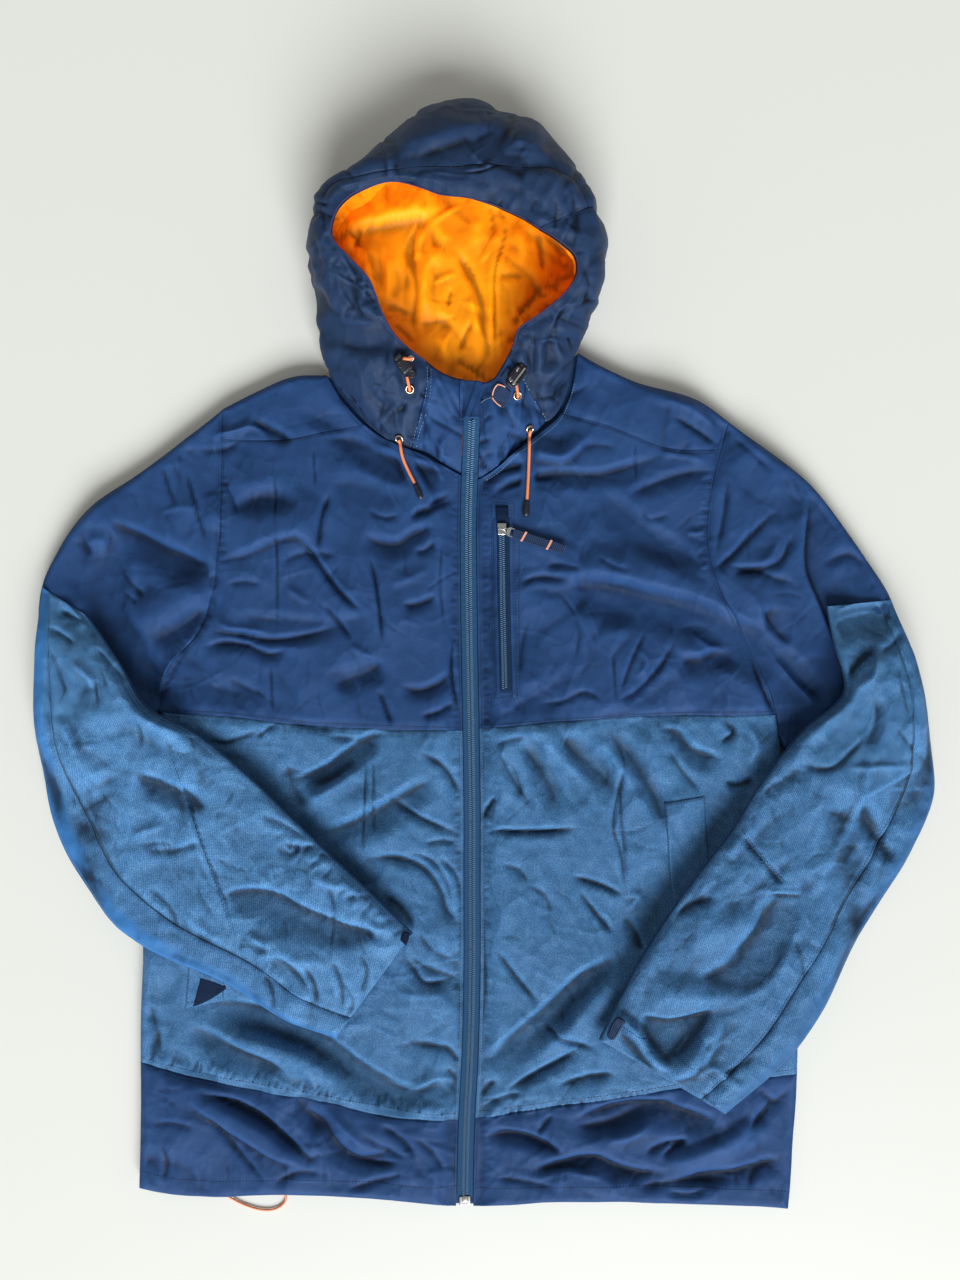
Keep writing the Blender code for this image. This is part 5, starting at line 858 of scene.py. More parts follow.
LINING_FOLDS = [
    ([(165, 575), (250, 568), (330, 552), (420, 530), (520, 512), (640, 492)], 4.2, 26, 7, 1.5),
    ([(190, 600), (260, 640), (330, 760), (350, 830)], 3.0, 6, 12, 1.2),
    ([(240, 560), (280, 640), (300, 700)], -2.4, 6, 7, 0.9),
    ([(205, 520), (270, 545), (300, 540)], -1.4, 5, 5, 0.8),
    ([(290, 450), (330, 480), (380, 520)], -1.4, 5, 6, 0.8),
    ([(380, 430), (440, 480), (500, 500)], -1.2, 5, 6, 0.8),
    ([(522, 520), (500, 640), (510, 740), (524, 830), (508, 950), (532, 1062)], -2.6, 8, 12, 1.2),
    ([(560, 560), (530, 640), (520, 720)], 1.8, 7, 7, 1.5),
    ([(440, 700), (446, 800), (425, 905)], -1.3, 9, 12, 2.0),
    ([(486, 740), (474, 850), (468, 930)], -1.2, 8, 9, 2.0),
    ([(400, 680), (410, 790), (395, 900)], 1.8, 8, 8, 1.5),
    ([(650, 648), (590, 700), (550, 790), (545, 870), (562, 940)], 3.0, 9, 16, 2.0),
    ([(655, 645), (700, 690), (745, 770), (785, 860), (800, 1000), (830, 1110)], -3.4, 8, 9, 1.0),
    ([(690, 700), (740, 740), (770, 800)], -1.4, 5, 6, 0.8),
    ([(740, 840), (760, 930), (775, 1010)], 1.8, 7, 7, 1.5),
    ([(892, 505), (884, 620), (852, 720), (845, 900), (850, 1165)], -2.2, 3, 4, 0.6),
    ([(870, 600), (835, 720), (828, 900), (834, 1100)], 1.2, 6, 6, 1.5),
    ([(512, 962), (560, 966), (620, 958), (668, 1002)], -1.8, 7, 16, 1.4),
    ([(700, 1085), (725, 1010), (757, 950)], -2.4, 5, 6, 0.8),
    ([(690, 1100), (720, 1140), (760, 1160)], -1.4, 5, 6, 0.9),
    ([(590, 1010), (640, 1080), (650, 1150)], 1.6, 8, 8, 1.5),
    ([(852, 772), (900, 766), (972, 772)], -1.1, 6, 8, 1.4),
    ([(1018, 572), (1036, 680), (1046, 765)], -2.8, 6, 6, 0.8),
    ([(940, 560), (960, 660), (955, 740)], 1.4, 8, 8, 2.0),
    ([(1060, 782), (1010, 850), (950, 920), (930, 990)], -2.6, 7, 7, 0.9),
    ([(955, 935), (1040, 880), (1110, 840), (1175, 770)], 2.6, 7, 7, 1.0),
    ([(1080, 800), (1120, 840), (1150, 830)], -1.8, 5, 5, 0.8),
    ([(1138, 652), (1180, 690), (1188, 740), (1168, 775)], 3.0, 5, 7, 0.9),
    ([(1040, 600), (1100, 650), (1130, 700)], -1.4, 6, 6, 1.0),
    ([(390, 890), (440, 900), (500, 935)], -1.6, 6, 12, 1.2),
    ([(420, 960), (470, 1000), (520, 1060)], -1.4, 6, 6, 1.0),
    ([(550, 560), (620, 600), (640, 640)], 1.2, 9, 9, 2.0),
    ([(780, 520), (760, 600), (800, 640)], 1.4, 10, 10, 3.0),
]
for field, win, rows in ((hood_f, WIN_E, HOOD_OUTSIDE), (front_f, WIN_F, COLLAR_ON_YOKE), (lining_f, WIN_E, LINING_FOLDS)):
    for line, height, left, right, crest in rows:
        field.stroke([(win[0] + x / win[2], win[1] + y / win[2]) for x, y in line], height * (2.0 if field is hood_f else 1.9), left, right, crest)
for line, height, left, right, crest in (
        ([(378, 172), (420, 160), (470, 154), (530, 152)], -6.5, 20, 10, 3.0),
        ([(478, 138), (500, 122), (530, 112)], -4.0, 14, 14, 4.0),
        ([(420, 146), (460, 132), (500, 122)], 3.0, 12, 12, 2.5),
        ([(336, 342), (362, 336), (392, 330)], -5.0, 10, 14, 2.0),
        ([(556, 318), (548, 355), (538, 395)], -5.5, 12, 9, 2.0),
        ([(575, 285), (590, 262), (596, 240)], -3.0, 9, 12, 2.0),
        ([(322, 260), (330, 290), (350, 318)], 3.2, 12, 12, 3.0)):
    hood_f.stroke(line, height, left, right, crest)
pucker(hood_f, 81, [(330, 232), (345, 262), (372, 290), (386, 325)], 5.0, 12, 1.2, side=1, width=(1.8, 3.6))
pucker(hood_f, 82, [(576, 268), (560, 300), (530, 325), (516, 345)], 6.0, 12, 1.0, width=(2.0, 4.0))
pucker(lining_f, 83, [(338, 220), (352, 250), (372, 285), (385, 320)], 4.6, 14, 1.6, width=(1.8, 3.6))
pucker(lining_f, 84, [(572, 262), (550, 290), (525, 315), (514, 340)], 6.0, 13, 1.2, width=(2.0, 4.0))
pucker(lining_f, 85, [(340, 210), (375, 190), (410, 186), (450, 200)], 7.0, 12, 1.0, width=(2.0, 4.0))
for seed, box, count, way, field in ((91, (305, 100, 605, 175), 40, -25, hood_f), (92, (305, 170, 400, 460), 80, 70, hood_f), (93, (500, 170, 610, 460), 80, 105, hood_f),
                                     (94, (380, 370, 540, 470), 60, 60, hood_f), (95, (325, 185, 585, 390), 60, None, lining_f)):
    crumple(field, seed, box, count, (10, 44), (0.6, 2.8), (2.2, 6.5), way, 2.2)
crumple(hood_f, 96, (300, 90, 615, 470), 40, (40, 90), (0.4, 1.5), (12, 24))
crumple(lining_f, 97, (325, 185, 585, 390), 30, (30, 80), (0.4, 1.5), (10, 22))

# small crinkles of the stiff cloth, most of them lying with the nearest big folds
for seed, box, count, way in ((51, (150, 400, 460, 735), 70, None), (52, (480, 400, 800, 735), 70, None),
                              (53, (140, 730, 462, 1120), 90, 25), (54, (482, 720, 800, 1120), 90, 40),
                              (55, (140, 1080, 462, 1200), 50, 20), (56, (482, 1090, 800, 1200), 50, -20),
                              (57, (40, 430, 230, 720), 40, 40), (58, (700, 430, 900, 700), 40, -60)):
    crumple(front_f, seed, box, count, (16, 60), (0.2, 0.9), (2.4, 6.0), way, 2.0)
for seed, box, count, way in ((61, (30, 560, 240, 900), 80, 50), (62, (140, 700, 430, 1040), 90, 40),
                              (63, (690, 600, 940, 900), 70, -50), (64, (590, 800, 860, 1120), 80, -45)):
    crumple(fore_f, seed, box, count, (14, 44), (0.25, 1.2), (2.4, 5.0), way, 2.0)
facets(front_f, 101, (140, 380, 468, 735), 60, (24, 60), 0.13, soft=3)
facets(front_f, 102, (475, 380, 800, 735), 60, (24, 60), 0.13, soft=3)
facets(front_f, 103, (130, 725, 468, 1100), 90, (16, 44), 0.15, way=30, soft=2)
facets(front_f, 104, (475, 715, 810, 1100), 90, (16, 44), 0.15, way=42, soft=2)
facets(front_f, 105, (130, 1085, 468, 1215), 40, (14, 40), 0.17, way=28, soft=2)
facets(front_f, 106, (475, 1085, 800, 1215), 40, (14, 40), 0.18, way=-22, soft=2)
facets(front_f, 107, (40, 400, 225, 730), 40, (18, 46), 0.14, way=40, soft=3)
facets(front_f, 108, (705, 400, 910, 730), 40, (18, 46), 0.14, way=-60, soft=3)
facets(front_f, 109, (130, 700, 810, 1215), 300, (6, 13), 0.10, stretch=(1.2, 2.4))
facets(fore_f, 111, (30, 560, 435, 1045), 110, (16, 42), 0.17, way=45, soft=2)
facets(fore_f, 112, (590, 585, 945, 1135), 110, (16, 42), 0.17, way=-52, soft=2)
facets(fore_f, 113, (30, 560, 945, 1135), 360, (6, 13), 0.11, stretch=(1.2, 2.4))
facets(hood_f, 114, (300, 90, 620, 470), 110, (12, 36), 0.24, soft=2)
facets(hood_f, 117, (300, 90, 620, 470), 160, (5, 12), 0.16)
facets(lining_f, 115, (320, 180, 590, 395), 90, (9, 26), 0.26, way=80)
# broad hollows and swells
front_f.a += (2.6 * value_noise(131, front_f.a.shape, (13, 10), 2)).astype(np.float32)
fore_f.a += (1.8 * value_noise(132, fore_f.a.shape, (15, 12), 2)).astype(np.float32)
hood_f.a += (2.0 * value_noise(133, hood_f.a.shape, (20, 16), 2)).astype(np.float32)
crumple(back_f, 73, (30, 60, 930, 1200), 260, (40, 160), (0.4, 2.4), (10, 26))
facets(back_f, 116, (30, 60, 930, 1200), 500, (14, 34), 0.10)

# calm places under the small hard pieces: x, y to x, y, reach
CALM_FRONT = [(504, 530, 506, 700, 10, 0.75), (500, 528, 570, 556, 9, 1.0), (398, 440, 424, 500, 8, 0.9), (529, 432, 527, 516, 8, 0.9), (470, 420, 472, 1200, 7, 0.6)]
CALM_HOOD = [(398, 436, 398, 436, 7, 1.0), (410, 392, 404, 366, 8, 1.0), (530, 430, 530, 430, 7, 1.0), (517, 394, 521, 368, 8, 1.0), (474, 372, 476, 425, 10, 1.0), (495, 390, 500, 384, 8, 1.0),
             (398, 436, 410, 465, 5, 0.9), (530, 430, 529, 470, 5, 0.9)]


def calm(field, zones):
    X, Y = np.meshgrid(np.arange(field.w) * field.STEP, np.arange(field.h) * field.STEP)
    for x0, y0, x1, y1, reach, share in zones:
        dx, dy = x1 - x0, y1 - y0
        q = np.clip(((X - x0) * dx + (Y - y0) * dy) / max(dx * dx + dy * dy, 1e-9), 0, 1)
        d = np.hypot(X - x0 - q * dx, Y - y0 - q * dy)
        field.a *= (1 - share * (1 - ease((d - reach * 0.5) / reach))).astype(np.float32)


calm(front_f, CALM_FRONT)
calm(hood_f, CALM_HOOD)
# STROKES-END

# ---------------------------------------------------------------- materials


def nodes_of(name):
    m = bpy.data.materials.new(name)
    m.use_nodes = True
    t = m.node_tree
    return m, t, t.nodes["Principled BSDF"]


def link(t, a, b):
    t.links.new(a, b)


def math_node(t, op, a, b=None, c=None):
    n = t.nodes.new("ShaderNodeMath")
    n.operation = op
    for i, v in enumerate((a, b, c)):
        if v is None:
            continue
        if isinstance(v, (int, float)):
            n.inputs[i].default_value = v
        else:
            t.links.new(v, n.inputs[i])
    return n.outputs[0]


def noise_node(t, vec, scale, detail=2.0, rough=0.5, dist=0.0):
    n = t.nodes.new("ShaderNodeTexNoise")
    n.inputs["Scale"].default_value = scale
    n.inputs["Detail"].default_value = detail
    n.inputs["Roughness"].default_value = rough
    n.inputs["Distortion"].default_value = dist
    t.links.new(vec, n.inputs["Vector"])
    return n.outputs["Fac"]


def ramp(t, fac, stops):
    n = t.nodes.new("ShaderNodeValToRGB")
    e = n.color_ramp.elements
    while len(e) < len(stops):
        e.new(0.5)
    for el, (pos, col) in zip(e, stops):
        el.position = pos
        el.color = (*col, 1)
    t.links.new(fac, n.inputs["Fac"])
    return n.outputs["Color"]


def mix_colour(t, fac, a, b, mode="MIX"):
    n = t.nodes.new("ShaderNodeMix")
    n.data_type = "RGBA"
    n.blend_type = mode
    for sock, v in ((n.inputs["Factor"], fac), (n.inputs[6], a), (n.inputs[7], b)):
        if isinstance(v, tuple):
            sock.default_value = (*v, 1)
        elif isinstance(v, (int, float)):
            sock.default_value = v
        else:
            t.links.new(v, sock)
    return n.outputs[2]


def bump(t, height, strength, distance, normal=None):
    n = t.nodes.new("ShaderNodeBump")
    n.inputs["Strength"].default_value = strength
    n.inputs["Distance"].default_value = distance
    t.links.new(height, n.inputs["Height"])
    if normal is not None:
        t.links.new(normal, n.inputs["Normal"])
    return n.outputs["Normal"]


def threads(t, uv, pitch, along, across, sharp=1.0):
    """Sine ribs of one thread family; along and across are the direction's parts."""
    sep = t.nodes.new("ShaderNodeSeparateXYZ")
    t.links.new(uv, sep.inputs[0])
    a = math_node(t, "MULTIPLY", sep.outputs[0], along * 2 * math.pi / pitch)
    b = math_node(t, "MULTIPLY", sep.outputs[1], across * 2 * math.pi / pitch)
    return math_node(t, "SINE", math_node(t, "ADD", a, b))


def crumpled(t, ob, height, scale, depth, keep=0.5, wander=0.012, normal=None):
    """Cells with straight valleys between them, as stiff coated cloth breaks when it is crumpled."""
    d = noise_node(t, ob, scale * 0.4, 2.0, 0.5)
    add = t.nodes.new("ShaderNodeVectorMath")
    add.operation = "MULTIPLY_ADD"
    t.links.new(d.node.outputs["Color"], add.inputs[0])
    add.inputs[1].default_value = (wander, wander, wander)
    t.links.new(ob, add.inputs[2])
    flat = t.nodes.new("ShaderNodeVectorMath")
    flat.operation = "MULTIPLY"
    flat.inputs[1].default_value = (1.0, 0.62, 0.25)
    t.links.new(add.outputs[0], flat.inputs[0])
    v = t.nodes.new("ShaderNodeTexVoronoi")
    v.inputs["Scale"].default_value = scale
    t.links.new(flat.outputs[0], v.inputs["Vector"])
    patch = noise_node(t, ob, scale * 0.22, 2.0, 0.6)
    share = math_node(t, "MAXIMUM", math_node(t, "MULTIPLY_ADD", patch, 3.4, -1.7 + keep), 0.04)
    share = math_node(t, "MINIMUM", share, 1.0)
    return bump(t, math_node(t, "MULTIPLY", v.outputs["Distance"], share), height, depth, normal)


def paint_fold_shading(t, colour, share):
    """Painted shade down in the cloth's folds and a little painted highlight along their crests, scaled by the
    per-point fold-depth attribute.
    """
    a = t.nodes.new("ShaderNodeAttribute")
    a.attribute_name = "painted_fold_shading"
    down = math_node(t, "MAXIMUM", a.outputs["Fac"], 0.0)
    up = math_node(t, "MAXIMUM", math_node(t, "MULTIPLY", a.outputs["Fac"], -1.0), 0.0)
    k = math_node(t, "ADD", math_node(t, "MULTIPLY_ADD", down, -share, 1.0), math_node(t, "MULTIPLY", up, 0.22))
    n = t.nodes.new("ShaderNodeVectorMath")
    n.operation = "SCALE"
    t.links.new(colour, n.inputs[0])
    t.links.new(k, n.inputs["Scale"])
    return n.outputs[0]


def plain_fabric(name, colour, light, rough=0.52, sheen=0.25, pitch=0.0009, weave=0.25, crinkle=0.5, spec=0.5, tint=(0.55, 0.65, 0.9), crumple_by=0.0, folds=0.6):
    """Plain weave: two crossing thread families, mottled colour, fine crinkle."""
    m, t, b = nodes_of(name)
    co = t.nodes.new("ShaderNodeTexCoord")
    uv, ob = co.outputs["UV"], co.outputs["Object"]
    warp, weft = threads(t, uv, pitch, 1, 0), threads(t, uv, pitch, 0, 1)
    cloth = math_node(t, "MULTIPLY", warp, weft)
    big = noise_node(t, ob, 14.0, 3.0, 0.55)
    fine = noise_node(t, ob, 240.0, 2.0, 0.5)
    base = mix_colour(t, math_node(t, "MULTIPLY_ADD", big, 1.3, -0.25), colour, light)
    speck = mix_colour(t, math_node(t, "MULTIPLY_ADD", cloth, 0.10, 0.10), base, tuple(min(1.0, 1.7 * c + 0.01) for c in light))
    # painted shade in the folds and painted highlight on the crests; folds sets how far the painted shade darkens
    t.links.new(paint_fold_shading(t, speck, folds), b.inputs["Base Color"])
    t.links.new(math_node(t, "MULTIPLY_ADD", fine, 0.14, rough - 0.07), b.inputs["Roughness"])
    b.inputs["Specular IOR Level"].default_value = spec
    b.inputs["Sheen Weight"].default_value = sheen
    b.inputs["Sheen Roughness"].default_value = 0.45
    b.inputs["Sheen Tint"].default_value = (*tint, 1)
    cr = noise_node(t, ob, 95.0, 4.0, 0.6, 1.2)
    n1 = bump(t, cr, crinkle, 0.0012)
    if crumple_by:
        n1 = crumpled(t, ob, 1.0, 34.0, 0.0062 * crumple_by, 0.45, 0.016, n1)
        n1 = crumpled(t, ob, 1.0, 92.0, 0.0021 * crumple_by, 0.40, 0.008, n1)
    t.links.new(bump(t, cloth, weave, 0.00008, n1), b.inputs["Normal"])
    return m


def heather_fabric(name, dark, mid, light, turn=1, plain=None):
    """Two-tone twill: fine diagonal ribs of light yarn over dark, broken up as heather yarn is."""
    m, t, b = nodes_of(name)
    co = t.nodes.new("ShaderNodeTexCoord")
    uv, ob = co.outputs["UV"], co.outputs["Object"]
    rib = threads(t, uv, 0.00155, 0.7071, 0.7071 * turn)
    cross = threads(t, uv, 0.0016, 0.7071, -0.7071 * turn)
    yarn = noise_node(t, uv, 650.0, 2.0, 0.6)
    slub = noise_node(t, uv, 90.0, 3.0, 0.6)
    tw = math_node(t, "ADD", math_node(t, "MULTIPLY", rib, 0.55), math_node(t, "MULTIPLY", cross, 0.35))
    tone = math_node(t, "ADD", math_node(t, "MULTIPLY_ADD", tw, 0.15, 0.205), math_node(t, "MULTIPLY", yarn, 0.62))
    tone = math_node(t, "ADD", tone, math_node(t, "MULTIPLY_ADD", slub, 0.30, -0.15))
    col = ramp(t, tone, [(0.22, dark), (0.5, mid), (0.80, light)])
    if plain:
        a = t.nodes.new("ShaderNodeAttribute")
        a.attribute_name = "strip"
        worn = math_node(t, "MULTIPLY_ADD", noise_node(t, ob, 30.0, 3.0, 0.6), 0.5, -0.25)
        far = math_node(t, "ADD", a.outputs["Fac"], worn)
        col = mix_colour(t, math_node(t, "MULTIPLY_ADD", far, 5.0, -1.5), col, mix_colour(t, slub, plain[0], plain[1]))
    # painted shade in the folds and painted highlight on the crests
    t.links.new(paint_fold_shading(t, col, 0.62), b.inputs["Base Color"])
    b.inputs["Specular IOR Level"].default_value = 0.2
    fine = noise_node(t, ob, 240.0, 2.0, 0.5)
    t.links.new(math_node(t, "MULTIPLY_ADD", fine, 0.16, 0.56), b.inputs["Roughness"])
    b.inputs["Sheen Weight"].default_value = 0.12
    b.inputs["Sheen Roughness"].default_value = 0.4
    b.inputs["Sheen Tint"].default_value = (0.6, 0.8, 1.0, 1)
    cr = noise_node(t, ob, 90.0, 4.0, 0.6, 1.0)
    n1 = bump(t, cr, 0.45, 0.0011)
    n1 = crumpled(t, ob, 1.0, 38.0, 0.0062, 0.5, 0.016, n1)
    n1 = crumpled(t, ob, 1.0, 100.0, 0.0022, 0.45, 0.008, n1)
    t.links.new(bump(t, tw, 0.35, 0.00012, n1), b.inputs["Normal"])
    return m


def ribbed(name, colour, light, pitch, rough, along=0.0, across=1.0, strength=0.6, depth=0.0003, sheen=0.1):
    m, t, b = nodes_of(name)
    co = t.nodes.new("ShaderNodeTexCoord")
    uv, ob = co.outputs["UV"], co.outputs["Object"]
    rib = threads(t, uv, pitch, along, across)
    n = noise_node(t, ob, 300.0, 3.0, 0.6)
    tone = math_node(t, "ADD", math_node(t, "MULTIPLY_ADD", rib, 0.25, 0.25), math_node(t, "MULTIPLY", n, 0.5))
    t.links.new(mix_colour(t, tone, colour, light), b.inputs["Base Color"])
    b.inputs["Roughness"].default_value = rough
    b.inputs["Specular IOR Level"].default_value = 0.12
    b.inputs["Sheen Weight"].default_value = sheen
    t.links.new(bump(t, rib, strength, depth), b.inputs["Normal"])
    return m


def hard(name, colour, rough, metallic=0.0, grain=160.0, coat=0.0, worn=None):
    m, t, b = nodes_of(name)
    co = t.nodes.new("ShaderNodeTexCoord")
    ob = co.outputs["Object"]
    n = noise_node(t, ob, grain, 4.0, 0.6)
    t.links.new(mix_colour(t, math_node(t, "MULTIPLY_ADD", n, 1.4, -0.3), tuple(0.82 * c for c in colour),
                           worn or tuple(min(1.0, 1.15 * c) for c in colour)), b.inputs["Base Color"])
    t.links.new(math_node(t, "MULTIPLY_ADD", n, 0.2, rough - 0.1), b.inputs["Roughness"])
    b.inputs["Metallic"].default_value = metallic
    b.inputs["Coat Weight"].default_value = coat
    t.links.new(bump(t, noise_node(t, ob, grain * 6, 2.0, 0.5), 0.25, 0.00005), b.inputs["Normal"])
    return m


NAVY = plain_fabric("navy_cloth", (0.010, 0.037, 0.116), (0.019, 0.060, 0.176), rough=0.60, spec=0.13, sheen=0.045, crinkle=0.25, crumple_by=1.0)
# the navy painted darker and greyer for the hood: painted shade, with deeper painted shade in its folds
NAVY_PAINTED_SHADE_HOOD = plain_fabric("navy_hood_painted_shade", (0.007, 0.021, 0.058), (0.015, 0.038, 0.098), rough=0.56, spec=0.16, sheen=0.04, crinkle=0.25, crumple_by=1.25, folds=0.75)
HEATHER = heather_fabric("heather_cloth", (0.009, 0.055, 0.152), (0.033, 0.118, 0.268), (0.120, 0.275, 0.495))
# the same heather painted lighter for the left forearm: painted light, for the brighter light that falls there
HEATHER_PAINTED_LIT_L = heather_fabric("heather_sleeve_painted_lit_L", (0.013, 0.071, 0.190), (0.046, 0.152, 0.335), (0.150, 0.335, 0.580))
# left under sleeve: heather and plain strip painted lighter than the right's, as painted light
UNDER_PAINTED_LIT_L = heather_fabric("under_sleeve_painted_lit_L", (0.011, 0.062, 0.170), (0.040, 0.135, 0.305), (0.130, 0.300, 0.530), plain=((0.024, 0.125, 0.330), (0.040, 0.170, 0.430)))
UNDER_R = heather_fabric("under_sleeve_R", (0.009, 0.055, 0.152), (0.033, 0.118, 0.268), (0.120, 0.275, 0.495), plain=((0.020, 0.084, 0.215), (0.040, 0.130, 0.300)))
BLUE = plain_fabric("blue_cloth", (0.022, 0.084, 0.215), (0.042, 0.130, 0.300), rough=0.62, spec=0.25, sheen=0.12, tint=(0.6, 0.8, 1.0), crumple_by=1.1)
ORANGE = plain_fabric("orange_satin", (0.98, 0.225, 0.001), (1.0, 0.40, 0.003), rough=0.55, sheen=0.06, pitch=0.0006,
                      weave=0.12, crinkle=0.2, spec=0.18, tint=(1.0, 0.8, 0.4), crumple_by=0.8, folds=0.42)
TAPE = ribbed("zip_tape_weave", (0.010, 0.046, 0.120), (0.028, 0.098, 0.215), 0.0011, 0.7, sheen=0.03)
TAPE_NAVY = ribbed("chest_tape_weave", (0.003, 0.014, 0.044), (0.008, 0.030, 0.082), 0.0011, 0.7, sheen=0.02)
TAPE_DARK = hard("dark_enamel", (0.010, 0.030, 0.062), 0.4)
# near-black colour for the discs inside the eyelets, painted shade in their holes
HOLE = hard("eyelet_painted_shade", (0.003, 0.005, 0.012), 0.8)
# near-black navy: own colour of the chest zip's garage and the cuff tip, and painted shade on the sheet in the pocket's
# mouth
NAVY_DARK_AND_SHADE = plain_fabric("dark_navy_and_painted_shade", (0.002, 0.008, 0.026), (0.004, 0.014, 0.044), rough=0.75, spec=0.08, sheen=0.02, crinkle=0.2)
COIL = hard("coil_nylon", (0.15, 0.30, 0.50), 0.30)
SILVER = hard("polished_metal", (0.72, 0.72, 0.70), 0.25, 1.0)
COPPER = hard("copper_plate", (0.86, 0.66, 0.52), 0.25, 1.0)
BLACK = hard("black_plastic", (0.012, 0.014, 0.022), 0.35)
WEB = ribbed("ribbed_webbing", (0.010, 0.022, 0.065), (0.03, 0.06, 0.14), 0.0016, 0.65, along=1.0, across=0.0, strength=0.9)
PIPING = ribbed("rim_binding_cloth", (0.022, 0.022, 0.075), (0.045, 0.045, 0.14), 0.0014, 0.6)
THREAD_NAVY = hard("thread_navy", (0.004, 0.009, 0.030), 0.7)
THREAD_BLUE = hard("thread_blue", (0.010, 0.035, 0.105), 0.7)
THREAD_PALE = hard("thread_pale", (0.13, 0.25, 0.42), 0.6)
PALE_CORAL = hard("pale_coral_thread", (0.90, 0.42, 0.30), 0.6)


def cord_material():
    """Braid: mottled coral colour with a fine cell bump for its strands."""
    m, t, b = nodes_of("coral_braid")
    co = t.nodes.new("ShaderNodeTexCoord")
    ob = co.outputs["Object"]
    n = noise_node(t, ob, 700.0, 3.0, 0.6)
    t.links.new(mix_colour(t, n, (0.74, 0.17, 0.055), (0.98, 0.34, 0.14)), b.inputs["Base Color"])
    b.inputs["Roughness"].default_value = 0.6
    w = t.nodes.new("ShaderNodeTexVoronoi")
    w.inputs["Scale"].default_value = 1400.0
    t.links.new(ob, w.inputs["Vector"])
    t.links.new(bump(t, w.outputs["Distance"], 0.7, 0.0002), b.inputs["Normal"])
    return m


CORAL = cord_material()


# ---------------------------------------------------------------- making pieces
made = {}


def smoothed(z, rounds=2):
    for _ in range(rounds):
        p = np.pad(z, 1, mode="edge")
        z = 0.4 * z + 0.15 * (p[:-2, 1:-1] + p[2:, 1:-1] + p[1:-1, :-2] + p[1:-1, 2:])
    return z


def painted_fold_shading(h):
    """How far each point of a height grid lies below its neighbourhood, near and wide, -1 to 1; the meshes carry it to
    paint shade into the folds and a highlight onto the crests.
    """
    near, wide = smoothed(h, 4) - h, smoothed(h, 60) - h
    return np.clip(near / 0.5, -1, 1) * 0.6 + np.clip(wide / 2.8, -1, 1) * 0.7


def object_from(name, verts, faces, mat, uv=None, body=BODY, node=None, slot=None, smooth=75, cav=None):
    me = bpy.data.meshes.new(name)
    v = (np.asarray(verts, float) - np.array([CENTRE[0], CENTRE[1], 0])) * MM
    me.from_pydata(v.tolist(), [], [list(map(int, f)) for f in faces])
    me.update()
    if uv is not None:
        layer = me.uv_layers.new(name="cloth")
        loops = np.zeros(len(me.loops), np.int32)
        me.loops.foreach_get("vertex_index", loops)
        layer.data.foreach_set("uv", (np.asarray(uv, float)[loops] * MM).ravel())
    me.materials.append(mat)
    # per-point values with which the cloth materials paint shade into the folds and a highlight onto the crests
    if cav is not None:
        me.attributes.new("painted_fold_shading", "FLOAT", "POINT").data.foreach_set("value", np.asarray(cav, np.float32))
    if smooth:
        me.shade_smooth()
        me.set_sharp_from_angle(angle=math.radians(smooth))
    ob = bpy.data.objects.new(name, me)
    bpy.context.scene.collection.objects.link(ob)
    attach(ob, body)
    if node:
        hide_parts(*([node] if isinstance(node, str) else node))
    made[name] = ob
    return ob


def shell(name, low, high, mat, flat=(), uv=None, cav=None, **kw):
    """Closed shell between two grids [v][u][xyz]; a side named in flat is one face."""
    nv, nu = low.shape[:2]
    a = low[nv // 2 + 1, nu // 2] - low[nv // 2 - 1, nu // 2]
    b = low[nv // 2, nu // 2 + 1] - low[nv // 2, nu // 2 - 1]
    flip = float(np.dot(np.cross(b, a), high[nv // 2, nu // 2] - low[nv // 2, nu // 2])) < 0
    off = nv * nu
    verts = np.concatenate([low.reshape(-1, 3), high.reshape(-1, 3)])
    idx = np.arange(off).reshape(nv, nu)
    A, B, C, D = idx[:-1, :-1].ravel(), idx[:-1, 1:].ravel(), idx[1:, 1:].ravel(), idx[1:, :-1].ravel()
    faces = []
    ring = np.concatenate([idx[0, :], idx[1:, -1], idx[-1, -2::-1], idx[-2:0:-1, 0]])
    if "high" in flat:
        faces.append((ring + off).tolist())
    else:
        faces += (np.stack([A, B, C, D], 1) + off).tolist()
    if "low" in flat:
        faces.append(ring[::-1].tolist())
    else:
        faces += np.stack([A, D, C, B], 1).tolist()
    nxt = np.roll(ring, -1)
    faces += np.stack([ring, nxt, nxt + off, ring + off], 1).tolist()
    if flip:
        faces = [f[::-1] for f in faces]
    used = np.zeros(2 * off, bool)
    for f in faces if flat else []:
        used[f] = True
    if not flat:
        used[:] = True
    place = np.cumsum(used) - 1
    faces = [[int(place[k]) for k in f] for f in faces] if flat else faces
    if uv is None:
        uv = low[..., :2]
    uv2 = np.concatenate([uv.reshape(-1, 2), uv.reshape(-1, 2)])
    if cav is not None:
        kw["cav"] = np.concatenate([cav.ravel(), cav.ravel()])[used]
    return object_from(name, verts[used], faces, mat, uv=uv2[used], **kw)


def with_z(g, z):
    return np.concatenate([g, np.broadcast_to(z, g.shape[:2])[..., None]], axis=2)


def flat_area(g):
    """Area of a plan grid, square metres."""
    a, b, c, d = g[:-1, :-1], g[:-1, 1:], g[1:, 1:], g[1:, :-1]
    cr = lambda p, q: p[..., 0] * q[..., 1] - p[..., 1] * q[..., 0]
    return float(np.abs(0.5 * (cr(b - a, c - a) + cr(c - a, d - a))).sum()) * 1e-6


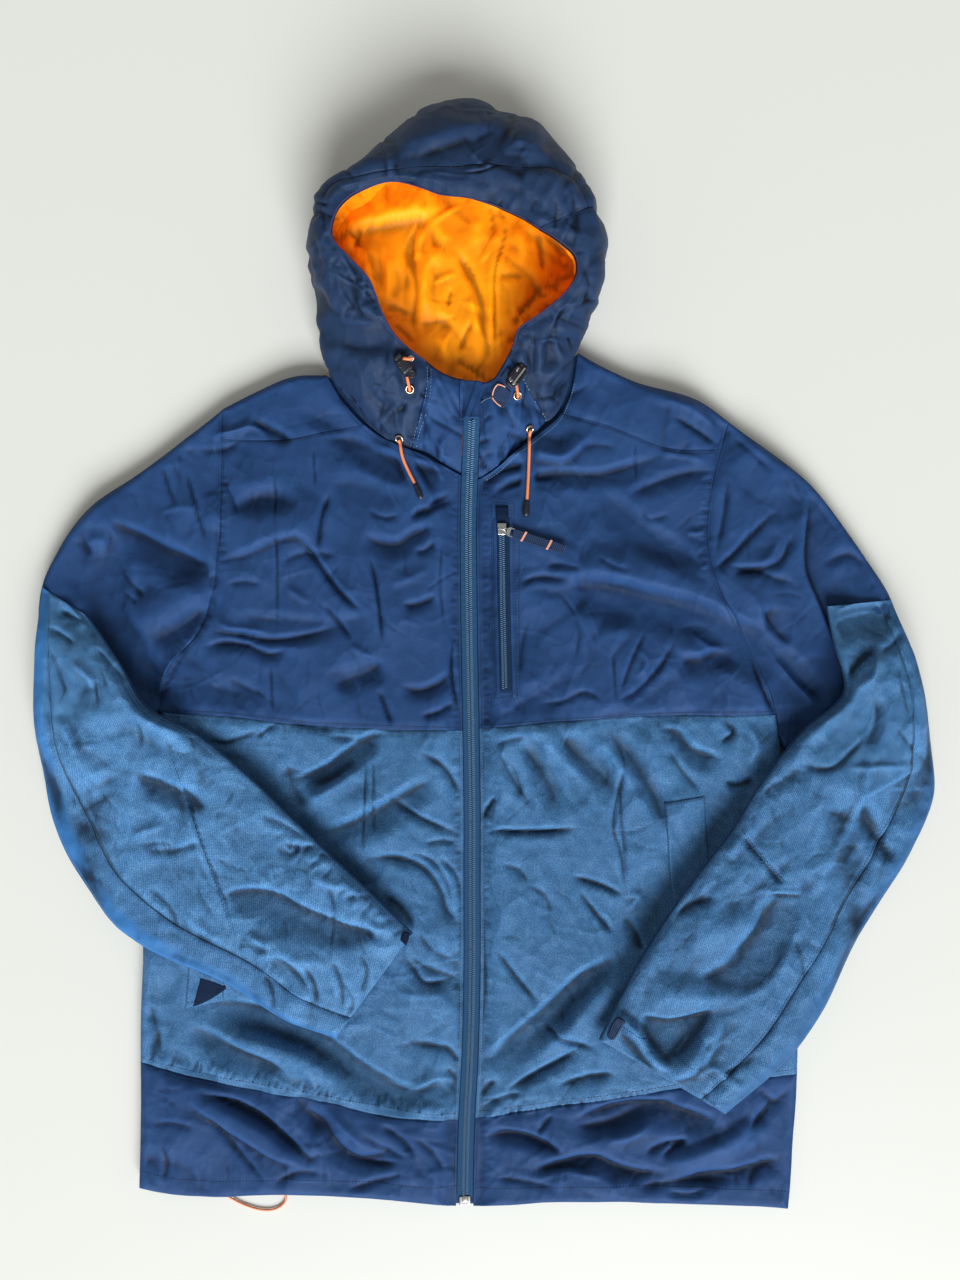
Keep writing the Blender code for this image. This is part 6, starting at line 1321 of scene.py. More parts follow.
def sheet(ob, g):
    """Declare a cloth piece with the size it was cut to."""
    w = float(np.linalg.norm(np.diff(g, axis=1), axis=2).sum(1).max()) * MM
    l = float(np.linalg.norm(np.diff(g, axis=0), axis=2).sum(0).max()) * MM
    area = flat_area(g[..., :2]) if g.shape[2] == 2 else None
    if area is None:
        a, b, c, d = g[:-1, :-1], g[:-1, 1:], g[1:, 1:], g[1:, :-1]
        area = 0.5 * float((np.linalg.norm(np.cross(b - a, c - a), axis=2) + np.linalg.norm(np.cross(c - a, d - a), axis=2)).sum()) * 1e-6
    k = 1.02
    w, l, area = w * k, l * k, area * k
    area = min(max(area, 0.31 * w * l), w * l)
    sizes.append((ob.name, round(w * 1000), round(l * 1000), round(area, 4)))


sizes = []

# ---------------------------------------------------------------- fronts, back and upper sleeves
zip_x = Graph(ZIP_LINE)
side_l, side_r = Graph(SIDE_L), Graph(SIDE_R)
ARM_SPLIT = 0.9
SEAM_DIP = 1.5
wob_x = value_noise(11, (70, 70), (16, 14), 2)
wob_y = value_noise(12, (70, 70), (16, 14), 2)


def wobble(g, size=1.5):
    """The same small waviness of the outline for every layer, none by the front zip."""
    x = np.clip((g[..., 0] + 460) / 920 * 68, 0, 68)
    y = np.clip((g[..., 1] + 40) / 1100 * 68, 0, 68)
    i, j = x.astype(int), y.astype(int)
    u, v = x - i, y - j
    out = g.copy()
    k = ease((np.abs(g[..., 0] - zip_x(g[..., 1])) - 20) / 60)
    for ax, a in ((0, wob_x), (1, wob_y)):
        n = (1 - v) * ((1 - u) * a[j, i] + u * a[j, i + 1]) + v * ((1 - u) * a[j + 1, i] + u * a[j + 1, i + 1])
        out[..., ax] += size * n * k
    return out


def edge_share(kind, d, full):
    if kind == "fold":
        return (1.4 + (full - 1.4) * quarter(d, FOLD_R)) / full
    if kind == "seam":
        return 1 - (SEAM_DIP * (1 - ease(d / 9)) + 0.7 * (1 - ease(d / 1.6))) / full
    if kind == "flat":
        return 1 - (0.5 * (1 - ease(d / 5)) + 0.3 * (1 - ease(d / 1.4))) / full
    if kind == "zip":
        return (4.5 + (full - 4.5) * ease(d / 22)) / full
    if kind == "hem":
        return (5.0 + (full - 5.0) * quarter(d, 7)) / full
    return np.ones_like(d)


def keep_for(kind, d):
    """How much of the creases is left near an edge."""
    return {"fold": 0.15 + 0.85 * ease(d / 12), "seam": np.ones_like(d), "flat": np.ones_like(d), "zip": 0.25 + 0.75 * ease(d / 7),
            "hem": 0.3 + 0.7 * ease(d / 9)}[kind]


def bounded(h, down, up):
    """Heights eased off so that they stay between -down and up."""
    down = np.maximum(down, 0.1)
    return np.where(h < 0, down * np.tanh(h / down), up * np.tanh(h / up))


def off_loop(p, loop):
    """Distance from plan points to the area inside a loop."""
    a, b = loop, np.roll(loop, -1, axis=0)
    ab = b - a
    d = np.full(len(p), 1e9)
    inside = np.zeros(len(p), int)
    for q in range(len(a)):
        t = np.clip(((p - a[q]) @ ab[q]) / max(ab[q] @ ab[q], 1e-9), 0, 1)
        d = np.minimum(d, np.linalg.norm(p - (a[q] + t[:, None] * ab[q]), axis=1))
        hit = (a[q, 1] > p[:, 1]) != (b[q, 1] > p[:, 1])
        x = a[q, 0] + (p[:, 1] - a[q, 1]) / (ab[q, 1] if abs(ab[q, 1]) > 1e-9 else 1e-9) * ab[q, 0]
        inside += hit & (p[:, 0] < x)
    return np.where(inside % 2 == 1, 0.0, d)


SLEEVE_LOOPS = {s: np.concatenate([Curve([r[:2] for r in rows])(np.linspace(0, 1, 24)), Curve([r[2:] for r in rows])(np.linspace(1, 0, 24))])
                for s, rows in (("L", FOREARM_L), ("R", FOREARM_R))}


def front_panel(name, plan, us, vs, edges, mat, slot, crown=CROWN, field=None):
    g = wobble(draw_in(plan(us, vs)))
    d = to_edges(g)
    full = WALL + crown
    share, keep = np.ones(g.shape[:2]), np.ones(g.shape[:2])
    for side, kind in edges.items():
        share = np.minimum(share, edge_share(kind, d[side], full))
        keep = np.minimum(keep, keep_for(kind, d[side]))
    z = FRONT_LOW + full * share
    f = field or front_f
    z = z + bounded(f(*seen(g[..., 0], g[..., 1], z)), z - FRONT_LOW - 0.8, 9.0) * keep
    flat_xy = g.reshape(-1, 2)
    near = np.minimum(off_loop(flat_xy, SLEEVE_LOOPS["L"]), off_loop(flat_xy, SLEEVE_LOOPS["R"])).reshape(z.shape)
    roof = 23.3 + 12 * ease(near / 22)
    z = np.where(z > roof - 1.5, roof - 1.5 * np.exp(-(z - roof + 1.5) / 1.5), z)
    ob = shell(name, with_z(g, FRONT_LOW), with_z(g, z), mat, flat=("low",), node=name, slot=slot, cav=painted_fold_shading(z))
    sheet(ob, g)
    return ob


def back_panel(name, plan, us, vs, round_sides, mat, slot):
    g = wobble(draw_in(plan(us, vs)))
    d = to_edges(g)
    up = np.zeros(g.shape[:2])
    for side in round_sides:
        up = np.maximum(up, 6.0 * (1 - quarter(d[side], 8)))
    crease = np.clip(back_f(*seen(g[..., 0], g[..., 1], 0.0)), 0, 2.5)
    ob = shell(name, with_z(g, np.minimum(up + crease, BACK_TOP - 1.0)), with_z(g, BACK_TOP), mat,
               flat=("high",), node=name, slot=slot)
    sheet(ob, g)
    return ob


outline = {}
for s in ("L", "R"):
    left = s == "L"
    hem, band, chest = Curve(HEM_L if left else HEM_R), Curve(BAND_L if left else BAND_R), Curve(CHEST_L if left else CHEST_R)
    arm = Curve(ARM_L if left else ARM_R)
    neck = Curve(NECK_L if left else NECK_R)
    split = NECK_SPLIT_L if left else NECK_SPLIT_R
    corner = neck(split)[0]
    seam = Curve([tuple(corner)] + (SHOULDER_SEAM_L if left else SHOULDER_SEAM_R)[:-1] + [tuple(arm(ARM_SPLIT)[0])])
    fold = Curve(FOLD_L if left else FOLD_R_TOP)
    side = side_l if left else side_r
    sh = -ZIP_HALF if left else ZIP_HALF
    y_hem, y_band, y_chest, y_neck = (c(0)[0][1] for c in (hem, band, chest, neck))
    hem_e, band_e, chest_e, neck_e = [
        lambda t, c=c, q=q: c(t) + (1 - np.atleast_1d(t))[:, None] * (np.array([float(zip_x(q)) + sh, q]) - c(0)[0])
        for c, q in ((hem, y_hem), (band, y_band), (chest, y_chest), (neck, y_neck))]
    top_e = chain(part_of(neck_e, 0, split), seam, 0.44)
    y_side = [hem(1)[0][1], band(1)[0][1], chest(1)[0][1]]
    arm_e = part_of(arm, 0, ARM_SPLIT)
    lower_side = upright(side, y_side[1], y_side[2])
    lower_edge = lambda t: (lower_side(t) + (1 - np.atleast_1d(t))[:, None] * (band(1)[0] - lower_side(0)[0])
                            + np.atleast_1d(t)[:, None] * (chest(1)[0] - lower_side(1)[0]))
    us = stations(run(band))
    front_panel("hem_band_" + s, coons(hem_e, band_e, upright(zip_x, y_hem, y_band, sh),
                lambda t: (1 - np.atleast_1d(t))[:, None] * hem(1) + np.atleast_1d(t)[:, None] * band(1)), us, stations(run(upright(zip_x, y_hem, y_band))),
                {"low": "hem", "high": "seam", "left": "zip", "right": "fold"}, NAVY, "navy_shell")
    front_panel("front_lower_" + s, coons(band_e, chest_e, upright(zip_x, y_band, y_chest, sh), lower_edge),
                us, stations(y_chest - y_band), {"low": "seam", "high": "seam", "left": "zip", "right": "fold"}, HEATHER, "heather_shell")
    front_panel("front_yoke_" + s, coons(chest_e, top_e, upright(zip_x, y_chest, y_neck, sh), arm_e),
                us, stations(270), {"low": "seam", "high": "flat", "left": "zip", "right": "seam"}, NAVY, "navy_shell")
    front_panel("shoulder_yoke_" + s, coons(seam, fold, part_of(neck, split, 1), part_of(arm, ARM_SPLIT, 1)),
                stations(run(fold)), stations(75), {"low": "flat", "high": "fold", "left": "seam", "right": "seam"}, NAVY, "navy_shell",
                crown=2.0)
    out, end, low = (Curve(t) for t in ((ARM_OUT_L, ARM_END_L, ARM_LOW_L) if left else (ARM_OUT_R, ARM_END_R, ARM_LOW_R)))
    arm_plan = coons(low, out, arm, end)
    us_arm, vs_arm = stations(230), stations(run(arm))
    front_panel("upper_arm_top_" + s, arm_plan, us_arm, vs_arm, {"left": "seam", "high": "fold", "low": "fold", "right": "fold"},
                NAVY, "navy_shell", crown=1.5)
    back_panel("upper_arm_under_" + s, arm_plan, stations(230, 5.0), stations(run(arm), 5.0), ("high", "low"), NAVY, "navy_shell")
    outline[s] = dict(hem=hem, band=band, chest=chest, arm=arm, fold=fold, side=side, y=y_side, out=out, end=end, low=low,
                      hem_e=hem_e, band_e=band_e, chest_e=chest_e, neck=neck, neck_e=neck_e, seam=seam, y_chest=y_chest, y_band=y_band)

L, R = outline["L"], outline["R"]


def across(a, b):
    def edge(t):
        t = np.atleast_1d(t)
        return np.where((t < 0.5)[:, None], a(np.maximum(1 - 2 * t, 0)), b(np.maximum(2 * t - 1, 0)))
    return edge


def side_edge(o, i):
    (y0, y1), (a, b) = (o["y"][i], o["y"][i + 1]), ((o["hem"], o["band"]), (o["band"], o["chest"]))[i]

    def edge(t):
        t = np.atleast_1d(t)
        y = y0 + (y1 - y0) * t
        return (np.stack([o["side"](y), y], 1) + (1 - t)[:, None] * (a(1)[0] - np.array([float(o["side"](y0)), y0]))
                + t[:, None] * (b(1)[0] - np.array([float(o["side"](y1)), y1])))
    return edge


US_BACK = stations(610, 5.0)
back_panel("back_hem", coons(across(L["hem"], R["hem"]), across(L["band"], R["band"]), side_edge(L, 0), side_edge(R, 0)),
           US_BACK, stations(110, 5.0), ("left", "right"), NAVY, "navy_shell")
back_panel("back_lower", coons(across(L["band"], R["band"]), across(L["chest"], R["chest"]), side_edge(L, 1), side_edge(R, 1)),
           US_BACK, stations(340, 5.0), ("left", "right"), HEATHER, "heather_shell")
neck_back = Curve(NECK_BACK)
NECK_A, NECK_B = 0.28, 0.72


def back_top(t):
    t = np.atleast_1d(np.asarray(t, float))
    k = np.clip((t - NECK_A) / (NECK_B - NECK_A), 0, 1)[:, None]
    mid = neck_back(k[:, 0]) + (1 - k) ** 4 * (L["fold"](0)[0] - neck_back(0)[0]) + k ** 4 * (R["fold"](0)[0] - neck_back(1)[0])
    out = np.where((t < NECK_A)[:, None], L["fold"](np.clip(1 - t / NECK_A, 0, 1)), mid)
    return np.where((t > NECK_B)[:, None], R["fold"](np.clip((t - NECK_B) / (1 - NECK_B), 0, 1)), out)


back_panel("back_yoke", coons(across(L["chest"], R["chest"]), back_top, L["arm"], R["arm"]), US_BACK, stations(300, 5.0), (), NAVY, "navy_shell")

# ---------------------------------------------------------------- forearms


def loop_of(curves, n=24):
    return np.concatenate([c(np.linspace(0, 1, n, endpoint=False)) for c in curves])


def rev(c):
    return lambda t: c(1 - np.atleast_1d(t))


BODY_LOOPS = {s: [loop_of([rev(o["hem"]), lambda t: np.stack([0.0 * t, 5 + 690 * t], 1), o["neck"], o["fold"],
                           rev(o["arm"]), rev(side_edge(o, 1)), rev(side_edge(o, 0))]),
                  loop_of([o["low"], o["end"], rev(o["out"]), rev(o["arm"])])]
              for s, o in outline.items()}


def sleeve_base(s, p):
    off = np.minimum(*[off_loop(p, lp) for lp in BODY_LOOPS[s]])
    return SLEEVE_BASE * (1 - ease((off - 14) / 46))


sleeve_plan = {}
for s, rows in (("L", FOREARM_L), ("R", FOREARM_R)):
    inner, outer = Curve([r[:2] for r in rows]), Curve([r[2:] for r in rows])

    def plan(us, vs):
        u = np.asarray(us, float)[None, :, None]
        return (1 - u) * inner(vs)[:, None] + u * outer(vs)[:, None]
    sleeve_plan[s] = plan
    cut = UNDER_FROM
    length = 0.5 * (run(inner) + run(outer))
    cu, cv = np.linspace(0, 1, 13), np.linspace(0, 1, 41)
    coarse = sleeve_base(s, plan(cu, cv).reshape(-1, 2)).reshape(len(cv), len(cu))

    def base_at(us, vs):
        a = np.array([np.interp(us, cu, row) for row in coarse])
        return np.array([np.interp(vs, cv, a[:, k]) for k in range(a.shape[1])]).T
    for part in ("top", "under"):
        e = np.array([0.35, 1.0, 2.0, 3.4, 5.0]) / 135
        us = np.unique(np.round(np.concatenate([np.linspace(0, 1, 62 if part == "top" else 42), e, 1 - e, [cut - 0.0012, cut + 0.0012]]), 7))
        us = us[(np.abs(us - cut) >= 0.00119)]
        if part == "top":
            us = us[us <= cut - 0.0011]
        vs = stations(length, 2.3 if part == "top" else 3.3, near=(0.4, 1.2, 2.4, 4.0))
        g = plan(us, vs)
        whole = to_edges(plan(np.array([0, 0.5, 1.0]), vs))
        width = whole["left"][:, -1:]
        d = to_edges(g)
        d_in = width * us[None, :]
        d_edge = np.minimum(d_in, width - d_in)
        d_low, d_high = d["low"], d["high"]
        half = 1.3 + (SLEEVE_HALF - 1.3) * quarter(d_edge, np.minimum(14.0, 0.45 * width))
        half = np.minimum(half, 3.0 + (SLEEVE_HALF - 3.0) * quarter(d_low, 16))
        half = np.minimum(half, 4.2 + (SLEEVE_HALF - 4.2) * quarter(d_high, 14))
        crown = 2.0 * np.sin(np.pi * us)[None, :] * ease(np.minimum(d_low, d_high) / 40)
        base = base_at(us, vs)
        mid = base + SLEEVE_HALF
        keep = 0.2 + 0.8 * ease(d_edge / 9) * ease((d_high + 2) / 8)
        top = mid + half + crown
        seam_at = width * np.abs(us[None, :] - cut)
        top = top - 1.2 * (1 - ease(seam_at / 6)) - 0.6 * (1 - ease(seam_at / 1.4))
        top = top + bounded(fore_f(*seen(g[..., 0], g[..., 1], top)), half + crown - 1.4, 13.0) * keep
        mouth = 1.6 * (1 - ease(d_high / 22)) * ease(d_edge / 12)
        rim = np.concatenate([outline[s]["out"](np.linspace(0, 1, 90)), outline[s]["end"](np.linspace(0, 1, 20))])
        to_rim = np.sqrt(((g.reshape(-1, 1, 2) - rim[None]) ** 2).sum(2)).min(1).reshape(top.shape)
        arm_top = FRONT_LOW + 1.4 + (WALL + 0.1) * quarter(to_rim, FOLD_R) + 4.6
        sink = (arm_top - (top - np.clip(fore_f(*seen(g[..., 0], g[..., 1], top)), -3, 3) * keep)) * ease(1 - d_low / 62)
        top, mid = top + np.minimum(sink, 0), mid + np.minimum(sink, 0)
        along = np.cumsum(np.concatenate([[0], np.linalg.norm(np.diff(plan([0.5], vs)[:, 0], axis=0), axis=1)]))
        uv = np.stack([np.broadcast_to(d_in - 0.5 * width, g.shape[:2]), np.broadcast_to(-along[:, None], g.shape[:2])], 2)
        if part == "top":
            # the left forearm's top takes the heather copy painted lighter
            ob = shell("forearm_top_" + s, with_z(g, np.minimum(mid + 0.2 + mouth, top - 0.8)), with_z(g, top), HEATHER_PAINTED_LIT_L if s == "L" else HEATHER, uv=uv,
                       node="forearm_top_" + s, slot="heather_shell", cav=painted_fold_shading(top))
            sheet(ob, g)
        else:
            outside = (us > cut)[None, :]
            lowz = np.maximum(mid - half, 0.0) + np.clip(back_f(*seen(g[..., 0], g[..., 1], 20.0)), 0, 1.5) * keep
            ob = shell("forearm_under_" + s, with_z(g, lowz), with_z(g, np.where(outside, top, np.maximum(mid - 0.2 - mouth, lowz + 0.8))), UNDER_PAINTED_LIT_L if s == "L" else UNDER_R, uv=uv,
                       node="forearm_under_" + s, slot="plain_blue_shell", cav=np.where(outside, painted_fold_shading(top), 0.0))
            down = (along / along[-1])[:, None]
            strip = np.clip((us - cut) / (1 - cut), 0, 1)[None, :] + (0.20 - 0.62 * down if s == "L" else -0.20 + 0.0 * down)
            strip = np.concatenate([np.ones(strip.size), np.where(outside, strip, 0.2).ravel()])
            assert len(strip) == len(ob.data.vertices)
            ob.data.attributes.new("strip", "FLOAT", "POINT").data.foreach_set("value", strip.astype(np.float32))
            gw = np.concatenate([g, g[:, us > cut][:, ::-1]], axis=1)
            sheet(ob, gw)

# ---------------------------------------------------------------- hood and collar
hood = Graph(HOOD)
CX, CY = HOOD_C
_sections = {}


def section(b):
    b = b - 360 if b > HOOD[-1][0] else b
    key = round(b, 5)
    if key not in _sections:
        r = hood(np.array([b]))[0]
        _sections[key] = Curve([r[0:2], r[2:4], r[4:6], r[6:8]])
    return _sections[key]


def hood_rz(b, t, depth=0.0):
    """Radius and height of the hood at bearing b and rows t (array), so deep under its surface."""
    c = section(b)
    t = np.atleast_1d(np.asarray(t, float))
    p, a, e = c(t), c(t - 0.01), c(t + 0.01)
    tan = e - a
    tan /= np.linalg.norm(tan, axis=1)[:, None]
    n = np.stack([tan[:, 1], -tan[:, 0]], 1)
    on_floor = 1 - float(ease(c(1)[0, 1] / 6))
    k = (on_floor * ease((t - 0.8) / 0.2))[:, None]
    n = n * (1 - k) + np.array([-1.0, 0]) * k
    return p + n / np.linalg.norm(n, axis=1)[:, None] * depth


def hood_points(b, t, depth=0.0):
    rz = hood_rz(b, t, depth)
    a = math.radians(b)
    return np.stack([CX + rz[:, 0] * math.cos(a), CY + rz[:, 0] * math.sin(a), np.maximum(rz[:, 1], 0)], 1)


def brow_t(b):
    c = section(b)
    return c.s[1] / c.s[-1]


def hood_z(x, y):
    b, r = math.degrees(math.atan2(y - CY, x - CX)) % 360, math.hypot(x - CX, y - CY)
    t = np.linspace(0, 1, 200)
    rz = hood_rz(b, t)
    k = int(np.argmax(rz[:, 0] >= r)) if (rz[:, 0] >= r).any() else 199
    if k == 0:
        return float(rz[0, 1])
    f = (r - rz[k - 1, 0]) / max(rz[k, 0] - rz[k - 1, 0], 1e-6)
    return float(rz[k - 1, 1] + np.clip(f, 0, 1) * (rz[k, 1] - rz[k - 1, 1]))


def zip_bearing(t, shift):
    b = 277.0
    for _ in range(12):
        r = hood_rz(b, t)[0, 0]
        y = CY + r * math.sin(math.radians(b))
        b = math.degrees(math.atan2(y - CY, float(zip_x(y)) + shift - CX)) % 360
    return b


def level_t(b, depth, z):
    t = np.linspace(0.25, 1, 76)
    low = hood_rz(b, t, depth)[:, 1] <= z
    return float(t[int(np.argmax(low))]) if low.any() else 1.0


def normals_of(g):
    du, dv = np.gradient(g, axis=1), np.gradient(g, axis=0)
    n = np.cross(du, dv)
    n /= np.maximum(np.linalg.norm(n, axis=2), 1e-9)[..., None]
    out = g - np.array([CX, CY, 0])
    out[..., 2] = 40
    if (n * out).sum() < 0:
        n = -n
    return n


def hood_grid(b0, b1, t0, t1, depth, nb, nt, seam_b=(True, True)):
    """Grid [t][b][xyz] of a hood piece, from bearing b0 to b1 (may depend on the row), row t0(b) to t1(b)."""
    rows = np.linspace(0, 1, nt)
    e = np.array([0.0, 0.004, 0.012]) if nb > 40 else np.array([0.0])
    ks = np.unique(np.round(np.concatenate([np.linspace(0, 1, nb), e, 1 - e]), 6))
    g = np.zeros((nt, len(ks), 3))
    if callable(b0) or callable(b1):
        for j, q in enumerate(rows):
            s0 = b0(q) if callable(b0) else b0
            s1 = b1(q) if callable(b1) else b1
            for i, k in enumerate(ks):
                b = s0 + (s1 - s0) * k
                r = hood_rz(b, q)[0, 0]
                b += math.degrees(SEAM_GAP / 2 / r) * (1 if i == 0 else -1 if i == len(ks) - 1 else 0)
                g[j, i] = hood_points(b, q, depth)[0]
    else:
        for i, k in enumerate(ks):
            b = b0 + (b1 - b0) * k
            b += math.degrees(SEAM_GAP / 2 / 110.0) * (1 if i == 0 else -1 if i == len(ks) - 1 else 0)
            ta, tb = (t0(b) if callable(t0) else t0), (t1(b) if callable(t1) else t1)
            g[:, i] = hood_points(b, ta + (tb - ta) * rows, depth)
    return g, ks, rows


def hood_piece(name, b0, b1, t0, t1, depth, mat, slot, nb, nt, edges=(), field=None, gain=1.0, inside=False):
    outer, ks, rows = hood_grid(b0, b1, t0, t1, depth[0], nb, nt)
    inner, _, _ = hood_grid(b0, b1, t0, t1, depth[1], nb, nt)
    n = normals_of(outer)
    d = to_edges(outer)
    dip, keep = np.zeros(outer.shape[:2]), np.ones(outer.shape[:2])
    for side, kind in edges:
        if kind == "seam":
            dip += 1.2 * (1 - ease(d[side] / 7)) + 0.5 * (1 - ease(d[side] / 1.4))
        if kind == "rim":
            keep *= 0.35 + 0.65 * ease(d[side] / 10)
            dip += 1.4 * (1 - quarter(d[side], 3.0))
        if kind == "floor":
            keep *= ease(d[side] / 10)
    f = field or hood_f
    move = gain * f(*seen(outer[..., 0], outer[..., 1], outer[..., 2])) * keep - dip
    if inside:
        n = normals_of(inner)
        move = gain * f(*seen(inner[..., 0], inner[..., 1], inner[..., 2])) * keep
        inner = inner - n * np.clip(1.2 * move + 2.4, -2.6, 14.0)[..., None]
        inner[..., 2] = np.maximum(inner[..., 2], 0.3)
    else:
        lift = 3.4 * keep * ease(np.minimum(np.minimum(d["left"], d["right"]), np.minimum(d["low"], d["high"])) / 16)
        move = bounded(move + lift, np.full(move.shape, 3.3), 7.0)
        outer = outer + n * move[..., None]
        outer[..., 2] = np.maximum(outer[..., 2], 0.0)
    uv = np.stack([d["left"], d["low"]], 2)
    ob = shell(name, inner, outer, mat, uv=uv, node=name, slot=slot, cav=painted_fold_shading(move))
    sheet(ob, outer)
    return ob


SEAM_T = 0.003
# the hood's pieces take the navy copy painted darker as shade
hood_piece("hood_brim", CROWN_FROM, CROWN_TO, 0.0, lambda b: brow_t(b) - SEAM_T, (0, 4.0), NAVY_PAINTED_SHADE_HOOD, "navy_shell", 150, 32,
           (("low", "rim"), ("high", "seam"), ("left", "seam"), ("right", "seam")))
hood_piece("hood_crown", CROWN_FROM, CROWN_TO, lambda b: brow_t(b) + SEAM_T, 1.0, (0, HOOD_WALL), NAVY_PAINTED_SHADE_HOOD, "navy_shell", 160, 74,
           (("low", "seam"), ("left", "seam"), ("right", "seam"), ("high", "floor")))
hood_piece("hood_side_L", CROWN_TO, COLLAR_L_AT + 360, 0.0, 1.0, (0, HOOD_WALL), NAVY_PAINTED_SHADE_HOOD, "navy_shell", 128, 84,
           (("low", "rim"), ("left", "seam"), ("right", "seam"), ("high", "floor")))
hood_piece("hood_side_R", COLLAR_R_AT, CROWN_FROM, 0.0, 1.0, (0, HOOD_WALL), NAVY_PAINTED_SHADE_HOOD, "navy_shell", 110, 84,
           (("low", "rim"), ("left", "seam"), ("right", "seam"), ("high", "floor")))
hood_piece("collar_L", COLLAR_L_AT, lambda t: zip_bearing(t, -ZIP_HALF), 0.0, 1.0, (0, HOOD_WALL), NAVY, "navy_shell", 32, 54,
           (("low", "rim"), ("left", "seam"), ("high", "seam")))
hood_piece("collar_R", lambda t: zip_bearing(t, ZIP_HALF), COLLAR_R_AT, 0.0, 1.0, (0, HOOD_WALL), NAVY, "navy_shell", 32, 54,
           (("low", "rim"), ("right", "seam"), ("high", "seam")))
L_IN, L_OUT = HOOD_WALL + LINING_GAP, HOOD_WALL + LINING_GAP + LINING
lining_end = lambda b: level_t(b, L_OUT, 11.6)
for name, b0, b1, t0, nb in (("lining_L", CROWN_TO, 277.0 + 360, 0.03, 96), ("lining_R", 277.0, CROWN_FROM, 0.03, 86), ("lining_top", CROWN_FROM, CROWN_TO, 0.04, 110)):
    hood_piece(name, b0, b1, t0, lining_end, (L_IN, L_OUT), ORANGE, "orange_lining", nb, 52, (), field=lining_f,
               inside=True)

# hood's back on the floor, and the lining on it
arc = np.arange(341.0, 565.5, 3.0)
c2 = np.array(HOOD_C)
back_edge = np.array([hood_points(b, 1.0)[0, :2] for b in arc])
back_edge = np.array([c2 + (p - c2) * (1 - (HOOD_WALL + 1.5) / np.linalg.norm(p - c2)) for p in back_edge])
neck_pts = back_top(np.linspace(0.33, 0.67, 21)) + np.array([0, 0.5])
border = np.concatenate([neck_pts, back_edge])


def disc(name, border, middle, low, high, mat, slot, rings=26, **kw):
    """Flat piece inside a border: rings of points drawn in to the middle."""
    n = len(border)
    k = np.linspace(1, 0.02, rings)
    g = middle + (border[None] - middle) * k[:, None, None]
    g = np.concatenate([g, g[:, :1]], axis=1)
    lo, hi = np.broadcast_to(low(g), g.shape[:2]), np.broadcast_to(high(g), g.shape[:2])
    verts = np.concatenate([with_z(g[:, :-1], lo[:, :-1]).reshape(-1, 3), with_z(g[:, :-1], hi[:, :-1]).reshape(-1, 3)])
    idx = np.arange(rings * n).reshape(rings, n)
    nxt = np.roll(idx, -1, axis=1)
    off = rings * n
    A, B, C, D = idx[:-1].ravel(), nxt[:-1].ravel(), nxt[1:].ravel(), idx[1:].ravel()
    top = np.stack([A, B, C, D], 1) + off
    bot = np.stack([A, D, C, B], 1)
    e, f = idx[0], nxt[0]
    rim = np.stack([e, f, f + off, e + off], 1)
    faces = top.tolist() + bot.tolist() + rim.tolist() + [(idx[-1] + off).tolist(), idx[-1][::-1].tolist()]
    area = 0.5 * np.sum(border[:, 0] * np.roll(border[:, 1], -1) - np.roll(border[:, 0], -1) * border[:, 1])
    if area < 0:
        faces = [f[::-1] for f in faces]
    # painted fold shade and crest highlight, on the top face only
    shade = np.concatenate([np.zeros(off), painted_fold_shading(hi)[:, :-1].ravel()])
    ob = object_from(name, verts, faces, mat, uv=verts[:, :2], node=name, slot=slot, cav=shade, **kw)
    w, l = np.ptp(border, axis=0) * MM
    sizes.append((name, round(w * 1000), round(l * 1000), round(abs(area) * 1e-6 * 1.02, 4)))
    return ob


disc("hood_back", border, np.array([-14.0, 850.0]), lambda g: np.clip(back_f(*seen(g[..., 0], g[..., 1], 0)), 0, 2.0),
     lambda g: np.full(g.shape[:2], BACK_TOP), NAVY, "navy_shell", rings=20)
ring = []
for b in np.arange(205.0, 564.9, 3.0):
    t = level_t(b, HOOD_WALL + 1.0, 11.4)
    r = hood_rz(b, t, HOOD_WALL + 1.0)[0, 0] - 2.2
    ring.append((CX + r * math.cos(math.radians(b)), CY + r * math.sin(math.radians(b))))
disc("lining_back", np.array(ring), np.array([CX, CY - 10]), lambda g: np.full(g.shape[:2], BACK_TOP + 0.4),
     lambda g: BACK_TOP + 2.4 + np.clip(3.5 + 1.2 * lining_f(*seen(g[..., 0], g[..., 1], 12.0)), -1.2, 18.0), ORANGE, "orange_lining", rings=60)

# TRIMS-BEGIN
# ---------------------------------------------------------------- surfaces the trims sit on


def table_points(ob):
    v = np.zeros(len(ob.data.vertices) * 3)
    ob.data.vertices.foreach_get("co", v)
    return v.reshape(-1, 3) / MM + np.array([CENTRE[0], CENTRE[1], 0])


class Top:
    """Upper surface of some finished pieces, in the table frame."""

    def __init__(self, *names):
        verts, faces, off = [], [], 0
        for n in names:
            v = table_points(made[n])
            verts += v.tolist()
            faces += [[i + off for i in p.vertices] for p in made[n].data.polygons if len(p.vertices) < 6]
            off += len(v)
        self.tree = BVHTree.FromPolygons(verts, faces)

    def __call__(self, x, y, none=None):
        hit = self.tree.ray_cast(Vector((x, y, 400.0)), Vector((0, 0, -1)))[0]
        return hit.z if hit is not None else none

    def grid(self, g):
        out = np.array([self(x, y, float("nan")) for x, y in g.reshape(-1, 2)]).reshape(g.shape[:2])
        if np.isnan(out).any():
            out[np.isnan(out)] = np.nanmedian(out)
        return out

    def normal(self, x, y, e=3.0):
        z = [self(x + a, y + b, 0.0) for a, b in ((e, 0), (-e, 0), (0, e), (0, -e))]
        return Vector(((z[1] - z[0]) / (2 * e), (z[3] - z[2]) / (2 * e), 1)).normalized()


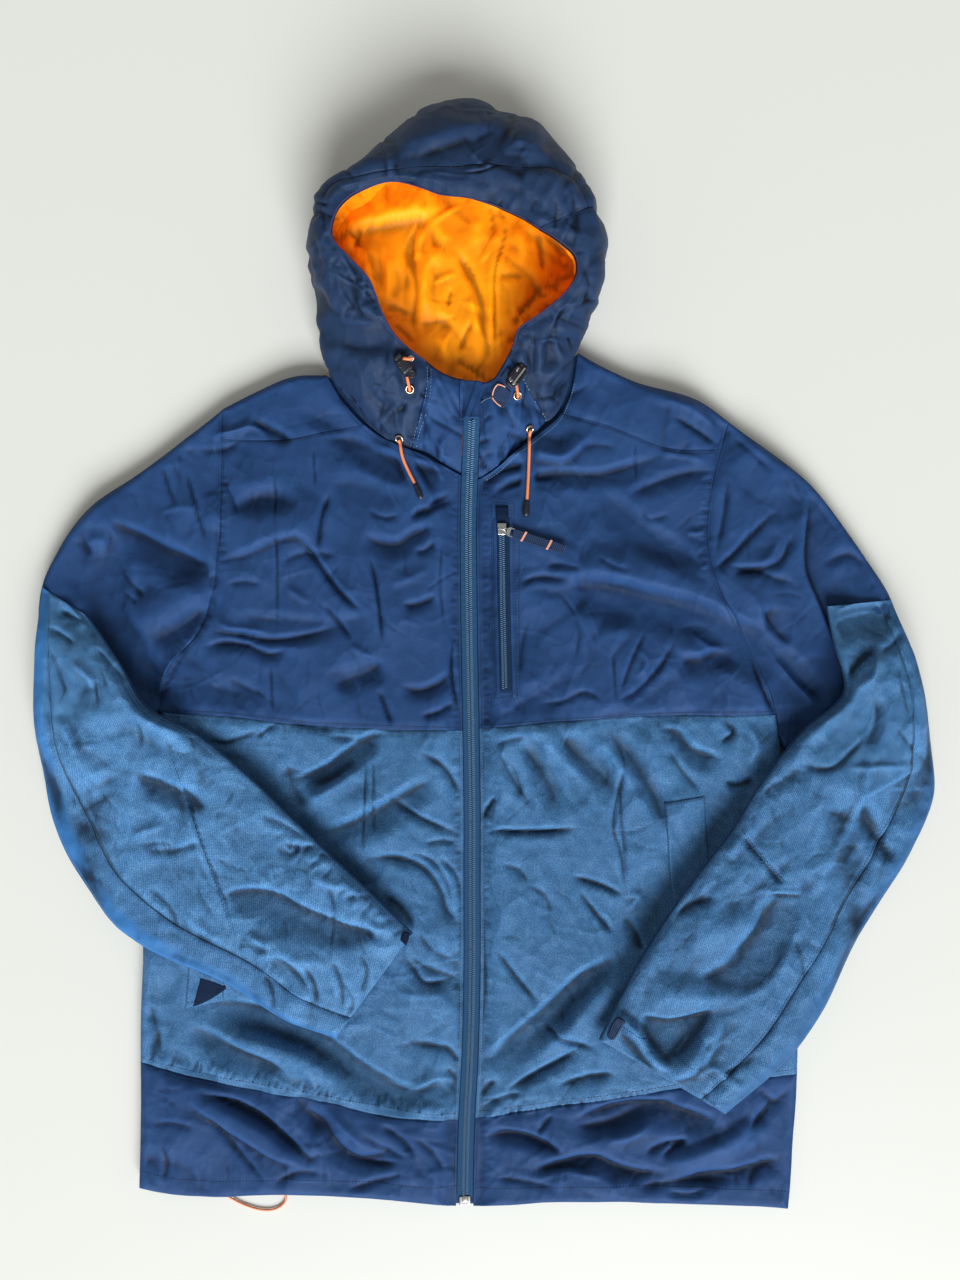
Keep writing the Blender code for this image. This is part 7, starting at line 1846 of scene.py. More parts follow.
YOKES = Top("front_yoke_L", "front_yoke_R", "shoulder_yoke_L", "shoulder_yoke_R")
HOODS = Top("hood_side_L", "hood_side_R", "collar_L", "collar_R", "hood_brim", "hood_crown")
LOWERS = Top("front_lower_L", "front_lower_R", "hem_band_L", "hem_band_R")
UPPERS = Top("upper_arm_top_L", "upper_arm_top_R")
FORES = Top("forearm_top_L", "forearm_top_R", "forearm_under_L", "forearm_under_R")


def soft_edge(g, r=0.9, low=0.3):
    d = to_edges(g)
    near = np.minimum(np.minimum(d["left"], d["right"]), np.minimum(d["low"], d["high"]))
    return low + (1 - low) * quarter(near, r)


def line_grid(line, x0, x1, step, cols):
    """Band beside a plan line, from x0 to x1 across it (right of the way it runs is more): grid and its own flat sizes."""
    c = Curve(line)
    t = np.linspace(0, 1, max(int(c.s[-1] / step), 4) + 1)
    p = c(t)
    tan = np.gradient(p, axis=0)
    n = np.stack([tan[:, 1], -tan[:, 0]], 1) / np.linalg.norm(tan, axis=1)[:, None]
    xs = np.linspace(x0, x1, cols)
    g = p[:, None] + n[:, None] * xs[None, :, None]
    uv = np.stack([np.broadcast_to(xs[None], g.shape[:2]), np.broadcast_to((t * c.s[-1])[:, None], g.shape[:2])], 2)
    return g, uv


def patch_grid(corners, nu, nv, round_off=0.0):
    a, b, c, d = (np.array(p, float) for p in corners)
    u, v = np.linspace(0, 1, nu)[None, :, None], np.linspace(0, 1, nv)[:, None, None]
    if round_off:
        s, q = 2 * u - 1, 2 * v - 1
        su, qv = s * np.sqrt(1 - round_off * q * q), q * np.sqrt(1 - round_off * s * s)
        u, v = 0.5 + 0.5 * su, 0.5 + 0.5 * qv
    return (1 - v) * ((1 - u) * a + u * b) + v * ((1 - u) * d + u * c)


def laid(name, g, z, thick, mat, uv=None, rests=(), held="laid", edge=0.9, with_pieces=(), declare=True, **kw):
    top = z + thick * soft_edge(g, edge)
    if uv is None:
        a, b = g[0, -1] - g[0, 0], g[-1, 0] - g[0, 0]
        ex = a / np.linalg.norm(a)
        rel = g - g[0, 0]
        uv = np.stack([rel @ ex, rel @ np.array([-ex[1], ex[0]])], 2)
    ob = shell(name, with_z(g, z), with_z(g, top), mat, uv=uv, **kw)
    if declare:
        sheet(ob, g)
    return ob


def dashes(name, lines, on, mat, pitch=3.0, long=2.1, wide=0.8, high=0.32, body=BODY, hidden=None):
    """Stitches along plan lines in one joined mesh, each a small thread that stands a little off the cloth."""
    verts, faces = [], []
    for line in lines:
        c = Curve(line)
        n = max(int(c.s[-1] / pitch), 1)
        s = (np.arange(n) + 0.5) / n
        k2 = 0.5 * long / c.s[-1]
        for p, q in zip(c(s - k2), c(s + k2)):
            if hidden is not None and hidden(*(0.5 * (p + q))) is not None:
                continue
            za, zb = on(*p), on(*q)
            if za is None or zb is None or abs(za - zb) > 2.5:
                continue
            w = (q - p) / max(np.linalg.norm(q - p), 1e-6)
            w = np.array([-w[1], w[0]]) * wide / 2
            k = len(verts)
            verts += [(*(p + w), za - 0.15), (*(p - w), za - 0.15), (*(q - w), zb - 0.15), (*(q + w), zb - 0.15),
                      (*(0.78 * p + 0.22 * q), za + high), (*(0.78 * q + 0.22 * p), zb + high)]
            faces += [[k, k + 3, k + 2, k + 1], [k + 1, k + 2, k + 5, k + 4], [k + 3, k, k + 4, k + 5], [k, k + 1, k + 4], [k + 2, k + 3, k + 5]]
    return object_from(name, verts, faces, mat, body=body, smooth=0)


TOOTH = [(-0.42, 0.0), (-0.42, 0.7), (-0.22, 1.05), (0.22, 1.05), (0.42, 0.7), (0.42, 0.0)]


def teeth(name, line, zs, pitch, reach, size, mat, node=None, slot=None):
    """Two rows of moulded coil turns along a plan line, one joined mesh; zs(y) is the tape's top."""
    c = Curve(line)
    verts, faces = [], []
    n = int(c.s[-1] / pitch)
    for side in (-1, 1):
        for i in range(n):
            s = min((i + (0.5 if side > 0 else 0.0)) / n, 1.0)
            p, q = c(max(s - 0.001, 0))[0], c(min(s + 0.001, 1))[0]
            t = (q - p) / np.linalg.norm(q - p)
            a = np.array([t[1], -t[0]]) * side
            m = c(s)[0]
            k = len(verts)
            for x, f, up in ((0.12 * reach, 0.8, 0.8), (0.62 * reach, 1.0, 1.0), (reach, 0.85, 0.45)):
                for y, h in TOOTH:
                    w = m + a * x + t * (y * f * size + 0.28 * x)
                    verts.append((w[0], w[1], zs(m[1]) - 0.1 + h * up * size * 1.25))
            order = range(6)
            for r in range(2):
                for j in order:
                    f4 = [k + r * 6 + j, k + r * 6 + (j + 1) % 6, k + r * 6 + 6 + (j + 1) % 6, k + r * 6 + 6 + j]
                    faces.append(f4 if side < 0 else f4[::-1])
            cap0, cap1 = [k + j for j in range(6)], [k + 12 + j for j in range(6)]
            faces += [cap0[::-1], cap1] if side < 0 else [cap0, cap1[::-1]]
    ob = object_from(name, verts, faces, mat, node=node, slot=slot, smooth=35)
    return outward(ob)


def outward(ob):
    bm = bmesh.new()
    bm.from_mesh(ob.data)
    bmesh.ops.recalc_face_normals(bm, faces=list(bm.faces))
    bm.to_mesh(ob.data)
    bm.free()
    return ob


def frame_of(ex, ez):
    ex, ez = Vector(ex).normalized(), Vector(ez).normalized()
    ey = ez.cross(ex).normalized()
    return ey.cross(ez).normalized(), ey, ez


def block_mesh(origin, ex, ez, size, bevel, segments=3):
    """Rounded block as points and faces; origin is the middle of its underside."""
    ex, ey, ez = frame_of(ex, ez)
    bm = bmesh.new()
    bmesh.ops.create_cube(bm, size=1.0)
    for v in bm.verts:
        v.co = Vector((v.co.x * size[0], v.co.y * size[1], (v.co.z + 0.5) * size[2]))
    bmesh.ops.bevel(bm, geom=list(bm.edges), offset=bevel, segments=segments, affect="EDGES", profile=0.6)
    m = Matrix((ex, ey, ez)).transposed().to_4x4()
    m.translation = Vector(origin)
    bm.transform(m)
    bm.verts.index_update()
    out = [tuple(v.co) for v in bm.verts], [[v.index for v in f.verts] for f in bm.faces]
    bm.free()
    return out


def turned_mesh(origin, normal, profile, n=40):
    """Ring turned about a normal; profile is a closed loop of (radius, height)."""
    ez = Vector(normal).normalized()
    ex = ez.orthogonal().normalized()
    ey = ez.cross(ex)
    verts, faces, k = [], [], len(profile)
    for i in range(n):
        a = 2 * math.pi * i / n
        d = ex * math.cos(a) + ey * math.sin(a)
        verts += [tuple(Vector(origin) + d * r + ez * h) for r, h in profile]
    for i in range(n):
        j = (i + 1) % n
        faces += [[i * k + q, j * k + q, j * k + (q + 1) % k, i * k + (q + 1) % k] for q in range(k)]
    return verts, faces


def tube_mesh(path, radii, n=14):
    """Round bar along points, closed by flat ends; radii is one size or one for each point."""
    path = [Vector(p) for p in path]
    radii = [radii] * len(path) if isinstance(radii, (int, float)) else radii
    verts, faces = [], []
    up = Vector((0, 0, 1))
    for i, p in enumerate(path):
        t = (path[min(i + 1, len(path) - 1)] - path[max(i - 1, 0)]).normalized()
        if abs(t.z) > 0.97:
            up = Vector((0, 1, 0))
        ex = t.cross(up).normalized()
        ey = ex.cross(t)
        for q in range(n):
            a = 2 * math.pi * q / n
            verts.append(tuple(p + (ex * math.cos(a) + ey * math.sin(a)) * radii[i]))
    for i in range(len(path) - 1):
        faces += [[i * n + q, i * n + (q + 1) % n, (i + 1) * n + (q + 1) % n, (i + 1) * n + q] for q in range(n)]
    return verts, faces + [list(range(n))[::-1], [(len(path) - 1) * n + q for q in range(n)]]


def joined(name, parts, mat, smooth=40, **kw):
    verts, faces = [], []
    for v, f in parts:
        off = len(verts)
        verts += v
        faces += [[i + off for i in p] for p in f]
    return outward(object_from(name, verts, faces, mat, smooth=smooth, **kw))


def ellipse_tube(origin, normal, along, rx, ry, r, n=36, a0=0.0, a1=360.0):
    ex, ey, ez = frame_of(along, normal)
    pts = []
    for i in range(n + 1):
        a = math.radians(a0 + (a1 - a0) * i / n)
        pts.append(tuple(Vector(origin) + ex * (rx * math.cos(a)) + ey * (ry * math.sin(a))))
    return tube_mesh(pts, r, 10)


def local_point(origin, ex, ez, a, b, h):
    ex, ey, ez = frame_of(ex, ez)
    return Vector(origin) + ex * a + ey * b + ez * h


# ---------------------------------------------------------------- hood cord, its eyelets, locks and ends
CORD_D = 2.9
EYELETS = {"lower_L": (-66, 728), "upper_L": (-55, 770), "lower_R": (56, 737), "upper_R": (44, 765)}
LOCKS = {"L": ((-59, 789), (-0.62, 0.78)), "R": ((42, 782), (0.60, 0.80))}
RING = [(2.75, -0.4), (2.75, 0.7), (3.0, 1.05), (3.4, 1.2), (3.85, 1.0), (4.2, 0.5), (4.25, -0.3), (3.6, -0.5)]
seats = {}
for k, (x, y) in EYELETS.items():
    z = max(HOODS(x + a, y + b, 0.0) for a, b in ((0, 0), (3, 0), (-3, 0), (0, 3), (0, -3)))
    seats[k] = (Vector((x, y, z)), HOODS.normal(x, y, 4.0))
    p, n = seats[k]
    joined("eyelet_" + k, [turned_mesh(p + n * 0.2, n, RING)], COPPER, smooth=50, node="eyelet_" + k, slot="eyelet_metal")
    # a near-black disc over the cloth inside the eyelet, painted as the shade in its hole
    joined("eyelet_painted_shade_" + k, [turned_mesh(p + n * 0.2, n, [(0.05, 0.0), (0.05, 0.35), (2.85, 0.3), (2.85, -0.2)], 24)], HOLE, smooth=0)

HOOD_CORD = {
    "L": ([(-66, 728), (-63, 711), (-57, 697), (-51.5, 686.4)], [(-51.0, 685.3), (-45.6, 672.4)]),
    "R": ([(56, 737), (55.6, 715), (54.8, 692), (53.6, 671)], [(53.5, 670.0), (52.4, 655.0)]),
}


def either(x, y):
    return max(HOODS(x, y, 0.0), YOKES(x, y, 0.0))


def clear_z(x, y, r):
    return max(either(x + dx, y + dy) for dx in (-r, 0, r) for dy in (-r, 0, r))


def free_cord(name, pts, diameter):
    """Cord along a smooth line through its points, declared with the length that line has."""
    line = Curve(pts)
    n = max(int(line.s[-1] / 1.6), 12)
    q = line(np.linspace(0, 1, n + 1))
    w = (q - np.array([CENTRE[0], CENTRE[1], 0])) * MM
    cu = bpy.data.curves.new(name, "CURVE")
    cu.dimensions = "3D"
    cu.bevel_depth = diameter / 2 * MM
    cu.bevel_resolution = 5
    cu.use_fill_caps = True
    sp = cu.splines.new("POLY")
    sp.points.add(n)
    for i in range(n + 1):
        sp.points[i].co = (*w[i], 1)
    cu.materials.append(CORAL)
    ob = bpy.data.objects.new(name, cu)
    bpy.context.scene.collection.objects.link(ob)
    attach(ob, BODY)
    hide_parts(name)
    length = float(np.linalg.norm(np.diff(w, axis=0), axis=1).sum())
    cord_lengths.append((name, round(length * 1000, 1), diameter))
    return ob


cord_lengths = []
for s, (route, tip) in HOOD_CORD.items():
    p, n = seats["lower_" + s]
    pts = [tuple(p + n * (CORD_D / 2 + 0.7))]
    line = Curve(route)
    for k in (0.10, 0.18, 0.34, 0.5, 0.66, 0.82, 1.0):
        q = line(k)[0]
        pts.append((q[0], q[1], clear_z(q[0], q[1], 1.6) + CORD_D / 2 + (0.5 if k > 0.2 else 1.2)))
    end = Vector(pts[-1])
    b = Vector((*tip[1], clear_z(*tip[1], 3) + 2.6))
    a = end + (Vector((*tip[0], end.z)) - end).normalized() * 0.2
    if s == "L":
        prof = [(0.0, 1.75), (0.03, 2.15), (0.14, 2.4), (0.3, 2.5), (0.34, 2.3), (0.38, 2.55), (0.62, 2.7), (0.86, 2.5), (0.97, 2.1), (1.0, 1.6)]
    else:
        prof = [(0.0, 1.75), (0.04, 2.1), (0.15, 2.3), (0.32, 2.7), (0.55, 3.2), (0.75, 3.35), (0.9, 2.9), (0.98, 1.9), (1.0, 1.0)]
    w = (b - a).normalized()
    parts = [tube_mesh([a.lerp(b, k) for k, r in prof], [r for k, r in prof], 24)]
    joined("cord_end_" + s, parts, BLACK, smooth=50, node="cord_end_" + s, slot="lock_plastic")
    if s == "L":
        joined("cord_end_ring_L", [turned_mesh(b - w * 0.2, w, [(0.7, 0.0), (0.7, 0.5), (1.2, 0.7), (1.7, 0.3), (1.7, -0.2)], 20)], SILVER, smooth=50)
    free_cord("hood_cord_" + s, pts, CORD_D)

for s, (spot, way) in LOCKS.items():
    way = Vector((way[0], way[1], 0))
    z = max(HOODS(spot[0] + way.x * a, spot[1] + way.y * a, 0.0) for a in (-8, -4, 0, 4, 8))
    n = HOODS.normal(*spot, 6.0)
    n = (n + Vector((0, 0, 0.6))).normalized()
    o = Vector((spot[0], spot[1], max(HOODS(*spot, 0.0), z - 2.5))) + n * 0.4
    P = lambda a, b, h: local_point(o, way, n, a, b, h)
    ex, ey, ez = frame_of(way, n)
    if s == "L":
        parts = [block_mesh(P(1.5, 0, 0), way, n, (15.0, 12.0, 8.2), 3.0, 4),
                 block_mesh(P(-8.2, -0.6, 0.2), way, n, (8.0, 8.6, 5.6), 2.2, 4),
                 block_mesh(P(10.4, 0, 1.3), way, n, (4.2, 8.0, 5.6), 1.6, 4)]
        parts += [block_mesh(P(a, 0, 7.4), way, n, (0.9, 8.6, 1.5), 0.35, 2) for a in (-2.6, -0.6, 1.4, 3.4, 5.4)]
        parts += [ellipse_tube(P(-9.0, -0.6, 5.6), n, way, 3.0, 3.0, 0.8), ellipse_tube(P(4.0, 2.6, 8.2), n, way, 2.3, 2.3, 0.6)]
    else:
        parts = [block_mesh(P(0.5, 0, 0), way, n, (17.0, 11.5, 7.8), 2.8, 4),
                 block_mesh(P(10.2, 0, 1.2), way, n, (4.0, 8.4, 5.4), 1.6, 4),
                 block_mesh(P(-9.4, 0, 0.6), way, n, (4.6, 7.6, 5.0), 1.6, 4),
                 block_mesh(P(0.5, -4.6, 2.2), way, n, (15.0, 2.6, 7.4), 0.9, 3)]
        parts += [block_mesh(P(a, 3.4, 6.9), way, n, (0.9, 4.0, 1.6), 0.35, 2) for a in (-5, -3, -1, 1, 3, 5)]
    joined("cord_lock_" + s, parts, BLACK, smooth=45, node="cord_lock_" + s, slot="lock_plastic")
    if s == "R":
        joined("lock_bar_R", [block_mesh(P(0.0, -1.6, 7.6), way, n, (19.0, 2.0, 1.3), 0.5, 3)], SILVER, smooth=45)
        joined("lock_spot_R", [block_mesh(P(4.5, 3.2, 7.4), way, n, (3.6, 1.8, 1.2), 0.5, 3),
                               ellipse_tube(P(-6.5, 2.4, 7.4), n, way, 1.6, 1.6, 0.4)], SILVER, smooth=45)
    # the cord comes up through the lock
    if s == "L":
        pts = [P(6.0, -3.0, 6.8), P(5.4, -4.2, 9.2), P(3.4, -6.0, 10.2), P(1.8, -8.6, 9.6), P(1.4, -10.4, 7.6)]
        joined("lock_loop_L", [tube_mesh([tuple(q) for q in Curve([tuple(v) for v in pts])(np.linspace(0, 1, 20))], CORD_D / 2, 14)], CORAL, smooth=60,
               slot="cord_coral")
        joined("lock_ring_L", [ellipse_tube(P(2.0, -8.4, 9.9), ey * 0.6 + ez, way, 2.3, 2.3, 0.55)], SILVER, smooth=60)
    pe, ne = seats["upper_" + s]
    start = pe + ne * (0.8 + CORD_D / 2)
    w = Vector((spot[0] - pe.x, spot[1] - pe.y, 0))
    b = Vector((pe.x, pe.y, 0)) + w.normalized() * (w.length - (9.5 if s == "L" else 8.0))
    b.z = max(HOODS(b.x, b.y, 0.0), 0) + 4.2
    mid = (start + b) * 0.5 + Vector((0, 0, 0.9))
    line = Curve([tuple(start - w.normalized() * 0.8 - ne * 1.2), tuple(start), tuple(mid), tuple(b)])
    joined("lock_cord_" + s, [tube_mesh([tuple(q) for q in line(np.linspace(0, 1, 16))], CORD_D / 2, 14)], CORAL, smooth=60,
           node="lock_cord_" + s, slot="cord_coral")

HEM_CORD = [(-237, 13.2, 3.4), (-229, 8.0, 1.6), (-219, 2.5, 1.05), (-208, -1.8, 1.05), (-197, -4.2, 1.05), (-187, -3.6, 1.05),
            (-179, 0.6, 1.05), (-175.5, 6.0, 1.5), (-177, 13.2, 3.4)]
free_cord("hem_cord_L", HEM_CORD, 1.8)

# ---------------------------------------------------------------- front zip
tape_keys = np.array([13, 60, 240, 420, 600, 640, 655, 670, 685, 700, 710, 720, 730, 740, 750, 760, 768], float)


def cad_tape_z(y):
    k = float(ease((y - 640) / 75))
    return 8.8 * (1 - k) + (k * (hood_z(float(zip_x(y)), max(y, 700)) - 4.0) if k > 0 else 0)


tape_values = np.array([cad_tape_z(y) for y in tape_keys])
RAISED = 1.3


def tape_top(y):
    return float(np.interp(y, tape_keys, tape_values)) + RAISED + 1.1


ys = np.unique(np.concatenate([np.arange(13, 640, 4.0), np.arange(640, 768.1, 2.5)]))
tape_wave = value_noise(141, (len(ys), 2), (60, 1), 2)[:, :1]
for s, sg in (("L", -1), ("R", 1)):
    xs = np.array([0.25, 1.4, 2.8, 4.2, 5.6, 6.8, 7.3, 7.8])
    g = np.stack([zip_x(ys)[:, None] + sg * xs[None], np.broadcast_to(ys[:, None], (len(ys), len(xs)))], 2)
    z = np.interp(ys, tape_keys, tape_values)[:, None] + RAISED + 0.25 * tape_wave * (xs[None] / 7) + 0 * xs[None]
    uv = np.stack([np.broadcast_to(xs[None], g.shape[:2]), g[..., 1]], 2)
    laid("zip_tape_" + s, g, z, 1.1, TAPE, uv=uv, rests=("back_lower",), node="zip_tape_" + s, slot="zip_tape", edge=0.5)
line = [(float(zip_x(y)), y) for y in np.arange(15, 745.1, 10.0)]
teeth("zip_chain", line, lambda y: tape_top(y), 2.0, 3.1, 1.25, COIL, node="zip_chain", slot="zip_coil")
joined("zip_core", [tube_mesh([(float(zip_x(y)), y, tape_top(y) + 0.1) for y in np.arange(15, 744, 6.0)], 0.5, 6)], TAPE_DARK, smooth=60)

zb = (float(zip_x(9)), 9.4, 8.6)
joined("zip_box", [block_mesh((zb[0] - 3.7, zb[1] - 0.6, zb[2]), (0, 1, 0), (0, 0, 1), (9.4, 3.4, 3.6), 1.0, 4),
                   block_mesh((zb[0] + 3.9, zb[1] + 0.4, zb[2]), (0, 1, 0), (0, 0, 1), (8.0, 3.0, 3.4), 1.0, 4),
                   block_mesh((zb[0] + 0.1, zb[1] + 1.6, zb[2] + 0.2), (0, 1, 0), (0, 0, 1), (6.4, 5.2, 4.4), 1.2, 4),
                   block_mesh((zb[0] + 0.1, zb[1] + 1.6, zb[2] + 4.2), (0, 1, 0), (0, 0, 1), (3.4, 2.6, 0.7), 0.3, 3)],
       SILVER, smooth=45, node="zip_box", slot="zip_metal")

top_y = 752.0
slope = (tape_top(756) - tape_top(748)) / 8
sl = Vector((float(zip_x(top_y)), top_y, tape_top(top_y) - 0.2))
sn = Vector((0, -slope, 1)).normalized()
joined("zip_slider", [block_mesh(sl, (0, 1, slope), sn, (9.0, 7.6, 1.2), 0.45, 3), block_mesh(sl + sn * 2.3, (0, 1, slope), sn, (9.0, 7.6, 1.2), 0.5, 3),
                      block_mesh(sl + sn * 1.0, (0, 1, slope), sn, (3.0, 2.2, 1.6), 0.3, 2),
                      ellipse_tube(sl + sn * 3.2, Vector((1, 0, 0)), (0, 1, slope), 3.2, 2.0, 0.7, a0=0, a1=180)],
       TAPE_DARK, smooth=45, node="zip_slider", slot="zip_tape")

# chin guard: cloth turned over the top of the zip, a rolled fold across it
g = patch_grid([(-9.5, 744), (12, 744), (12.5, 778.5), (-9.5, 779.5)], 45, 45, 0.03)
u = np.linspace(0, 1, 45)[None, :]
v = np.linspace(0, 1, 45)[:, None]
lift = 1.3 + 3.4 * np.sin(np.pi * u) + 1.7 * np.exp(-((u - 0.25 - 0.55 * v) / 0.09) ** 2) - 1.0 * np.exp(-((u - 0.40 - 0.55 * v) / 0.07) ** 2) + 0.5 * np.sin(9 * v + 5 * u)
z = smoothed(HOODS.grid(g), 10)
z = np.maximum(z, np.array([[cad_tape_z(min(max(y, 700), 768)) + 4.0 for x, y in row[:1]] for row in g]) - 1.5) + lift
laid("zip_garage", g, z, 1.6, NAVY, rests=("zip_tape_L", "zip_tape_R"), held="folded", node="zip_garage", slot="navy_shell")
guard_top = Top("zip_garage")
dashes("guard_stitches", [[(-6.6, 747), (-5.8, 760), (-5.4, 772)], [(11.2, 747), (12.4, 760), (13.0, 772)], [(-6, 746.4), (2, 746.2), (11, 746.4)]],
       guard_top, THREAD_NAVY, pitch=2.6, long=1.8)

# webbing tab on the main slider's pull, with a coral edge
quad = [(19, 763), (32, 752), (40, 768), (25, 777)]
g = patch_grid(quad, 31, 31, 0.32)
z = smoothed(HOODS.grid(g), 12) + 1.3
z = np.maximum(z, np.median(z) - 2.5)
laid("zip_pull_tab", g, z, 1.5, WEB, rests=("collar_R",), node="zip_pull_tab", slot="webbing")
tab_top = Top("zip_pull_tab")
rim_pts = [g[0, i] for i in range(24, -1, -1)] + [g[j, 0] for j in range(1, 31)] + [g[-1, i] for i in range(1, 18)]
cen = g.reshape(-1, 2).mean(0)
path = [(*(cen + (q - cen) * 0.97), tab_top(*(cen + (q - cen) * 0.9), float(z.mean()) + 1.5) - 0.1) for q in rim_pts[::2]]
joined("tab_piping", [tube_mesh(path, 0.62, 10)], PALE_CORAL, smooth=60)
link_a = Vector((sl.x + 3.5, sl.y + 3.0, sl.z + 5.2))
link_b = Vector((22.0, 764.0, float(z.mean()) + 0.8))
joined("pull_link", [tube_mesh([tuple(q) for q in Curve([tuple(link_a), tuple((link_a + link_b) / 2 + Vector((0, 2, 1.5))), tuple(link_b)])(np.linspace(0, 1, 10))], 1.0, 12)],
       TAPE_DARK, smooth=60)

# ribbed web that holds the right lock
lx, ly = LOCKS["R"][0]
quad = [(lx - 14, ly - 1.5), (lx - 7.0, ly - 8.5), (lx - 0.5, ly + 1.0), (lx - 7.0, ly + 8.0)]
g = patch_grid(quad, 21, 21, 0.15)
laid("lock_web_R", g, smoothed(HOODS.grid(g), 10) + 1.2, 1.3, WEB, rests=("hood_side_R",), slot="webbing")

# ---------------------------------------------------------------- chest zip
CHEST_LINE = [(31, 651), (32, 577), (34, 490)]
g, uv = line_grid([p for p in CHEST_LINE[::-1]], -6.4, 6.4, 2.5, 11)
z = smoothed(YOKES.grid(g), 4)
laid("chest_zip_tape", g, z + 0.25, 1.0, TAPE_NAVY, uv=uv, rests=("front_yoke_R",), node="chest_zip_tape", slot="zip_tape", edge=0.5)
chest_top = Top("chest_zip_tape")
keys = np.arange(490.0, 651.1, 3.0)
chest_curve = Curve(CHEST_LINE[::-1])
chest_x = Graph([(p[1], p[0]) for p in CHEST_LINE[::-1]])
vals = np.array([chest_top(float(chest_x(y)), y, float(z.mean()) + 1.2) for y in np.clip(keys, 491, 650)])
teeth("chest_teeth", [(float(chest_x(y)) - 1.2, y) for y in np.arange(494, 647, 8.0)], lambda y: float(np.interp(y, keys, vals)), 1.9, 2.5, 1.0, COIL, slot="zip_coil")
# the slot's own folded lips and their stitches
for nm, x0, x1 in (("chest_lip_in", -9.4, -5.6), ("chest_lip_out", 5.7, 9.2)):
    gl, uvl = line_grid([(34.2, 486), (32, 577), (30.9, 654)], x0, x1, 2.5, 9)
    k = np.linspace(0, 1, 9)[None, :]
    rise = 0.35 + 1.35 * np.sin(np.pi * (k if nm == "chest_lip_in" else k)) ** 0.8
    laid(nm, gl, smoothed(YOKES.grid(gl), 3) + 0.15, 1.0, NAVY, uv=uvl, rests=("front_yoke_R",), declare=True, slot="navy_shell", edge=1.1)
g = patch_grid([(24.5, 652), (36.5, 652), (36.0, 665), (24.0, 665)], 19, 19)
laid("chest_zip_garage", g, smoothed(YOKES.grid(g), 6) + 0.5, 1.5, NAVY_DARK_AND_SHADE, rests=("front_yoke_R",), node="chest_zip_garage", slot="navy_shell", edge=1.0)
around_slot = [[(34.2 + 10.6, 486), (32 + 10.6, 577), (31 + 10.6, 668)], [(34.2 - 10.6, 484), (32 - 10.8, 577), (31 - 10.6, 668)],
               [(20.5, 668), (31, 668.5), (41.5, 667)], [(9.5, 486.0), (22, 484.5), (34, 486.5), (45, 489)],
               [(10, 677), (30, 672), (41, 669)]]
dashes("chest_stitches", around_slot, YOKES, THREAD_NAVY, pitch=3.0, long=2.1)

SX, SY = 30.0, 643.0
cad_pull = np.concatenate([[np.array(v.co) / MM + np.array([CENTRE[0], CENTRE[1], 0]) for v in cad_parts["chest_pull_tab"].data.vertices]])
W2 = np.array([math.cos(math.radians(-18)), math.sin(math.radians(-18))])
run_along = (cad_pull[:, :2] - np.array([SX, SY])) @ W2
fit = np.polyfit(run_along, cad_pull[:, 2], 1)
pull_dir = Vector((W2[0], W2[1], float(fit[0]))).normalized()
pull_side = Vector((-W2[1], W2[0], 0))
pull_up = pull_dir.cross(pull_side).normalized()
if pull_up.z < 0:
    pull_up = -pull_up
axis = Vector((SX, SY, float(fit[1])))
low, high = (np.array(c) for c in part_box("chest_slider"))
base_z = float(low[2]) / MM
body_top = float(axis.z) - 1.25
base_z = max(base_z, chest_top(SX, SY, base_z) - 0.1)
P = lambda a, b, h: axis + Vector((W2[0], W2[1], 0)) * a + pull_side * b + Vector((0, 0, h))
bridge = [P(-3.7, 0, -2.4), P(-3.9, 0, -0.4), P(-3.4, 0, 1.3), P(-2.2, 0, 1.9), P(0, 0, 2.0), P(2.2, 0, 1.9), P(3.4, 0, 1.3), P(3.9, 0, -0.4), P(3.7, 0, -2.4)]
joined("chest_slider", [block_mesh((SX, SY, base_z), (0, 1, 0), (0, 0, 1), (10.0, 7.4, max(body_top - base_z, 1.6)), 0.7, 4),
                        block_mesh((SX, SY + 3.4, base_z), (0, 1, 0), (0, 0, 1), (5.2, 8.4, max(body_top - base_z, 1.6) * 0.9), 0.9, 4),
                        tube_mesh([tuple(q) for q in Curve([tuple(v) for v in bridge])(np.linspace(0, 1, 26))], 0.72, 12)],
       SILVER, smooth=45, node="chest_slider", slot="zip_metal")

RIM_X, RIM_W, HOLE_X, HOLE_W = (-0.75, 12.6), 3.6, (0.75, 4.9), 1.45


def superellipse(x0, x1, w, n=48, power=3.2):
    m, r = (x0 + x1) / 2, (x1 - x0) / 2
    out = []
    for i in range(n):
        a = 2 * math.pi * i / n
        c, s_ = math.cos(a), math.sin(a)
        k = (abs(c) ** power + abs(s_) ** power) ** (-1 / power)
        out.append((m + r * c * k, w * s_ * k))
    return out


def plate(outer, inner, t, bevel=0.25):
    """Flat ring of metal between two loops of as many points, its edges rounded."""
    n = len(outer)
    mo, mi = np.mean(outer, axis=0), np.mean(inner, axis=0)
    shrink = lambda loop, m, d: [tuple(m + (np.array(p) - m) * (1 - d / np.linalg.norm(np.array(p) - m))) for p in loop]
    rings = [(outer, -t / 2 + bevel), (outer, t / 2 - bevel), (shrink(outer, mo, bevel), t / 2), (shrink(inner, mi, -bevel), t / 2),
             (inner, t / 2 - bevel), (inner, -t / 2 + bevel), (shrink(inner, mi, -bevel), -t / 2), (shrink(outer, mo, bevel), -t / 2)]
    verts = [tuple(axis + pull_dir * a + pull_side * b + pull_up * h) for loop, h in rings for a, b in loop]
    k = len(rings)
    faces = [[q * n + i, q * n + (i + 1) % n, ((q + 1) % k) * n + (i + 1) % n, ((q + 1) % k) * n + i] for q in range(k) for i in range(n)]
    return verts, faces


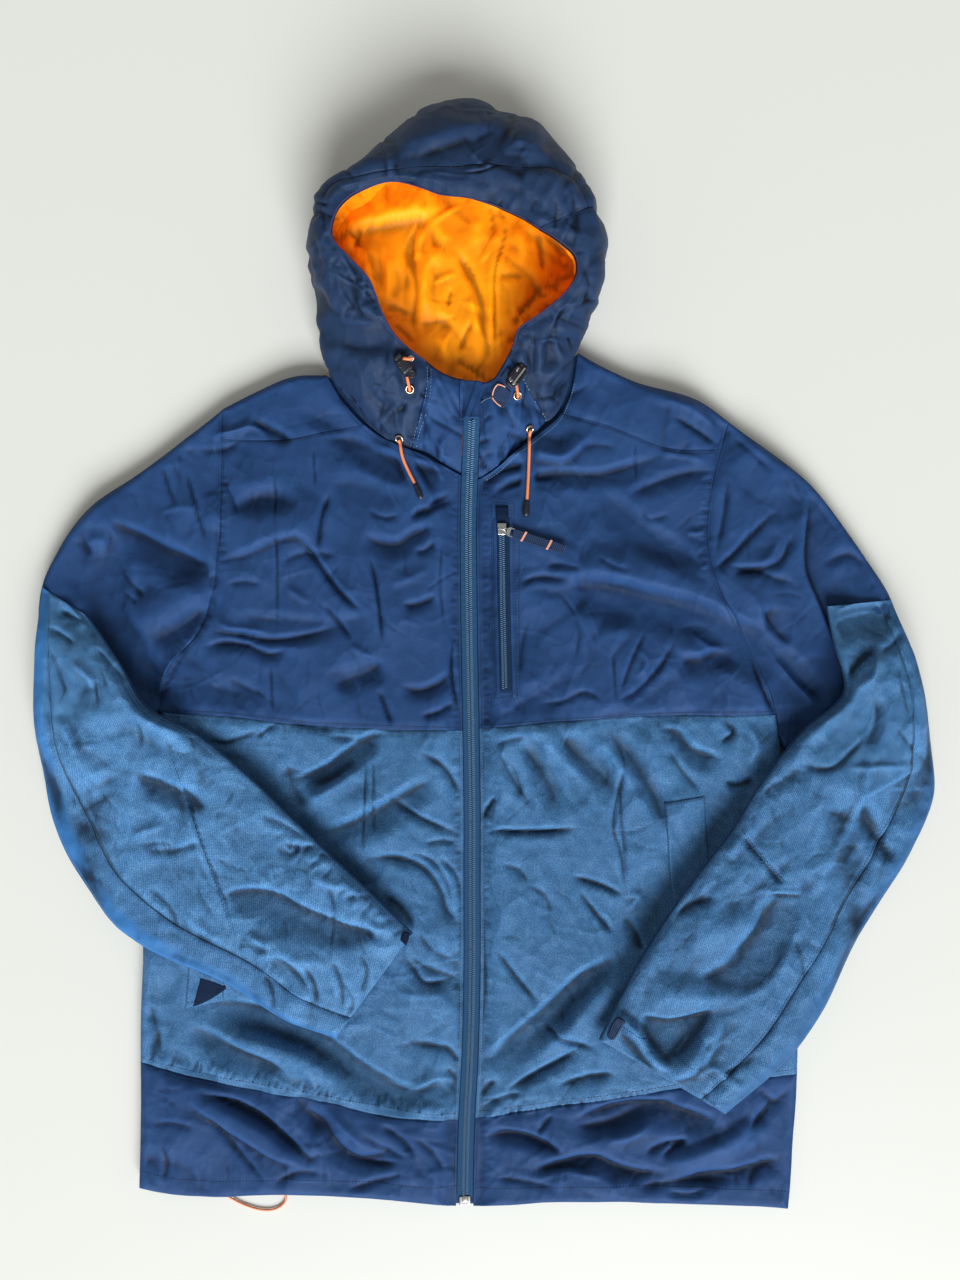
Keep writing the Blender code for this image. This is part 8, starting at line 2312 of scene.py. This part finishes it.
joined("chest_pull", [plate(superellipse(-0.75, 6.4, 2.9), superellipse(0.75, 4.9, 1.4), 1.2),
                      plate(superellipse(5.2, 13.4, 4.4, power=4.5), superellipse(8.4, 11.9, 3.2, power=4.5), 1.25)],
       SILVER, smooth=45, body=PULL, node="chest_pull", slot="zip_metal")

TAB_W, TAB_T = 9.5, 1.8
sa = np.unique(np.concatenate([np.linspace(11.0, 62.0, 60), [11.4, 61.6]]))
sb = np.linspace(-1, 1, 17)
A, B = np.meshgrid(sa, sb, indexing="ij")
narrow = 1 - 0.10 * (1 - ease((A - 11) / 5)) - 0.05 * (1 - ease((62 - A) / 1.2))
wave = 0.35 * np.sin(A / 7.0) * ease((A - 16) / 20)
thick = 0.5 * TAB_T * (0.35 + 0.65 * quarter(1 - np.abs(B), 0.22)) * (0.4 + 0.6 * quarter(np.minimum(A - 11, 62 - A), 1.0))
thick = thick + 0.35 * (np.exp(-((A - 22.5) / 1.6) ** 2) + np.exp(-((A - 47.0) / 1.6) ** 2)) * -0.5
D, S_, U = (np.array(v) for v in (pull_dir, pull_side, pull_up))
mid = np.array(axis) + A[..., None] * D + (B * narrow * TAB_W / 2)[..., None] * S_ + wave[..., None] * U
uv = np.stack([A, B * TAB_W / 2], 2)
tab = shell("chest_pull_tab", mid - thick[..., None] * U, mid + thick[..., None] * U, WEB, uv=uv, body=PULL, node="chest_pull_tab", slot="webbing")
sheet(tab, mid)
bars = []
for a, lean in ((21.5, 0.9), (46.5, 0.8)):
    for k in range(9):
        b0 = -4.4 + 8.8 * k / 8
        pts = [np.array(axis) + (a + lean * b0 / 4.4 + dx) * D + b0 * S_ + (0.95 + 0.30 * math.cos(1.2 * dx)) * U for dx in (-0.9, -0.5, 0, 0.5, 0.9)]
        bars.append(tube_mesh([tuple(q) for q in pts], 0.52, 8))
joined("tab_bar_tacks", bars, PALE_CORAL, smooth=60, body=PULL)
top_rows = []
verts, faces = [], []
for b0 in (-3.5, 3.5):
    for k in range(15):
        a = 15 + 3.1 * k
        if abs(a - 21.5) < 2.4 or abs(a - 46.5) < 2.4:
            continue
        pts = [np.array(axis) + (a + da) * D + b0 * S_ + (0.93 + up) * U for da, up in ((-1.0, 0), (-0.6, 0.12), (0.6, 0.12), (1.0, 0))]
        top_rows.append(tube_mesh([tuple(q) for q in pts], 0.22, 6))
joined("tab_stitches", top_rows, THREAD_BLUE, smooth=60, body=PULL)

# ---------------------------------------------------------------- hand pocket welts, cuff tab
WELTS = {"R": ((195, 235), (232, 242), (221, 393), (183, 387)), "L": ((-268, 193), (-232, 199), (-216, 346), (-252, 340))}
for s, quad in WELTS.items():
    g = patch_grid(quad, 25, 81, 0.0)
    d = to_edges(g)
    near = np.minimum(np.minimum(d["left"], d["right"]), np.minimum(d["low"], d["high"]))
    roll = d["left"] if s == "R" else d["right"]
    z = smoothed(LOWERS.grid(g), 3) + 0.25 + 1.2 * ease(1 - roll / 9) * ease(near / 1.5)
    limit = 22.6 + 14 * ease(np.minimum(off_loop(g.reshape(-1, 2), SLEEVE_LOOPS["L"]), off_loop(g.reshape(-1, 2), SLEEVE_LOOPS["R"])).reshape(z.shape) / 22)
    z = np.minimum(z, limit - 1.0)
    laid("pocket_welt_" + s, g, z, 0.95, HEATHER, rests=("front_lower_" + s,), node="pocket_welt_" + s, slot="heather_shell", edge=1.2)
    welt_top = Top("pocket_welt_" + s)
    a, b, c, e = (np.array(p, float) for p in quad)
    m = (a + b + c + e) / 4
    inset = [tuple(m + (p - m) * k) for p, k in ((a, 0.93), (b, 0.93), (c, 0.965), (e, 0.965))]
    q = [np.array(p) for p in inset]
    lines = [[tuple(q[i]), tuple((q[i] + q[(i + 1) % 4]) / 2), tuple(q[(i + 1) % 4])] for i in range(4)]
    dashes("welt_stitches_" + s, lines, welt_top, THREAD_BLUE, pitch=3.0, hidden=FORES)

cuff_mid, cuff_way = np.array([134.5, 182.0]), np.array([41.0, 79.0]) / 89.0
cross = np.array([cuff_way[1], -cuff_way[0]])
quad = [tuple(cuff_mid + cuff_way * a * 12 + cross * b * 4.5) for a, b in ((-1, -1), (-1, 1), (1, 1), (1, -1))]
g = patch_grid(quad, 17, 33, 0.30)
z = smoothed(FORES.grid(g), 6) + 0.2
laid("cuff_tab_R", g, z, 1.2, WEB, rests=("forearm_top_R",), node="cuff_tab_R", slot="webbing")
tab_top = Top("cuff_tab_R")
pts = []
for i in range(29):
    a = 2 * math.pi * i / 28
    q = cuff_mid + cuff_way * 10.4 * abs(math.cos(a)) ** 0.7 * np.sign(math.cos(a)) + cross * 3.3 * abs(math.sin(a)) ** 0.7 * np.sign(math.sin(a))
    pts.append((q[0], q[1], tab_top(q[0], q[1], float(z.mean()) + 1.2) + 0.05))
joined("cuff_tab_edge", [tube_mesh(pts, 0.4, 8)], THREAD_BLUE, smooth=60)

# ---------------------------------------------------------------- seam stitches


def off_curve(c, d, t0=0.0, t1=1.0, n=40):
    """Line beside a plan curve, d to the right of the way it runs."""
    t = np.linspace(t0, t1, n)
    p = np.array([np.asarray(c(k)).reshape(-1)[:2] for k in t])
    tan = np.gradient(p, axis=0)
    w = np.stack([tan[:, 1], -tan[:, 0]], 1) / np.maximum(np.linalg.norm(tan, axis=1), 1e-9)[:, None]
    return [tuple(q) for q in p + w * d]


for s, o in outline.items():
    sg = -1 if s == "L" else 1
    # channel along the hem, and heather's folded edge on the hem band
    dashes("hem_channel_" + s, [[tuple(p) for p in np.array(off_curve(o["hem_e"], 0)) + np.array([0, 17.5])]], LOWERS, THREAD_NAVY, pitch=3.1, hidden=FORES)
    dashes("band_stitches_" + s, [[tuple(p) for p in np.array(off_curve(o["band_e"], 0)) + np.array([0, 5.6])]], LOWERS, THREAD_NAVY, pitch=3.0, hidden=FORES)
    dashes("chest_seam_" + s, [[tuple(p) for p in np.array(off_curve(o["chest_e"], 0)) + np.array([0, 2.6])]], YOKES, THREAD_NAVY, pitch=3.0, hidden=FORES)
    y0, y1 = o["y_band"] + 3, o["y_chest"] - 3
    edge_line = lambda a, b, d: [(float(zip_x(y)) + sg * d, y) for y in np.arange(a, b, 12.0)]
    dashes("zip_stitches_lower_" + s, [edge_line(y0, y1, ZIP_HALF + 2.3)], LOWERS, THREAD_PALE, pitch=3.0, hidden=FORES)
    dashes("zip_stitches_hem_" + s, [edge_line(20, o["y_band"] - 2, ZIP_HALF + 2.3)], LOWERS, THREAD_NAVY, pitch=3.0)
    dashes("zip_stitches_yoke_" + s, [edge_line(o["y_chest"] + 3, 690, ZIP_HALF + 2.3)], YOKES, THREAD_NAVY, pitch=3.0)
    dashes("armhole_stitches_" + s, [off_curve(o["arm"], -2.4 * sg, 0.0, 0.95)], YOKES, THREAD_NAVY, pitch=3.0)
    dashes("shoulder_stitches_" + s, [[tuple(np.array(p) - np.array([0, 2.4])) for p in off_curve(o["seam"], 0, 0.03, 0.97)]], YOKES, THREAD_NAVY, pitch=3.0)
    dashes("neck_stitches_" + s, [[tuple(np.array(p) - np.array([0.0, 4.2])) for p in off_curve(o["neck"], 0, 0.05, 0.85)]], YOKES, THREAD_PALE if s == "R" else THREAD_NAVY, pitch=2.6, long=1.9)
    cut = sleeve_plan[s]([UNDER_FROM - 0.018], np.linspace(0.03, 0.97, 60))[:, 0]
    dashes("sleeve_stitches_" + s, [[tuple(p) for p in cut]], FORES, THREAD_BLUE, pitch=3.0)
    mouth = sleeve_plan[s](np.linspace(0.04, 0.76, 40), [0.952])[0]
    dashes("cuff_stitches_" + s, [[tuple(p) for p in mouth]], FORES, THREAD_BLUE, pitch=3.0)


def on_cloth(points, top, z=14.0, n=24):
    """Plan line on a surface from a line of the reference frame."""
    out = []
    for px, py in Curve(points)(np.linspace(0, 1, n)):
        h = z
        for _ in range(4):
            x, y = at(px, py, h)
            h = top(x, y, h)
        out.append((float(x), float(y)))
    return out


dashes("dart_stitches_L", [on_cloth([(171.5, 758), (183, 789), (200.7, 843), (216, 885), (232, 934)], FORES, 30)], FORES, THREAD_BLUE)
dashes("dart_stitches_R", [on_cloth([(741, 829), (764, 858), (789, 886)], FORES, 30)], FORES, THREAD_BLUE)
dashes("collar_stitches_L", [on_cloth(q, HOODS, 40) for q in ([(427, 366), (427, 384), (425.5, 397), (421.5, 415), (416.3, 429), (412, 446)],
                                                              [(431, 368), (431, 384), (429.5, 398), (425.5, 416), (420.3, 430), (416, 447)])], HOODS, THREAD_PALE)
dashes("collar_stitches_R", [on_cloth(q, HOODS, 40) for q in ([(519, 372), (529, 390), (539, 408), (547, 420)],)], HOODS, THREAD_PALE)
dashes("brim_stitches", [on_cloth(q, HOODS, 80) for q in ([(327, 197), (360, 183), (400, 172), (450, 166), (500, 164), (540, 172), (566, 186)],
                                                          [(333, 222), (336, 211), (350, 198), (375, 188), (405, 185), (440, 194), (470, 199), (500, 205), (530, 220), (556, 238), (573, 252)])],
       HOODS, THREAD_NAVY)
dashes("rim_stitches", [on_cloth(q, HOODS, 60) for q in ([(336, 245), (352, 266), (368, 292), (378, 318), (396, 340), (412, 355)],
                                                         [(580, 268), (570, 285), (548, 303), (530, 318), (520, 345), (512, 362)])], HOODS, THREAD_NAVY)
dashes("bag_stitches_L", [on_cloth([(365, 752), (365.5, 800), (364, 852)], LOWERS), on_cloth([(373, 753), (373, 800), (373, 826)], LOWERS)], LOWERS, THREAD_BLUE)
dashes("bag_stitches_R", [on_cloth([(619, 839), (622, 868), (627, 896)], LOWERS)], LOWERS, THREAD_BLUE)
dashes("chest_box_stitches", [on_cloth([(489, 507), (500, 508), (512, 511)], YOKES), on_cloth([(519, 545), (519, 620), (520, 697)], YOKES),
                              on_cloth([(480, 711), (500, 704), (519, 698)], YOKES)], YOKES, THREAD_NAVY)

# piping round the hood's opening
rim_b = np.arange(COLLAR_R_AT + 4, COLLAR_L_AT + 356.1, 2.0)
joined("rim_piping", [tube_mesh([tuple(hood_points(b, 0.004, 0.35)[0] + np.array([0, 0, 0.15])) for b in rim_b], 0.85, 8)], PIPING, smooth=60)

# mouth of the left hand pocket, open below the forearm: a thin dark sheet painted as the shade inside it
mouth = [np.array(on_cloth(line, LOWERS, 14, 25)) for line in ([(201, 977), (213, 981), (226, 986)], [(193, 1007), (199, 1005), (211, 999), (226, 989)])]
g = np.array([mouth[1] + (mouth[0] - mouth[1]) * q for q in np.linspace(0.02, 0.98, 13)])[..., :2]
z = Top("pocket_welt_L", "front_lower_L", "hem_band_L").grid(g) + 0.15
laid("pocket_mouth_painted_shade_L", g, z, 0.45, NAVY_DARK_AND_SHADE, rests=["front_lower_L"])
tip = [on_cloth([q, r], FORES, 30, 2) for q, r in (((404, 930), (411, 932)), ((400, 940), (407, 943)))]
g = patch_grid([tip[1][0], tip[1][1], tip[0][1], tip[0][0]], 9, 11, 0.1)
laid("cuff_tip_L", g, np.full(g.shape[:2], float(np.nanmax(FORES.grid(g)))) - 0.2, 0.8, NAVY_DARK_AND_SHADE, rests=["forearm_top_L"])
# TRIMS-END

# ---------------------------------------------------------------- floor, light, camera
floor = bpy.data.meshes.new("floor")
floor.from_pydata([(-3, -3, 0), (3, -3, 0), (3, 3, 0), (-3, 3, 0)], [], [(0, 1, 2, 3)])
floor_ob = bpy.data.objects.new("floor", floor)
bpy.context.scene.collection.objects.link(floor_ob)
m, t, b = nodes_of("floor_plain")
b.inputs["Base Color"].default_value = (0.74, 0.74, 0.70, 1)
b.inputs["Roughness"].default_value = 0.45
floor.materials.append(m)
floor_ob.location.z = -0.0005

scene = bpy.context.scene
world = bpy.data.worlds.new("soft_room")
world.use_nodes = True
world.node_tree.nodes["Background"].inputs["Color"].default_value = (1.0, 0.985, 0.93, 1)
world.node_tree.nodes["Background"].inputs["Strength"].default_value = 0.33
scene.world = world


def area_light(name, where, aim, size, power, colour=(1, 1, 1)):
    li = bpy.data.lights.new(name, "AREA")
    li.shape = "RECTANGLE"
    li.size, li.size_y = size
    li.energy = power
    li.color = colour
    ob = bpy.data.objects.new(name, li)
    scene.collection.objects.link(ob)
    ob.location = where
    ob.rotation_euler = (Vector(aim) - Vector(where)).to_track_quat("-Z", "Y").to_euler()
    return ob


area_light("window", (1.9, -11.4, 8.5), (0, 0, 0), (9.5, 7.5), 3260, (0.95, 0.985, 1.0))

cam = bpy.data.cameras.new("camera")
cam.sensor_width = 36.0
cam.lens = 36.0 * EYE[2] / (1280 * PX)
cam_ob = bpy.data.objects.new("camera", cam)
cam_ob.location = ((EYE[0] - CENTRE[0]) * MM, (EYE[1] - CENTRE[1]) * MM, EYE[2] * MM)
cam_ob.rotation_euler = (0, 0, 0)
scene.collection.objects.link(cam_ob)
scene.camera = cam_ob
scene.view_settings.view_transform = "Standard"
scene.view_settings.look = "None"
scene.view_settings.exposure = 0.0
